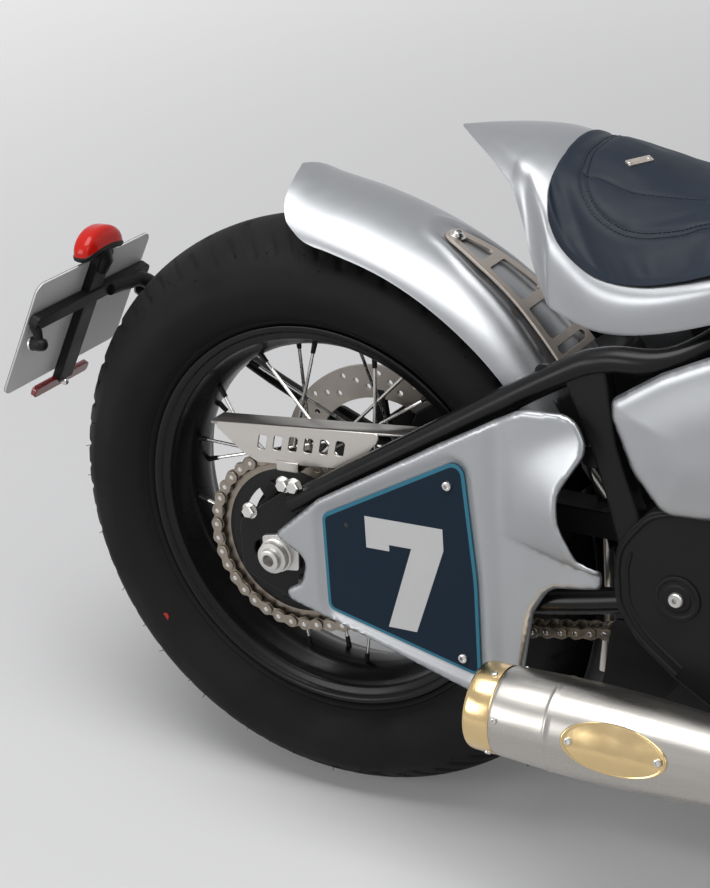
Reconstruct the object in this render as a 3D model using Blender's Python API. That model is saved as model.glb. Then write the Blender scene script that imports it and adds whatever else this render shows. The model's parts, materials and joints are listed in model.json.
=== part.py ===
"""A bobber motorcycle that leans on its side stand.

Metres. In the bike's own frame X runs forward, Y to its left and Z up, with the rear axle above x = 0.
The empty "bike" then leans that frame to the left until both tyres and the stand's foot touch z = 0.
"""

import bmesh
import bpy
from math import atan2, cos, degrees, pi, radians, sin, sqrt
from mathutils import Matrix, Vector

for old in list(bpy.data.objects):
    bpy.data.objects.remove(old, do_unlink=True)

# Driving dimensions
WHEELBASE = 1.510
LEAN = radians(9.0)
RAKE = radians(25.8)
FORK_OFFSET = 0.060
SEAT_GAP = 0.0003          # left between pieces that rest on each other
TURN_GAP = 0.0008          # left round an axle or stem that turns

RIM_FLANGE_R = 0.217
BEAD_SEAT_R = 0.204
REAR_TYRE_H = 0.119        # a tyre's height above its bead seat
REAR_TYRE_R = BEAD_SEAT_R + REAR_TYRE_H
REAR_TYRE_W = 0.150
REAR_CROWN_R = 0.085
FRONT_TYRE_H = 0.116
FRONT_TYRE_R = BEAD_SEAT_R + FRONT_TYRE_H
FRONT_TYRE_W = 0.130
FRONT_CROWN_R = 0.070
TYRE_SEGMENTS = 40
RIM_HALF_W = 0.049
SPOKE_COUNT = 32
SPOKE_R = 0.0022

CHAIN_PITCH = 0.015875
CHAIN_HALF_W = 0.0105
CHAIN_HALF_H = 0.0072
REAR_TEETH = 37
FRONT_TEETH = 17
CHAIN_Y = -0.103
FRONT_SPROCKET_X = 0.545
FRONT_SPROCKET_Z = 0.362

REAR_DISC_R = 0.1275
REAR_DISC_Y = 0.085
FRONT_DISC_R = 0.155
FRONT_DISC_Y = 0.071
DISC_T = 0.005
CALIPER_GAP = 0.0055       # from the discs to what reaches round them

TUBE_Y = 0.133             # middle of the rear cage's side tubes
TUBE_R = 0.013
PIVOT_X = 0.443
PIVOT_Z = 0.360
COVER_Y = 0.152            # inner face of the arm cover
COVER_T = 0.002
PANEL_T = 0.0015
CARRIER_T = 0.012          # the axle carriers' thickness
AXLE_R = 0.010
AXLE_END_Y = 0.160
CAGE_BAR = (0.352, 0.480)  # the cage's cross bar that the fender and the shock rest on
CAGE_BAR_R = 0.011
SIDE_COVER_Y = 0.1545      # inner face of the side covers
FRAME_BAR = (0.615, 0.655) # the frame's cross bar under the saddle
FRAME_BAR_R = 0.017
CASE_BOTTOM = 0.215
CASE_HALF_W = 0.130
HEAD_FRONT = 0.900         # the cylinder head's front face
STEM_R = 0.0165

FENDER_GAP = 0.026         # from the tyre's crown to the fender's
FENDER_R = REAR_TYRE_R + FENDER_GAP
FENDER_HALF_W = REAR_TYRE_W / 2 + 0.007
FENDER_T = 0.0025
PAN_T = 0.0025
SEAT_LIFT = 0.0023         # clears the pan's facets

SILENCER_Y = 0.215
PLATE_W = 0.210
PLATE_H = 0.152
PLATE_TOP = Vector((-0.302, 0, 0.569))
PLATE_LEAN = radians(27)
PLATE_DOWN = Vector((-sin(PLATE_LEAN), 0, -cos(PLATE_LEAN)))
PLATE_OUT = Vector((cos(PLATE_LEAN), 0, -sin(PLATE_LEAN)))   # forward, to the side that the bracket is on

FORK_TUBE_Y = 0.105
FORK_TUBE_R = 0.0205
SLIDER_R = 0.026
HEAD_Z = 0.830             # height of the steering head's middle
BAR_HALF_W = 0.400

STAND_PIVOT = Vector((0.575, 0.150, 0.200))
STAND_FOOT = Vector((0.640, 0.350, 0.0))    # where the sole's middle stands on the floor
STAND_FOLDED = Vector((-0.215, 0.012, -0.045))   # the foot from the pivot when the stand is up


# The frame that the bike leans in

def lowest(radius, crown):
    """How far a leaning tyre reaches below its axle."""
    t = LEAN / 2
    r = radius - crown + crown * cos(t)
    return r * cos(pi / TYRE_SEGMENTS) * cos(LEAN) + crown * sin(t) * sin(LEAN)


REAR_AXLE_Z = REAR_TYRE_R
REAR_DROP = lowest(REAR_TYRE_R, REAR_CROWN_R)
FRONT_DROP = lowest(FRONT_TYRE_R, FRONT_CROWN_R)
FRONT_AXLE_Z = REAR_AXLE_Z - (REAR_DROP - FRONT_DROP) / cos(LEAN)


def empty(name, parent=None, location=(0, 0, 0), rotation=(0, 0, 0)):
    item = bpy.data.objects.new(name, None)
    bpy.context.scene.collection.objects.link(item)
    item.parent = parent
    item.location = location
    item.rotation_euler = rotation
    item.empty_display_size = 0.1
    return item


BIKE = empty("bike", rotation=(-LEAN, 0, 0), location=(0, 0, 0))
BIKE.location.z = REAR_DROP - REAR_AXLE_Z * cos(LEAN)
REAR_AXLE = empty("rear_axle_line", BIKE, (0, 0, REAR_AXLE_Z))
AXIS_X = WHEELBASE - FORK_OFFSET / cos(RAKE) - (HEAD_Z - FRONT_AXLE_Z) * sin(RAKE) / cos(RAKE)
STEERING = empty("steering_line", BIKE, (AXIS_X, 0, HEAD_Z), (0, -RAKE, 0))
AXLE_DROP = (HEAD_Z - FRONT_AXLE_Z + FORK_OFFSET * sin(RAKE)) / cos(RAKE)
FRONT_AXLE = empty("front_axle_line", STEERING, (FORK_OFFSET, 0, -AXLE_DROP), (0, RAKE, 0))
STAND = empty("stand_pivot_line", BIKE, STAND_PIVOT)
FLOOR_TO_BIKE = (Matrix.Translation(BIKE.location) @ Matrix.Rotation(-LEAN, 4, "X")).inverted()
STAND_SWING = FLOOR_TO_BIKE @ STAND_FOOT - STAND_PIVOT     # the sole's middle from the pivot
STAND_AXIS = STAND_SWING.cross(STAND_FOLDED).normalized()
STAND_EYE_HALF = 0.0112


# Materials

def material(name, color, metallic, roughness):
    made = bpy.data.materials.new(name)
    made.use_nodes = True
    shader = made.node_tree.nodes["Principled BSDF"]
    shader.inputs["Base Color"].default_value = (*color, 1)
    shader.inputs["Metallic"].default_value = metallic
    shader.inputs["Roughness"].default_value = roughness
    return made


MAT = {
    name: material(name, color, metallic, roughness)
    for name, color, metallic, roughness in (
        ("silver_paint", (0.52, 0.53, 0.54), 0.7, 0.38),
        ("black_paint", (0.012, 0.012, 0.013), 0.0, 0.22),
        ("engine_black", (0.02, 0.02, 0.022), 0.3, 0.45),
        ("tyre_rubber", (0.016, 0.016, 0.016), 0.0, 0.75),
        ("steel", (0.55, 0.54, 0.52), 1.0, 0.3),
        ("brushed_steel", (0.58, 0.56, 0.53), 1.0, 0.35),
        ("chain_steel", (0.30, 0.27, 0.23), 1.0, 0.4),
        ("brass", (0.72, 0.55, 0.29), 1.0, 0.2),
        ("panel_navy", (0.012, 0.024, 0.042), 0.0, 0.4),
        ("navy_leather", (0.022, 0.032, 0.048), 0.0, 0.5),
        ("lamp_red", (0.55, 0.01, 0.005), 0.0, 0.15),
        ("plate_grey", (0.45, 0.45, 0.45), 0.0, 0.5),
        ("lens", (0.8, 0.82, 0.85), 0.0, 0.05),
        ("rubber", (0.015, 0.015, 0.015), 0.0, 0.7),
        ("strap_metal", (0.35, 0.31, 0.27), 1.0, 0.35),
    )
}


# Modelling helpers

def lathe(profile, segments, closed=True, turn=0.5):
    """Turns (radius, along) points round the Y axis. closed makes a ring; otherwise both ends lie on the axis."""
    bm = bmesh.new()
    rings = []
    for r, y in profile:
        if r < 1e-9:
            rings.append([bm.verts.new((0, y, 0))])
            continue
        angles = [2 * pi * (k + turn) / segments for k in range(segments)]
        rings.append([bm.verts.new((r * sin(a), y, r * cos(a))) for a in angles])
    pairs = list(zip(rings, rings[1:] + rings[:1])) if closed else list(zip(rings, rings[1:]))
    for low, high in pairs:
        for k in range(segments):
            n = (k + 1) % segments
            if len(low) == 1:
                bm.faces.new((low[0], high[k], high[n]))
            elif len(high) == 1:
                bm.faces.new((low[k], high[0], low[n]))
            else:
                bm.faces.new((low[k], high[k], high[n], low[n]))
    bmesh.ops.recalc_face_normals(bm, faces=bm.faces)
    return bm


def prism(outline, y0, y1):
    """An outline in x and z, extruded from y0 to y1."""
    bm = bmesh.new()
    near = [bm.verts.new((x, y0, z)) for x, z in outline]
    far = [bm.verts.new((x, y1, z)) for x, z in outline]
    bm.faces.new(near)
    bm.faces.new(list(reversed(far)))
    for k in range(len(outline)):
        n = (k + 1) % len(outline)
        bm.faces.new((near[k], far[k], far[n], near[n]))
    bmesh.ops.recalc_face_normals(bm, faces=bm.faces)
    return bm


def loft(rings, capped=True, looped=False):
    """Skins rings of equal length."""
    bm = bmesh.new()
    made = [[bm.verts.new(p) for p in ring] for ring in rings]
    count = len(made[0])
    steps = list(zip(made, made[1:] + made[:1])) if looped else list(zip(made, made[1:]))
    for low, high in steps:
        for k in range(count):
            n = (k + 1) % count
            bm.faces.new((low[k], high[k], high[n], low[n]))
    if capped and not looped:
        bm.faces.new(list(reversed(made[0])))
        bm.faces.new(made[-1])
    bmesh.ops.recalc_face_normals(bm, faces=bm.faces)
    return bm


def tube(points, radius, sides=8):
    """A round bar through the points. radius is one value, or one for each point."""
    points = [Vector(p) for p in points]
    radii = radius if isinstance(radius, (list, tuple)) else [radius] * len(points)
    tangents = []
    for k in range(len(points)):
        before = points[k] - points[k - 1] if k else points[1] - points[0]
        after = points[k + 1] - points[k] if k + 1 < len(points) else before
        tangents.append((before.normalized() + after.normalized()).normalized())
    side = tangents[0].orthogonal().normalized()
    rings = []
    for k, (point, tangent) in enumerate(zip(points, tangents)):
        side = (side - tangent * side.dot(tangent)).normalized()
        up = tangent.cross(side)
        before = points[k] - points[k - 1] if k else tangent
        bend = 1 / max(0.5, before.normalized().dot(tangent))
        rings.append([
            point + radii[k] * (side * cos(a) + up * sin(a)) * (bend if 0 < k < len(points) - 1 else 1)
            for a in (2 * pi * j / sides for j in range(sides))
        ])
    return loft(rings)


def curve_through(points, per_span=4):
    """Points on a smooth curve through the given ones."""
    points = [Vector(p) for p in points]
    ends = [2 * points[0] - points[1]] + points + [2 * points[-1] - points[-2]]
    made = []
    for a, b, c, d in zip(ends, ends[1:], ends[2:], ends[3:]):
        for k in range(per_span):
            t = k / per_span
            made.append(0.5 * (2 * b + (c - a) * t + (2 * a - 5 * b + 4 * c - d) * t * t
                               + (3 * b - 3 * c + d - a) * t ** 3))
    return made + [points[-1]]


def block(center, size):
    bm = bmesh.new()
    bmesh.ops.create_cube(bm, size=1, matrix=Matrix.Translation(center) @ Matrix.Diagonal((*size, 1)))
    return bm


def drum(start, end, radius, sides=16):
    return tube([start, end], radius, sides)


def rounded(corners, steps=4):
    """An outline whose rows are x, z and the radius of the arc that rounds the corner."""
    outline = []
    for k, (x, z, r) in enumerate(corners):
        here = Vector((x, z))
        if r <= 0:
            outline.append((x, z))
            continue
        back = (Vector(corners[k - 1][:2]) - here).normalized()
        ahead = (Vector(corners[(k + 1) % len(corners)][:2]) - here).normalized()
        half = back.angle(ahead) / 2
        middle = here + (back + ahead).normalized() * (r / sin(half))
        first = here + back * (r * cos(half) / sin(half)) - middle
        last = here + ahead * (r * cos(half) / sin(half)) - middle
        start = atan2(first.y, first.x)
        sweep = atan2(last.y, last.x) - start
        sweep = (sweep + pi) % (2 * pi) - pi
        for j in range(steps + 1):
            a = start + sweep * j / steps
            outline.append((middle.x + r * cos(a), middle.y + r * sin(a)))
    return outline


def add(name, bm, finish, parent=BIKE, matrix=None):
    """Makes one object of a bmesh that is given in its parent's frame."""
    if matrix is not None:
        bm.transform(matrix)
        if matrix.determinant() < 0:
            bmesh.ops.reverse_faces(bm, faces=bm.faces)
    mesh = bpy.data.meshes.new(name)
    bm.to_mesh(mesh)
    bm.free()
    mesh.materials.append(MAT[finish])
    mesh.shade_smooth()
    mesh.set_sharp_from_angle(angle=radians(35))
    item = bpy.data.objects.new(name, mesh)
    bpy.context.scene.collection.objects.link(item)
    item.parent = parent
    return item


def helper(name, bm, parent=BIKE):
    item = add(name, bm, "steel", parent)
    item.hide_render = True
    item.display_type = "WIRE"
    return item


def fuse(name, pieces, finish, parent=BIKE, cutters=()):
    """One solid from closed pieces that overlap, less the cutters."""
    item = add(name, pieces[0], finish, parent)
    for kind, bodies in (("UNION", pieces[1:]), ("DIFFERENCE", cutters)):
        for k, bm in enumerate(bodies):
            join = item.modifiers.new(f"{kind.lower()}_{k}", "BOOLEAN")
            join.operation = kind
            join.object = helper(f"{name}_{kind.lower()}_{k}", bm, parent)
    return item


def joined(*parts):
    """Several closed pieces in one bmesh, for a cutter whose pieces don't touch."""
    whole = bmesh.new()
    for part in parts:
        mesh = bpy.data.meshes.new("joined")
        part.to_mesh(mesh)
        whole.from_mesh(mesh)
        bpy.data.meshes.remove(mesh)
    return whole


# Wheels

def tyre_profile(radius, width, crown):
    """(radius, along) points of the tyre's section, right side first, as one closed ring."""
    half = width / 2
    angles = [LEAN / 2, LEAN * 1.5, radians(32), radians(54)]
    arc = [(radius - crown + crown * cos(t), crown * sin(t)) for t in angles]
    side = [
        (radius - 0.060, half), (RIM_FLANGE_R + 0.012, half * 0.86),
        (RIM_FLANGE_R + 0.001, RIM_HALF_W - 0.003), (BEAD_SEAT_R + SEAT_GAP, RIM_HALF_W - 0.0065),
    ]
    left = arc + side
    return [(r, -y) for r, y in left] + [(r, y) for r, y in reversed(left)]


def rim_profile():
    lip, seat = RIM_FLANGE_R, BEAD_SEAT_R
    h = RIM_HALF_W
    outside = [
        (lip, h), (lip, h - 0.003), (seat, h - 0.006), (seat - 0.001, h - 0.013),
        (seat - 0.014, 0.014),
    ]
    inside = [(seat - 0.020, 0.012), (seat - 0.006, h - 0.006)]
    return (
        outside + [(r, -y) for r, y in reversed(outside)]
        + [(r, -y) for r, y in reversed(inside)] + inside
    )


def spokes(hub_r, hub_half, rim_r):
    """Crossed spokes from the hub's two flanges to the middle of the rim."""
    made = []
    for k in range(SPOKE_COUNT):
        side = 1 if k % 2 else -1
        lead = 1 if k % 4 < 2 else -1
        at_rim = 2 * pi * k / SPOKE_COUNT
        at_hub = at_rim + lead * radians(52)
        start = Vector((hub_r * sin(at_hub), side * hub_half, hub_r * cos(at_hub)))
        end = Vector((rim_r * sin(at_rim), side * 0.006, rim_r * cos(at_rim)))
        made.append(tube([start, end], SPOKE_R, 3))
    return made


def wheel(name, hub_profile, hub_r, hub_half, parent):
    """Rim, spokes and hub as one solid."""
    rim = lathe(rim_profile(), TYRE_SEGMENTS)
    hub = lathe(hub_profile, 16)
    item = add(name, rim, "black_paint", parent)
    pieces = bpy.data.collections.new(name + "_pieces")
    bpy.context.scene.collection.children.link(pieces)
    pieces.hide_render = True
    for k, bm in enumerate([hub] + spokes(hub_r, hub_half, BEAD_SEAT_R - 0.016)):
        piece = helper(f"{name}_piece_{k}", bm, parent)
        bpy.context.scene.collection.objects.unlink(piece)
        pieces.objects.link(piece)
    join = item.modifiers.new("hub_and_spokes", "BOOLEAN")
    join.operation = "UNION"
    join.operand_type = "COLLECTION"
    join.collection = pieces
    return item


def disc(name, radius, inner, y, parent, holes=8):
    """A brake disc with drilled holes."""
    outline = [
        (inner, y - DISC_T / 2), (radius, y - DISC_T / 2), (radius, y + DISC_T / 2),
        (inner, y + DISC_T / 2)
    ]
    item = add(name, lathe(outline, 40), "steel", parent)
    drills = []
    for k in range(holes):
        a = 2 * pi * k / holes
        r = radius - 0.011 - 0.011 * (k % 2)
        drills.append(drum((r * sin(a), y - 0.01, r * cos(a)), (r * sin(a), y + 0.01, r * cos(a)), 0.004, 6))
    cut = item.modifiers.new("holes", "BOOLEAN")
    cut.operation = "DIFFERENCE"
    cut.object = helper(name + "_holes", joined(*drills), parent)
    return item


def pitch_radius(teeth):
    return CHAIN_PITCH / (2 * sin(pi / teeth))


def chain_wrap():
    """Where the chain's upper and lower runs leave the rear sprocket, as angles from X."""
    big, small = pitch_radius(REAR_TEETH), pitch_radius(FRONT_TEETH)
    across, rise = FRONT_SPROCKET_X, FRONT_SPROCKET_Z - REAR_AXLE_Z
    slope = atan2(rise, across)
    wrap = atan2(big - small, sqrt(across ** 2 + rise ** 2 - (big - small) ** 2))
    return slope + pi / 2 - wrap, slope - pi / 2 + wrap


def sprocket_outline(teeth, tip, root, first):
    """Teeth whose tips are counted from the angle first."""
    outline = []
    for k in range(teeth):
        for part, r in ((-0.5, root), (-0.15, tip), (0.15, tip)):
            a = pi / 2 - first + 2 * pi * (k + part) / teeth
            outline.append((r * sin(a), r * cos(a)))
    return outline


def rear_wheel():
    profile = tyre_profile(REAR_TYRE_R, REAR_TYRE_W, REAR_CROWN_R)
    add("rear_tyre", lathe(profile, TYRE_SEGMENTS), "tyre_rubber", REAR_AXLE)
    bore = AXLE_R + TURN_GAP
    carrier = CHAIN_Y + 0.004
    hub = [
        (bore, carrier), (0.050, carrier), (0.062, carrier + 0.006), (0.066, -0.060), (0.048, -0.052),
        (0.048, -0.042), (0.060, -0.040), (0.060, -0.034), (0.034, -0.028), (0.032, 0.028),
        (0.058, 0.034), (0.058, 0.040), (0.044, 0.046), (0.044, REAR_DISC_Y - DISC_T / 2 - SEAT_GAP),
        (bore, REAR_DISC_Y - DISC_T / 2 - SEAT_GAP),
    ]
    wheel("rear_wheel", hub, 0.054, 0.037, REAR_AXLE)
    tip = pitch_radius(REAR_TEETH) - CHAIN_HALF_H - TURN_GAP
    teeth = sprocket_outline(REAR_TEETH, tip, tip - 0.006, chain_wrap()[0])
    plate = prism(teeth, CHAIN_Y - 0.0035, CHAIN_Y + 0.0035)
    item = add("rear_sprocket", plate, "chain_steel", REAR_AXLE)
    middle = drum((0, CHAIN_Y - 0.02, 0), (0, CHAIN_Y + 0.02, 0), 0.030, 20)
    cut = item.modifiers.new("middle", "BOOLEAN")
    cut.operation = "DIFFERENCE"
    cut.object = helper("rear_sprocket_middle", middle, REAR_AXLE)
    disc("rear_disc", REAR_DISC_R, 0.036, REAR_DISC_Y, REAR_AXLE)


def front_wheel():
    profile = tyre_profile(FRONT_TYRE_R, FRONT_TYRE_W, FRONT_CROWN_R)
    add("front_tyre", lathe(profile, TYRE_SEGMENTS), "tyre_rubber", FRONT_AXLE)
    bore = 0.0102
    face = FRONT_DISC_Y - DISC_T / 2 - SEAT_GAP
    half = [
        (0.032, 0.0), (0.034, 0.024), (0.058, 0.030), (0.058, 0.036), (0.044, 0.042), (0.044, face), (bore, face),
    ]
    hub = [(r, -y) for r, y in reversed(half[1:])] + half
    wheel("front_wheel", hub, 0.052, 0.033, FRONT_AXLE)
    disc("front_disc", FRONT_DISC_R, 0.036, FRONT_DISC_Y, FRONT_AXLE)


# Chain

def chain_path():
    """Pin places round both sprockets, as (x, z) in the bike's frame."""
    big, small = pitch_radius(REAR_TEETH), pitch_radius(FRONT_TEETH)
    rear = Vector((0, REAR_AXLE_Z))
    front = Vector((FRONT_SPROCKET_X, FRONT_SPROCKET_Z))
    up, down = chain_wrap()
    path = []
    arc = 40
    for k in range(arc + 1):
        a = up + (2 * pi - (up - down)) * k / arc
        path.append(rear + big * Vector((cos(a), sin(a))))
    for k in range(arc // 2 + 1):
        a = down + (up - down) * k / (arc // 2)
        path.append(front + small * Vector((cos(a), sin(a))))
    path.append(path[0])
    return path


def evenly(path, count):
    lengths = [0.0]
    for a, b in zip(path, path[1:]):
        lengths.append(lengths[-1] + (b - a).length)
    made, k = [], 0
    for j in range(count):
        want = lengths[-1] * j / count
        while lengths[k + 1] < want:
            k += 1
        t = (want - lengths[k]) / (lengths[k + 1] - lengths[k])
        made.append(path[k].lerp(path[k + 1], t))
    return made, lengths[-1]


def chain():
    """One closed loop whose outline swells at each pin and narrows at each link's waist."""
    path = chain_path()
    total = evenly(path, 2)[1]
    links = 2 * round(total / CHAIN_PITCH / 2)
    places, _ = evenly(path, links * 2)
    count = len(places)
    rings = []
    for k, place in enumerate(places):
        ahead, behind = places[(k + 1) % count], places[k - 1]
        along = (ahead - behind).normalized()
        across = Vector((-along.y, along.x))
        half = CHAIN_HALF_H if k % 2 == 0 else CHAIN_HALF_H * 0.72
        outer, inner = place + across * half, place - across * half
        wide = CHAIN_HALF_W
        rings.append([
            (outer.x, CHAIN_Y - wide, outer.y), (outer.x, CHAIN_Y + wide, outer.y),
            (inner.x, CHAIN_Y + wide, inner.y), (inner.x, CHAIN_Y - wide, inner.y),
        ])
    add("chain", loft(rings, looped=True), "chain_steel")


# Rear cage, axle and what hangs on them

COVER_BOSSES = ((0.341, 0.516), (0.180, 0.3089))   # x and z of the cage's bosses that the covers rest on
GUARD_CLIP = (0.120, 0.4430)
GUARD_CLIP_Y = -0.1197


def caliper(radius, disc_y, outer_y, angle, hub_side):
    """Two halves and a bridge round a disc's rim, turned to an angle from +X about the axle."""
    clear = DISC_T / 2 + CALIPER_GAP
    low, rim, top = radius - 0.042, radius + CALIPER_GAP, radius + CALIPER_GAP + 0.014
    halves = [
        block(
            ((low + top) / 2, (disc_y + clear + outer_y) / 2, 0),
            (top - low, outer_y - disc_y - clear, 0.062)
        ),
        block(
            ((low + top) / 2, (disc_y - clear + hub_side) / 2, 0),
            (top - low, disc_y - clear - hub_side, 0.056)
        ),
        block(
            ((rim + top - 0.002) / 2, (outer_y + hub_side) / 2, 0),
            (top - rim - 0.002, outer_y - hub_side - 0.004, 0.036)
        ),
    ]
    for half in halves:
        half.transform(Matrix.Rotation(-angle, 4, "Y"))
    return halves


def rear_cage():
    pieces = []
    upper = [(0.020, TUBE_Y, 0.380), (0.320, TUBE_Y, 0.557), (0.370, TUBE_Y, 0.578), (0.440, 0.126, 0.586),
             (0.520, 0.066, 0.636)]
    lower = [(0.025, TUBE_Y, 0.292), (0.300, TUBE_Y, 0.322), (PIVOT_X, TUBE_Y, PIVOT_Z - 0.008)]
    upright = [(0.318, TUBE_Y, 0.556), (CAGE_BAR[0], TUBE_Y, CAGE_BAR[1]), (PIVOT_X, TUBE_Y, PIVOT_Z)]
    carrier = rounded([
        (-0.046, 0.296, 0.012), (-0.046, 0.352, 0.012), (0.014, 0.396, 0.010), (0.048, 0.404, 0.010),
        (0.060, 0.330, 0.010), (0.052, 0.274, 0.010), (0.010, 0.272, 0.014),
    ], 2)
    for side in (1, -1):
        pieces.append(tube([(x, side * y, z) for x, y, z in curve_through(upper, 2)], TUBE_R))
        pieces.append(tube([(x, side * y, z) for x, y, z in lower], TUBE_R))
        pieces.append(tube([(x, side * y, z) for x, y, z in upright], TUBE_R))
        pieces.append(prism(carrier, side * (TUBE_Y - CARRIER_T / 2), side * (TUBE_Y + CARRIER_T / 2)))
        for x, z in COVER_BOSSES:
            pieces.append(drum((x, side * TUBE_Y, z), (x, side * (COVER_Y - SEAT_GAP), z), 0.007, 8))
    pieces.append(drum((PIVOT_X, -0.146, PIVOT_Z), (PIVOT_X, 0.146, PIVOT_Z), 0.024, 12))
    pieces.append(drum((0.520, -0.075, 0.642), (0.520, 0.075, 0.642), 0.013, 8))
    bar = (CAGE_BAR[0], TUBE_Y, CAGE_BAR[1])
    pieces.append(drum((bar[0], -bar[1], bar[2]), bar, CAGE_BAR_R, 8))
    pieces.append(drum((*GUARD_CLIP[:1], -TUBE_Y, GUARD_CLIP[1] - 0.0035), (GUARD_CLIP[0], GUARD_CLIP_Y - SEAT_GAP, GUARD_CLIP[1] - 0.0035), 0.006, 8))
    for half in caliper(REAR_DISC_R, REAR_DISC_Y, TUBE_Y - 0.006, radians(42), 0.062):
        half.transform(Matrix.Translation((0, 0, REAR_AXLE_Z)))
        pieces.append(half)
    hole = drum((0, -0.2, REAR_AXLE_Z), (0, 0.2, REAR_AXLE_Z), 0.0125, 12)
    fuse("rear_cage", pieces, "black_paint", cutters=[hole])


def rear_axle():
    end, face = AXLE_END_Y, TUBE_Y + CARRIER_T / 2 + SEAT_GAP
    shaft = [(0.0, -end), (AXLE_R, -end), (AXLE_R, end), (0.0, end)]
    nut = [(0.0, -end + 0.004), (0.017, -end + 0.004), (0.017, -face), (0.0, -face)]
    head = [(0.0, face), (0.017, face), (0.017, end - 0.008), (0.0, end - 0.008)]
    made = [lathe(shaft, 12, closed=False), lathe(nut, 6, closed=False), lathe(head, 6, closed=False)]
    for bm in made:
        bm.transform(Matrix.Translation((0, 0, REAR_AXLE_Z)))
    fuse("rear_axle", made, "steel")


COVER_OUTLINE = [
    # x, z, corner radius
    (0.006, 0.352, 0.004), (0.062, 0.400, 0.03), (0.202, 0.480, 0.05), (0.292, 0.526, 0.03),
    (0.345, 0.528, 0.02), (0.360, 0.500, 0.02), (0.334, 0.455, 0.03), (0.336, 0.425, 0.03),
    (0.352, 0.386, 0.01), (0.371, 0.377, 0.006), (0.371, 0.358, 0.006), (0.316, 0.349, 0.02),
    (0.298, 0.320, 0.02), (0.284, 0.248, 0.01), (0.232, 0.216, 0.02), (0.086, 0.262, 0.03),
    (0.006, 0.286, 0.006), (0.036, 0.304, 0.012), (0.044, 0.330, 0.012),
]

PANEL_OUTLINE = [
    (0.066, 0.384, 0.012), (0.230, 0.468, 0.012), (0.238, 0.300, 0.08), (0.236, 0.234, 0.012),
    (0.066, 0.280, 0.012),
]


def arm_covers():
    """Satin covers outside the cage, each with its number panel."""
    for side, name in ((-1, "right"), (1, "left")):
        near, far = side * COVER_Y, side * (COVER_Y + COVER_T)
        add(f"arm_cover_{name}", prism(rounded(COVER_OUTLINE, 3), near, far), "silver_paint")
        outer = side * (COVER_Y + COVER_T + SEAT_GAP)
        panel = prism(rounded(PANEL_OUTLINE, 3), outer, outer + side * PANEL_T)
        add(f"number_panel_{name}", panel, "panel_navy")


def chain_guard():
    y = -0.1175
    outline = [(-0.083, 0.455), (-0.060, 0.464), (0.118, 0.478), (0.172, 0.474), (0.116, 0.458),
               (0.112, 0.434), (0.090, 0.424), (-0.026, 0.413), (-0.042, 0.419)]
    side = prism(outline, y - 0.001, y + 0.001)
    top = prism([(-0.075, 0.4605), (-0.060, 0.4640), (0.118, 0.4780), (0.168, 0.4743), (0.168, 0.4723),
                 (0.118, 0.4760), (-0.060, 0.4620), (-0.075, 0.4585)], y, y + 0.040)
    clip = block((GUARD_CLIP[0], GUARD_CLIP_Y + 0.0017, GUARD_CLIP[1]), (0.014, 0.0034, 0.014))
    fuse("chain_guard", [side, top, clip], "brushed_steel")


def rear_fender():
    """A round shell over the tyre, with a flipped tip."""
    table = [
        # angle from +X, rise above the crown's radius, drop to the skirt, share of the width
        (93.6, 0.0260, 0.033, 0.08), (93.1, 0.0250, 0.033, 0.17), (92.5, 0.0235, 0.033, 0.44),
        (92.2, 0.0228, 0.033, 0.66), (91.1, 0.0200, 0.033, 0.83), (90.1, 0.0175, 0.033, 0.89),
        (87.0, 0.0130, 0.033, 0.975), (83.6, 0.0095, 0.033, 1), (78.0, 0.0055, 0.036, 1), (70.0, 0, 0.038, 1),
        (60.0, 0, 0.0405, 1), (50.0, 0, 0.042, 1), (40.0, 0, 0.042, 1), (30.0, 0, 0.042, 1), (22.0, 0, 0.042, 1),
    ]
    rings = []
    steps = 12
    for angle, rise, drop, reach in table:
        a = radians(angle)
        outer, inner = [], []
        for k in range(steps + 1):
            share = -reach * cos(pi * k / steps)
            y = share * FENDER_HALF_W
            r = FENDER_R - drop + (rise + drop) * (1 - share ** 2) ** (1 / 1.4)
            thin = FENDER_T * (1 - share ** 2) ** 0.5
            outer.append((r * cos(a), y, REAR_AXLE_Z + r * sin(a)))
            narrow = y * (1 - FENDER_T * reach / FENDER_HALF_W)
            inner.append(((r - thin) * cos(a), narrow, REAR_AXLE_Z + (r - thin) * sin(a)))
        rings.append(outer + list(reversed(inner)))
    to_bar = Vector((CAGE_BAR[0], CAGE_BAR[1] - REAR_AXLE_Z))
    reach = to_bar.length - CAGE_BAR_R * cos(pi / 10) - SEAT_GAP - (FENDER_R - 0.006)
    pad = block((FENDER_R - 0.006 + reach / 2, 0, 0), (reach, 0.040, 0.024))
    pad.transform(Matrix.Translation((0, 0, REAR_AXLE_Z)) @ Matrix.Rotation(-atan2(to_bar.y, to_bar.x), 4, "Y"))
    fuse("rear_fender", [loft(rings), pad], "silver_paint")


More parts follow.
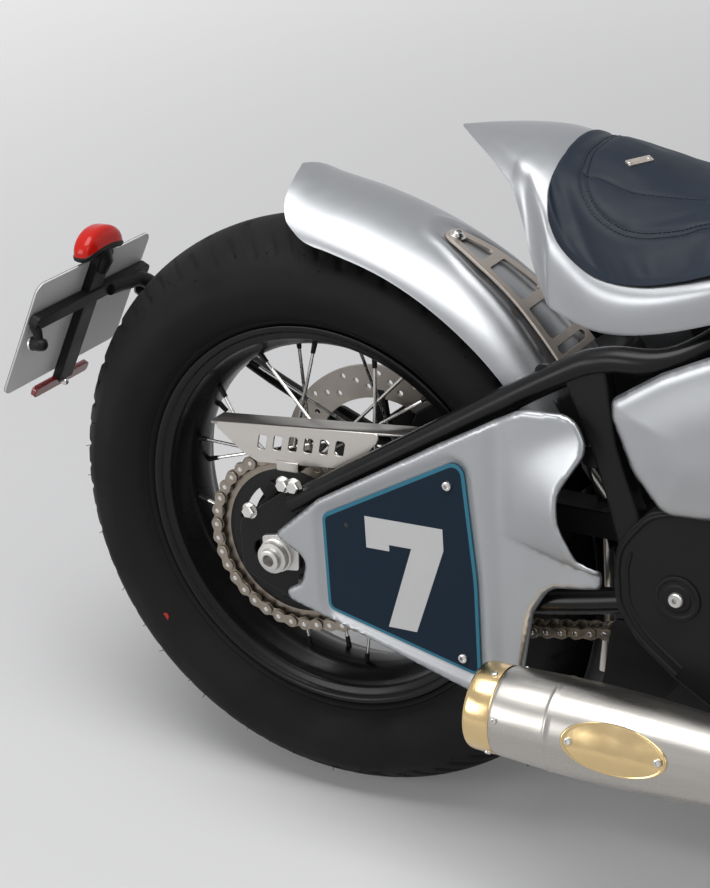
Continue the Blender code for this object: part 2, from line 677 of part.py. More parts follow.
def tail_profile(x):
    """Crown height, crease and lower edge of the tail pan at x."""
    table = [
        # x, crown height, crease y, crease z, lower edge y, lower edge z
        (0.165, 0.7510, 0.0020, 0.7508, 0.0028, 0.7496), (0.183, 0.7530, 0.0130, 0.7508, 0.0215, 0.7468),
        (0.202, 0.7540, 0.0270, 0.7490, 0.0392, 0.7425), (0.220, 0.7545, 0.0400, 0.7470, 0.0545, 0.7365),
        (0.236, 0.7545, 0.0520, 0.7435, 0.0675, 0.7295), (0.255, 0.7535, 0.0680, 0.7365, 0.0815, 0.7150),
        (0.265, 0.7522, 0.0760, 0.7320, 0.0870, 0.6970), (0.275, 0.7504, 0.0840, 0.7255, 0.0915, 0.6590),
        (0.284, 0.7480, 0.0910, 0.7160, 0.0960, 0.6370), (0.296, 0.7435, 0.1010, 0.6965, 0.1040, 0.6190),
        (0.314, 0.7320, 0.1130, 0.6670, 0.1110, 0.6085), (0.343, 0.7110, 0.1270, 0.6440, 0.1215, 0.6005),
        (0.366, 0.6980, 0.1335, 0.6400, 0.1280, 0.6000), (0.407, 0.6850, 0.1405, 0.6435, 0.1340, 0.6065),
        (0.445, 0.6810, 0.1410, 0.6535, 0.1345, 0.6155), (0.473, 0.6800, 0.1400, 0.6630, 0.1340, 0.6250),
        (0.540, 0.6840, 0.1290, 0.6780, 0.1240, 0.6440), (0.600, 0.6940, 0.1040, 0.6880, 0.0990, 0.6630),
        (0.632, 0.6990, 0.0840, 0.6930, 0.0790, 0.6740),
    ]
    return table, between(table, x)


def between(table, key):
    """The other columns of a table at a value of its first."""
    key = min(max(key, table[0][0]), table[-1][0])
    for low, high in zip(table, table[1:]):
        if key <= high[0]:
            t = (key - low[0]) / (high[0] - low[0])
            return tuple(a + (b - a) * t for a, b in zip(low[1:], high[1:]))
    return table[-1][1:]


def tail_height(x, y):
    crown, crease_y, crease_z = tail_profile(x)[1][:3]
    return crown - (crown - crease_z) * min(1.0, abs(y) / crease_y) ** 2.2


def tail_pan():
    """A thin pan whose sides turn down at a crease and meet in a fin at the rear."""
    rings = []
    shares = [-1, -0.93, -0.80, -0.62, -0.40, 0, 0.40, 0.62, 0.80, 0.93, 1]
    for x, crown, crease_y, crease_z, low_y, low_z in tail_profile(0)[0]:
        thin = min(PAN_T, crease_y / 2, (crown - low_z) * 0.6)
        outer = [(x, -low_y, low_z)] + [(x, s * crease_y, tail_height(x, s * crease_y)) for s in shares]
        outer.append((x, low_y, low_z))
        inner = [(x, -low_y + thin, low_z)]
        inner += [(x, s * (crease_y - thin), tail_height(x, s * crease_y) - thin) for s in shares]
        inner.append((x, low_y - thin, low_z))
        rings.append(outer + list(reversed(inner)))
    add("tail_pan", loft(rings), "silver_paint")


def seat():
    """A round-backed saddle that lies on the pan."""
    table = [
        # x, half width, height of the middle, share of the thickness
        (0.296, 0.0880, 0.7490, 0.25), (0.303, 0.1000, 0.7505, 0.70), (0.314, 0.1050, 0.7520, 0.90),
        (0.328, 0.1095, 0.7525, 1), (0.343, 0.1135, 0.7500, 1), (0.366, 0.1190, 0.7405, 1), (0.386, 0.1220, 0.7310, 1),
        (0.407, 0.1245, 0.7235, 1), (0.445, 0.1255, 0.7150, 1), (0.473, 0.1245, 0.7105, 1), (0.540, 0.1120, 0.7085, 1),
        (0.600, 0.0830, 0.7130, 0.95), (0.619, 0.0640, 0.7150, 0.6), (0.628, 0.0430, 0.7160, 0.25),
    ]
    rings = []
    steps = 12
    for x, half, middle, lift in table:
        edge = tail_height(x, half)
        under, over = [], []
        for k in range(steps + 1):
            y = -half * cos(pi * k / steps)
            bed = tail_height(x, y) + SEAT_LIFT
            dome = edge + (middle - edge) * max(0.0, 1 - (y / half) ** 2) ** 0.87
            under.append((x, y, bed))
            over.append((x, y, bed + 0.004 + max(0.0, dome - bed - 0.004) * lift))
        rings.append(over + list(reversed(under)))
    add("seat", loft(rings), "navy_leather")


def fender_strap():
    """A ladder of metal along the fender's crown, between the corners of the fender's own stations."""
    table = [
        # angle from +X, middle of the fender's facet, half width
        (65.5, 65.0, 0.012), (62.0, 65.0, 0.018), (60.0, 60.0, 0.021), (50.0, 50.0, 0.030), (40.0, 40.0, 0.038),
        (38.0, 35.0, 0.039),
    ]
    windows = [
        # middle angle, half length, half width
        (60.6, 0.0150, 0.0080), (52.4, 0.0220, 0.0160), (43.7, 0.0180, 0.0230),
    ]
    flat = FENDER_R * cos(radians(5))
    rings, cuts = [], []
    for angle, middle, half in table:
        a = radians(angle)
        r = (FENDER_R if angle == middle else flat / cos(radians(angle - middle))) + SEAT_GAP
        rings.append([
            ((r + up) * cos(a), y, REAR_AXLE_Z + (r + up) * sin(a))
            for y, up in ((-half, 0.0), (half, 0.0), (half, 0.003), (-half, 0.003))
        ])
    for angle, half_length, half in windows:
        cut = block((FENDER_R, 0, 0), (0.020, 2 * half, 2 * half_length))
        cut.transform(Matrix.Translation((0, 0, REAR_AXLE_Z)) @ Matrix.Rotation(-radians(angle), 4, "Y"))
        cuts.append(cut)
    fuse("fender_strap", [loft(rings)], "strap_metal", cutters=cuts)


def plate_group():
    """Blank plate, lamp, reflector and the arm that carries them from the left side of the axle."""
    top, down, out = PLATE_TOP, PLATE_DOWN, PLATE_OUT
    middle = top + down * PLATE_H / 2
    turn = Matrix((
        (0, out.x, down.x, middle.x), (1, 0, 0, 0), (0, out.z, down.z, middle.z), (0, 0, 0, 1),
    ))

    def plate_box(across, through, along, size):
        bm = block((across, through, along), size)
        bm.transform(turn)
        bmesh.ops.recalc_face_normals(bm, faces=bm.faces)
        return bm

    # across the plate, forward of it, and down it
    add("licence_plate", plate_box(0, 0, 0, (PLATE_W, 0.002, PLATE_H)), "plate_grey")
    gap = 0.001 + SEAT_GAP
    bar = plate_box(0, gap + 0.005, 0.0, (0.026, 0.010, 0.160))
    cross = plate_box(0, gap + 0.005, -0.030, (0.190, 0.008, 0.022))
    arm = curve_through([
        turn @ Vector((0.040, gap + 0.012, -0.030)), turn @ Vector((0.085, gap + 0.026, -0.030)),
        (-0.262, 0.1177, 0.465), (-0.160, 0.1177, 0.405), (-0.030, 0.1177, 0.345),
    ], 3)
    foot = drum((-0.030, 0.1177, 0.345), (-0.030, TUBE_Y - CARRIER_T / 2 - SEAT_GAP, 0.345), 0.008, 8)
    pieces = [bar, cross, tube(arm, 0.009, 6), foot]
    for side in (-1, 1):
        start = turn @ Vector((side * 0.090, gap + 0.0096, -0.030))
        pieces.append(drum(start, start + Vector((0, side * 0.030, 0)), 0.009, 10))
    fuse("plate_bracket", pieces, "black_paint")
    lamp = lathe(
        [(0.0, 0.0), (0.026, 0.0), (0.026, 0.010), (0.022, 0.022), (0.010, 0.030), (0.0, 0.031)], 16,
        closed=False
    )
    seat_z = (turn @ Vector((0, gap, -0.080))).z + SEAT_GAP
    lamp_x = (turn @ Vector((0, gap + 0.005, -0.080))).x
    lamp.transform(Matrix.Translation((lamp_x, 0, seat_z)) @ Matrix.Rotation(pi / 2, 4, "X"))
    add("tail_lamp", lamp, "lamp_red")
    reflector = plate_box(0, gap + 0.004, 0.080 + SEAT_GAP + 0.010, (0.066, 0.008, 0.020))
    add("rear_reflector", reflector, "lamp_red")


# Exhaust

def silencer_point(x, side):
    return Vector((x, side * (SILENCER_Y - 0.006 * max(0.0, (x - 0.5) / 0.33)), 0.2445 - 0.0375 * (x - 0.26)))


def exhaust():
    for side, name in ((-1, "right"), (1, "left")):
        body = [
            (0.296, 0.0470), (0.340, 0.0500), (0.420, 0.0500), (0.560, 0.0460), (0.700, 0.0380),
            (0.820, 0.0240)
        ]
        line = tube([silencer_point(x, side) for x, _ in body], [r for _, r in body], 16)
        add(f"silencer_{name}", line, "brushed_steel")
        ends = [(0.252, 0.0455), (0.256, 0.0475), (0.290, 0.0485), (0.2957, 0.0475)]
        add(
            f"silencer_cap_{name}",
            tube([silencer_point(x, side) for x, _ in ends], [r for _, r in ends], 16), "brass"
        )
        start = silencer_point(0.8210, side)
        route = curve_through([
            start, start + Vector((0.060, -side * 0.004, 0.002)), (0.960, side * 0.165, 0.270), (1.000, side * 0.150, 0.360),
            (1.010, side * 0.140, 0.470), (0.990, side * 0.105, 0.570), (0.950, side * 0.080, 0.612),
        ], 2) + [Vector((0.925, side * 0.075, 0.6200)), Vector((HEAD_FRONT + SEAT_GAP, side * 0.075, 0.6200))]
        add(f"header_{name}", tube(route, 0.019, 8), "steel")


# Frame and engine

SPINE = [(AXIS_X - 0.010, 0, HEAD_Z + 0.010), (AXIS_X - 0.177, 0, HEAD_Z - 0.032),
         (AXIS_X - 0.437, 0, HEAD_Z - 0.092), (FRAME_BAR[0], 0, FRAME_BAR[1])]
SPINE_R = 0.024
TUNNEL_GAP = 0.003         # between the spine and the tank's tunnel
DOWNTUBE = ((AXIS_X - 0.212, 0.085, 0.240), (AXIS_X - 0.012, 0.012, HEAD_Z - 0.035))

def main_frame():
    pieces = [drum((AXIS_X + 0.055 * sin(RAKE), 0, HEAD_Z - 0.055 * cos(RAKE)),
                   (AXIS_X - 0.070 * sin(RAKE), 0, HEAD_Z + 0.070 * cos(RAKE)), 0.030, 16)]
    pieces.append(tube(SPINE, SPINE_R, 10))
    rear = [(0.615, 0.062, 0.655), (0.535, 0.125, 0.585), (0.500, 0.137, 0.480), (0.508, 0.137, 0.360), (0.530, 0.130, 0.260),
            (0.600, 0.105, 0.185), (0.900, 0.095, 0.180), *DOWNTUBE]
    for side in (1, -1):
        pieces.append(tube([(x, side * y, z) for x, y, z in rear], 0.016, 8))
        plate = rounded(
            [(0.415, 0.395, 0.02), (0.500, 0.420, 0.02), (0.530, 0.330, 0.02), (0.500, 0.270, 0.02), (0.430, 0.310, 0.02)],
            2
        )
        pieces.append(prism(plate, side * 0.1463, side * 0.1523))
        pieces.append(block((0.500, side * 0.132, 0.345), (0.030, 0.034, 0.100)))
        pieces.append(drum((0.502, side * 0.137, 0.487), (0.502, side * (SIDE_COVER_Y - SEAT_GAP), 0.487), 0.008, 8))
        pieces.append(block((0.740, side * 0.100, CASE_BOTTOM - SEAT_GAP - 0.015), (0.040, 0.020, 0.030)))
    pieces.append(drum((FRAME_BAR[0], -0.066, FRAME_BAR[1]), (FRAME_BAR[0], 0.066, FRAME_BAR[1]), FRAME_BAR_R, 10))
    pan_under = tail_height(0.604, 0) - PAN_T - SEAT_GAP - 0.0005
    pieces.append(drum((0.610, 0, FRAME_BAR[1]), (0.610, 0, pan_under), 0.006, 8))
    rest = SPINE_R + TUNNEL_GAP - SEAT_GAP
    tank_rest = (AXIS_X - 0.337, HEAD_Z - 0.079)
    pieces.append(drum((tank_rest[0], -rest, tank_rest[1]), (tank_rest[0], rest, tank_rest[1]), 0.008, 8))
    pieces.append(drum((0.600, -0.105, 0.185), (0.600, 0.105, 0.185), 0.014, 8))
    pieces.append(drum((0.900, -0.100, 0.180), (0.900, 0.100, 0.180), 0.014, 8))
    for side in (-1, 1):
        rest = [
            (0.905, side * 0.096, 0.182), (0.905, side * 0.144, 0.205), (0.905, side * 0.146, 0.285),
            (0.905, side * 0.330, 0.300)
        ]
        pieces.append(tube(rest, 0.010, 8))
    pieces.append(block((STAND_PIVOT.x + 0.008, 0.118, STAND_PIVOT.z - 0.012), (0.040, 0.022, 0.036)))
    pieces.append(drum(STAND_PIVOT - STAND_AXIS * 0.042, STAND_PIVOT - STAND_AXIS * (STAND_EYE_HALF + TURN_GAP), 0.014, 10))
    up = Vector((-sin(RAKE), 0, cos(RAKE)))
    head = Vector((AXIS_X, 0, HEAD_Z))
    bore = drum(head - up * 0.1, head + up * 0.1, STEM_R + 0.001, 16)
    fuse("main_frame", pieces, "black_paint", cutters=[bore])


def engine():
    case = rounded([(0.615, 0.300, 0.03), (0.615, 0.420, 0.03), (0.700, 0.455, 0.02), (0.890, 0.455, 0.03), (0.930, 0.380, 0.05),
                    (0.910, 0.260, 0.05), (0.820, CASE_BOTTOM, 0.04), (0.640, CASE_BOTTOM, 0.05)], 3)
    cases = [prism(case, -CASE_HALF_W, CASE_HALF_W)]
    shaft_end = CHAIN_Y + 0.060 + SEAT_GAP
    cases.append(drum((FRONT_SPROCKET_X, shaft_end, FRONT_SPROCKET_Z), (FRONT_SPROCKET_X, 0.080, FRONT_SPROCKET_Z), 0.056, 16))
    cases.append(prism([(0.560, 0.315), (0.560, 0.405), (0.650, 0.412), (0.650, 0.305)], shaft_end + 0.003, 0.076))
    for side in (-1, 1):
        x = 0.740 if side < 0 else 0.800
        r = 0.105 if side < 0 else 0.085
        profile = [(0.0, 0.0), (r, 0.0), (r, 0.028), (r * 0.8, 0.045), (0.0, 0.052)]
        bm = lathe([(a, side * (b + 0.125)) for a, b in profile], 24, closed=False)
        bm.transform(Matrix.Translation((x, 0, 0.330)))
        cases.append(bm)
    fuse("crankcase", cases, "engine_black")
    fins = []
    base, top, count = 0.4553, 0.600, 9
    core = block((0.815, 0, (base + top) / 2), (0.150, 0.270, top - base))
    pieces = [core]
    for k in range(count):
        z = base + (top - base) * (k + 0.5) / count
        pieces.append(block((0.815, 0, z), (0.190, 0.300, 0.006)))
    fuse("cylinders", pieces, "engine_black")
    head = rounded([(0.735, 0.6003, 0), (0.735, 0.655, 0.015), (0.770, 0.690, 0.02), (0.870, 0.690, 0.02),
                    (HEAD_FRONT, 0.655, 0.015), (HEAD_FRONT, 0.6003, 0)], 3)
    bodies = [drum((0.680, side * 0.065, 0.625), (0.745, side * 0.065, 0.640), 0.026, 12) for side in (-1, 1)]
    fuse("cylinder_head", [prism(head, -0.150, 0.150)] + bodies, "engine_black")
    add("front_sprocket_block", drum((FRONT_SPROCKET_X, CHAIN_Y - 0.004, FRONT_SPROCKET_Z), (FRONT_SPROCKET_X, CHAIN_Y + 0.060, FRONT_SPROCKET_Z),
        pitch_radius(FRONT_TEETH) - CHAIN_HALF_H - TURN_GAP, 17), "chain_steel")
    low, high = (Vector((x, 0, z)) for x, _, z in DOWNTUBE)
    up = (high - low).normalized()
    ahead = Vector((up.z, 0, -up.x))
    middle = low + up * 0.235 + ahead * (0.016 * cos(pi / 8) + 0.017 + SEAT_GAP)
    core = block((0, 0, 0), (0.034, 0.230, 0.240))
    core.transform(Matrix.Translation(middle) @ Matrix.Rotation(atan2(up.x, up.z), 4, "Y"))
    add("radiator", core, "engine_black")


def side_covers():
    outline = rounded([(0.381, 0.530, 0.01), (0.381, 0.548, 0.01), (0.430, 0.579, 0.02), (0.476, 0.600, 0.02), (0.600, 0.625, 0.03), (0.640, 0.560, 0.04),
                       (0.600, 0.450, 0.03), (0.430, 0.441, 0.02), (0.400, 0.480, 0.02)], 3)
    for side, name in ((-1, "right"), (1, "left")):
        add(
            f"side_cover_{name}", prism(outline, side * SIDE_COVER_Y, side * (SIDE_COVER_Y + 0.0075)),
            "silver_paint"
        )


def shock():
    low, high = (Vector((x, 0, z)) for x, z in (CAGE_BAR, FRAME_BAR))
    along = (high - low).normalized()
    rod = drum(low + along * (CAGE_BAR_R + SEAT_GAP), high - along * (FRAME_BAR_R + SEAT_GAP), 0.010, 10)
    body = drum(low + along * 0.070, low + along * 0.240, 0.026, 14)
    fuse("rear_shock", [body, rod], "black_paint")


def fuel_tank():
    table = [
        # back from the steering head, middle above the head's, half width, half height
        (0.077, 0.015, 0.038, 0.026), (0.112, 0.016, 0.078, 0.048), (0.167, 0.008, 0.118, 0.074),
        (0.257, -0.015, 0.125, 0.085), (0.357, -0.050, 0.105, 0.075), (0.437, -0.080, 0.075, 0.052),
        (0.482, -0.095, 0.042, 0.028),
    ]
    rows = [(AXIS_X - back, HEAD_Z + up, w, h) for back, up, w, h in table]
    rings = []
    sides = 18
    for x, z, w, h in rows:
        ring = []
        for k in range(sides):
            a = 2 * pi * k / sides
            c, s = cos(a), sin(a)
            ring.append((x, w * abs(c) ** 0.8 * (1 if c > 0 else -1), z + h * abs(s) ** 0.8 * (1 if s > 0 else -1)))
        rings.append(ring)
    wall = SPINE_R + TUNNEL_GAP
    tunnel = tube(SPINE, wall, 10)
    below = [(FRAME_BAR[0] - 0.015, 0.40), (AXIS_X + 0.10, 0.40), (AXIS_X + 0.10, SPINE[0][2])]
    under = prism([(x, z) for x, _, z in SPINE] + below, -wall, wall)
    up = Vector((-sin(RAKE), 0, cos(RAKE)))
    head = Vector((AXIS_X, 0, HEAD_Z))
    nose = drum(head - up * 0.2, head + up * 0.2, 0.042, 16)
    fuse("fuel_tank", [loft(rings)], "silver_paint", cutters=[tunnel, under, nose])
    top = [Vector((x, 0, z + h * sin(4 * 2 * pi / sides) ** 0.8)) for x, z, w, h in rows[2:4]]
    slope = (top[0] - top[1]).normalized()
    lift = Vector((-slope.z, 0, slope.x))
    middle = top[1].lerp(top[0], 0.62) + lift * SEAT_GAP
    add("filler_cap", drum(middle, middle + lift * 0.012, 0.030, 16), "steel")


# Front end, in the steering axis's own frame

def fork():
    for side, name in ((1, "left"), (-1, "right")):
        y = side * FORK_TUBE_Y
        leg = drum((FORK_OFFSET, y, -0.380), (FORK_OFFSET, y, 0.118), FORK_TUBE_R, 14)
        slider = drum((FORK_OFFSET, y, -AXLE_DROP - 0.022), (FORK_OFFSET, y, -0.300), SLIDER_R, 14)
        pieces = [slider, leg]
        if side > 0:
            for half in caliper(FRONT_DISC_R, FRONT_DISC_Y, FORK_TUBE_Y - 0.008, radians(128), 0.049):
                half.transform(Matrix.Translation((FORK_OFFSET, 0, -AXLE_DROP)))
                pieces.append(half)
            lug = block((FORK_OFFSET - 0.036, FORK_TUBE_Y - 0.013, -AXLE_DROP + 0.104), (0.060, 0.018, 0.050))
            pieces.append(lug)
        fuse(f"fork_leg_{name}", pieces, "black_paint", STEERING,
             cutters=[drum((FORK_OFFSET, -0.2, -AXLE_DROP), (FORK_OFFSET, 0.2, -AXLE_DROP), 0.0105, 12)])
    pieces = [drum((0, 0, -0.1005), (0, 0, 0.112), STEM_R, 12)]
    for z, half in ((-0.0845, 0.016), (0.0980, 0.014)):
        pieces.append(block((0.024, 0, z), (0.062, 0.190, 2 * half - 0.004)))
        pieces.append(drum((0, 0, z - half), (0, 0, z + half), 0.032, 14))
        for side in (1, -1):
            y = side * FORK_TUBE_Y
            pieces.append(drum((FORK_OFFSET, y, z - half), (FORK_OFFSET, y, z + half), 0.033, 14))
            pieces.append(block((0.045, side * 0.07, z), (0.040, 0.070, 2 * half - 0.006)))
    cutters = [drum((FORK_OFFSET, s * FORK_TUBE_Y, -0.2), (FORK_OFFSET, s * FORK_TUBE_Y, 0.2), FORK_TUBE_R + SEAT_GAP, 14)
               for s in (1, -1)]
    fuse("yokes", pieces, "black_paint", STEERING, cutters=cutters)
    shaft = [(0.0, -0.140), (0.0098, -0.140), (0.0098, 0.140), (0.0, 0.140)]
    bm = lathe(shaft, 12, closed=False)
    bm.transform(Matrix.Translation((FORK_OFFSET, 0, -AXLE_DROP)))
    add("front_axle", bm, "steel", STEERING)
    half = [
        (-0.010, 0.0, 0.152), (-0.012, 0.085, 0.152), (-0.030, 0.150, 0.180), (-0.105, 0.280, 0.200),
        (-0.190, BAR_HALF_W, 0.175)
    ]
    bar = [(x, -y, z) for x, y, z in reversed(half[1:])] + half
    pieces = [tube(curve_through(bar, 3), 0.011, 10)]
    for side in (1, -1):
        inward = Vector((0.081, -side * 0.112, 0.024)).normalized()
        end = Vector((-0.190, side * BAR_HALF_W, 0.175))
        grip, clamp = end + inward * 0.118, end + inward * 0.136
        ahead = Vector((0.81, side * 0.58, 0)).normalized()
        pieces.append(drum(end, grip, 0.0165, 12))
        pieces.append(drum(grip, clamp, 0.0190, 12))
        tip = end + inward * 0.004 + ahead * 0.062
        pieces.append(tube([clamp - inward * 0.009, clamp + ahead * 0.030, clamp - inward * 0.040 + ahead * 0.052, tip],
                           0.0055, 6))
        pieces.append(drum((-0.0106, side * 0.045, 0.1123), (-0.0106, side * 0.045, 0.152), 0.015, 12))
    fuse("handlebar", pieces, "black_paint", STEERING)
    lamp = lathe(
        [(0.0, 0.0), (0.040, 0.006), (0.072, 0.050), (0.082, 0.095), (0.082, 0.110), (0.0, 0.110)], 24,
        closed=False
    )
    aim = Matrix.Translation((0.100, 0, 0.010)) @ Matrix.Rotation(-pi / 2, 4, "Z")
    lamp.transform(aim)
    bmesh.ops.recalc_face_normals(lamp, faces=lamp.faces)
    reach = FORK_TUBE_Y - FORK_TUBE_R - SEAT_GAP
    ears = [block((0.084, side * (reach - 0.008), 0.010), (0.058, 0.016, 0.016)) for side in (1, -1)]
    fuse("headlamp", [lamp, block((0.104, 0, 0.010), (0.018, 0.150, 0.016))] + ears, "engine_black", STEERING)
    lens = lathe(
        [(0.0, 0.1103), (0.078, 0.1103), (0.070, 0.120), (0.040, 0.128), (0.0, 0.130)], 24, closed=False
    )
    lens.transform(aim)
    bmesh.ops.recalc_face_normals(lens, faces=lens.faces)
    add("headlamp_lens", lens, "lens", STEERING)
    dial = drum((0.050, 0, 0.1123), (0.050, 0, 0.160), 0.042, 20)
    add("speedometer", dial, "engine_black", STEERING)


FRONT_FENDER_GAP = 0.022   # from the front tyre's crown to the fender's outer crown
FRONT_FENDER_HALF_W = FRONT_TYRE_W / 2 + 0.009


def front_fender():
    steps = 8
    skirt = FRONT_TYRE_R
    rings = []
    for angle in range(150, 29, -12):
        a = radians(angle)
        outer, inner = [], []
        for k in range(steps + 1):
            t = pi * k / steps
            for line, thick in ((outer, 0.0), (inner, FENDER_T)):
                half = FRONT_FENDER_HALF_W - thick
                r = skirt + (FRONT_FENDER_GAP - thick) * max(0.0, sin(t)) ** 0.5
                line.append((FORK_OFFSET + r * cos(a), -half * cos(t), -AXLE_DROP + r * sin(a)))
        rings.append(outer + list(reversed(inner)))
    reach = FORK_TUBE_Y - FORK_TUBE_R - SEAT_GAP
    stay_z = skirt - 0.002 - AXLE_DROP
    stays = [block((FORK_OFFSET, side * (reach - 0.007), stay_z), (0.030, 0.014, 0.012)) for side in (1, -1)]
    fuse("front_fender", [loft(rings)] + stays, "silver_paint", STEERING)


def side_stand():
    """A leg that swings square to its tilted pivot, with a flat foot on the floor."""
    corners = rounded(
        [(-0.045, -0.028, 0.02), (-0.045, 0.028, 0.02), (0.045, 0.028, 0.02), (0.045, -0.028, 0.02)], 3
    )
    sole = prism(corners, -0.007, 0.0)
    upright = Matrix.Rotation(LEAN, 4, "X") @ Matrix.Rotation(-pi / 2, 4, "X")
    sole.transform(Matrix.Translation(STAND_SWING) @ upright)
    ankle = STAND_SWING + Vector((0, 0, 0.012))
    leg = tube([Vector((0, 0, 0)), ankle * 0.5 + STAND_AXIS * 0.004, ankle], 0.0105, 8)
    eye = drum(-STAND_AXIS * STAND_EYE_HALF, STAND_AXIS * 0.014, 0.018, 12)
    stand = fuse("side_stand", [leg, sole, eye], "black_paint", STAND)
    stand["fold_axis"] = STAND_AXIS
    stand["fold_degrees"] = degrees(STAND_SWING.angle(STAND_FOLDED))


def centre_on_floor():
    """Puts the origin below the middle of the whole bike."""
    bpy.context.view_layer.update()
    graph = bpy.context.evaluated_depsgraph_get()
    corners = []
    for item in bpy.context.scene.objects:
        if item.type == "MESH" and not item.hide_render:
            mesh = item.evaluated_get(graph).to_mesh()
            corners += [item.matrix_world @ point.co for point in mesh.vertices]
    for axis in (0, 1):
        places = [corner[axis] for corner in corners]
        BIKE.location[axis] -= (min(places) + max(places)) / 2


rear_wheel()
front_wheel()
chain()
rear_cage()
rear_axle()
arm_covers()
chain_guard()
rear_fender()
tail_pan()
seat()
fender_strap()
plate_group()
exhaust()
main_frame()
engine()
side_covers()
shock()
fuel_tank()
fork()
front_fender()
side_stand()
centre_on_floor()
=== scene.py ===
"""Looks of a bobber motorcycle that leans on its side stand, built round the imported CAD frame.

Metres. Pieces are made in the bike's own upright frame: X forward from the rear axle, Y to its left and
Z up from the ground. BIKE leans them as the CAD leans.
"""

import json
from math import acos, atan2, cos, pi, radians, sin, sqrt

import bmesh
import bpy
import numpy as np
from mathutils import Matrix, Vector
from mathutils.bvhtree import BVHTree
from mathutils.geometry import delaunay_2d_cdt
from mathutils.kdtree import KDTree

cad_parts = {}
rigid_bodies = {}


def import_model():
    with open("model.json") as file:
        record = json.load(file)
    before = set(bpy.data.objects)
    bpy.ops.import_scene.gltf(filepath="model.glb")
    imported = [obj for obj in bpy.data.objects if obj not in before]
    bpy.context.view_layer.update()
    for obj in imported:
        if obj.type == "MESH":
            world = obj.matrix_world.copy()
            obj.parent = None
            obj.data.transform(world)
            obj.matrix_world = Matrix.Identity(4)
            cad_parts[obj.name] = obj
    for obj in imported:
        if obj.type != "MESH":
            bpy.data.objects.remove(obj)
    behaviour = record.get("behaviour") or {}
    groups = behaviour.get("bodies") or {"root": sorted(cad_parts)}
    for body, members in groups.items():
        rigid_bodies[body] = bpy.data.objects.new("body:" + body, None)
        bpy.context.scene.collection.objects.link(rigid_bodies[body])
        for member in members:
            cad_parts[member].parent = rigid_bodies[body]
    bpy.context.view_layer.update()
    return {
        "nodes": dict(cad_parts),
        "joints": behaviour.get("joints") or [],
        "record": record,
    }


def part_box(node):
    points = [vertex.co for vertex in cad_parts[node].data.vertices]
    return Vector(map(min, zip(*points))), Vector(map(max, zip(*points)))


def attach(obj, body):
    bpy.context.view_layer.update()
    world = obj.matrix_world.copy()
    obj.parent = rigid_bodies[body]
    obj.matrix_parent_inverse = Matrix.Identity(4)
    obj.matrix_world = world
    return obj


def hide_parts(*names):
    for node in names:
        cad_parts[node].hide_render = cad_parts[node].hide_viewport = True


for old in list(bpy.data.objects):
    bpy.data.objects.remove(old, do_unlink=True)

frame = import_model()
JOINTS = {joint["name"]: joint for joint in frame["joints"]}
NODES = frame["nodes"]

# The bike's frames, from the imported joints

REAR_AXLE_Z = 0.323
AHEAD = Vector((1, 0, 0))
ACROSS = Vector(JOINTS["rear_wheel_spin"]["axis"]).normalized()
UPRIGHT = AHEAD.cross(ACROSS)
LEAN = acos(UPRIGHT.z)


def frame_at(origin, x, y, z):
    placed = Matrix.Identity(4)
    for column, axis in enumerate((x, y, z, origin)):
        placed.col[column][:3] = axis
    return placed


AXLE = Vector(JOINTS["rear_wheel_spin"]["pos_m"])
BIKE = frame_at(AXLE - UPRIGHT * REAR_AXLE_Z, AHEAD, ACROSS, UPRIGHT)
REAR = frame_at(AXLE, AHEAD, ACROSS, UPRIGHT)
FRONT = frame_at(Vector(JOINTS["front_wheel_spin"]["pos_m"]), AHEAD, ACROSS, UPRIGHT)
STEM = Vector(JOINTS["steering"]["axis"]).normalized()
STEER = frame_at(Vector(JOINTS["steering"]["pos_m"]), ACROSS.cross(STEM), ACROSS, STEM)

PLACES = {"root": BIKE, "rear_wheel": REAR, "front_wheel": FRONT, "fork": STEER}
SIDES = ((-1, "right"), (1, "left"))

# Sizes shared with the CAD

RIM_HALF_W = 0.049
SPOKES = 32
CHAIN_PITCH = 0.015875
REAR_TEETH = 37
FRONT_TEETH = 17
CHAIN_Y = -0.103
FRONT_SPROCKET = Vector((0.545, 0.362))
COVER_FACE = 0.154
PANEL_FACE = 0.156
REAR_CROWN_R = 0.085
FRONT_CROWN_R = 0.07
PLATE_TOP = Vector((-0.302, 0, 0.569))
PLATE_TILT = radians(27)
RAKE = radians(25.8)


# Materials

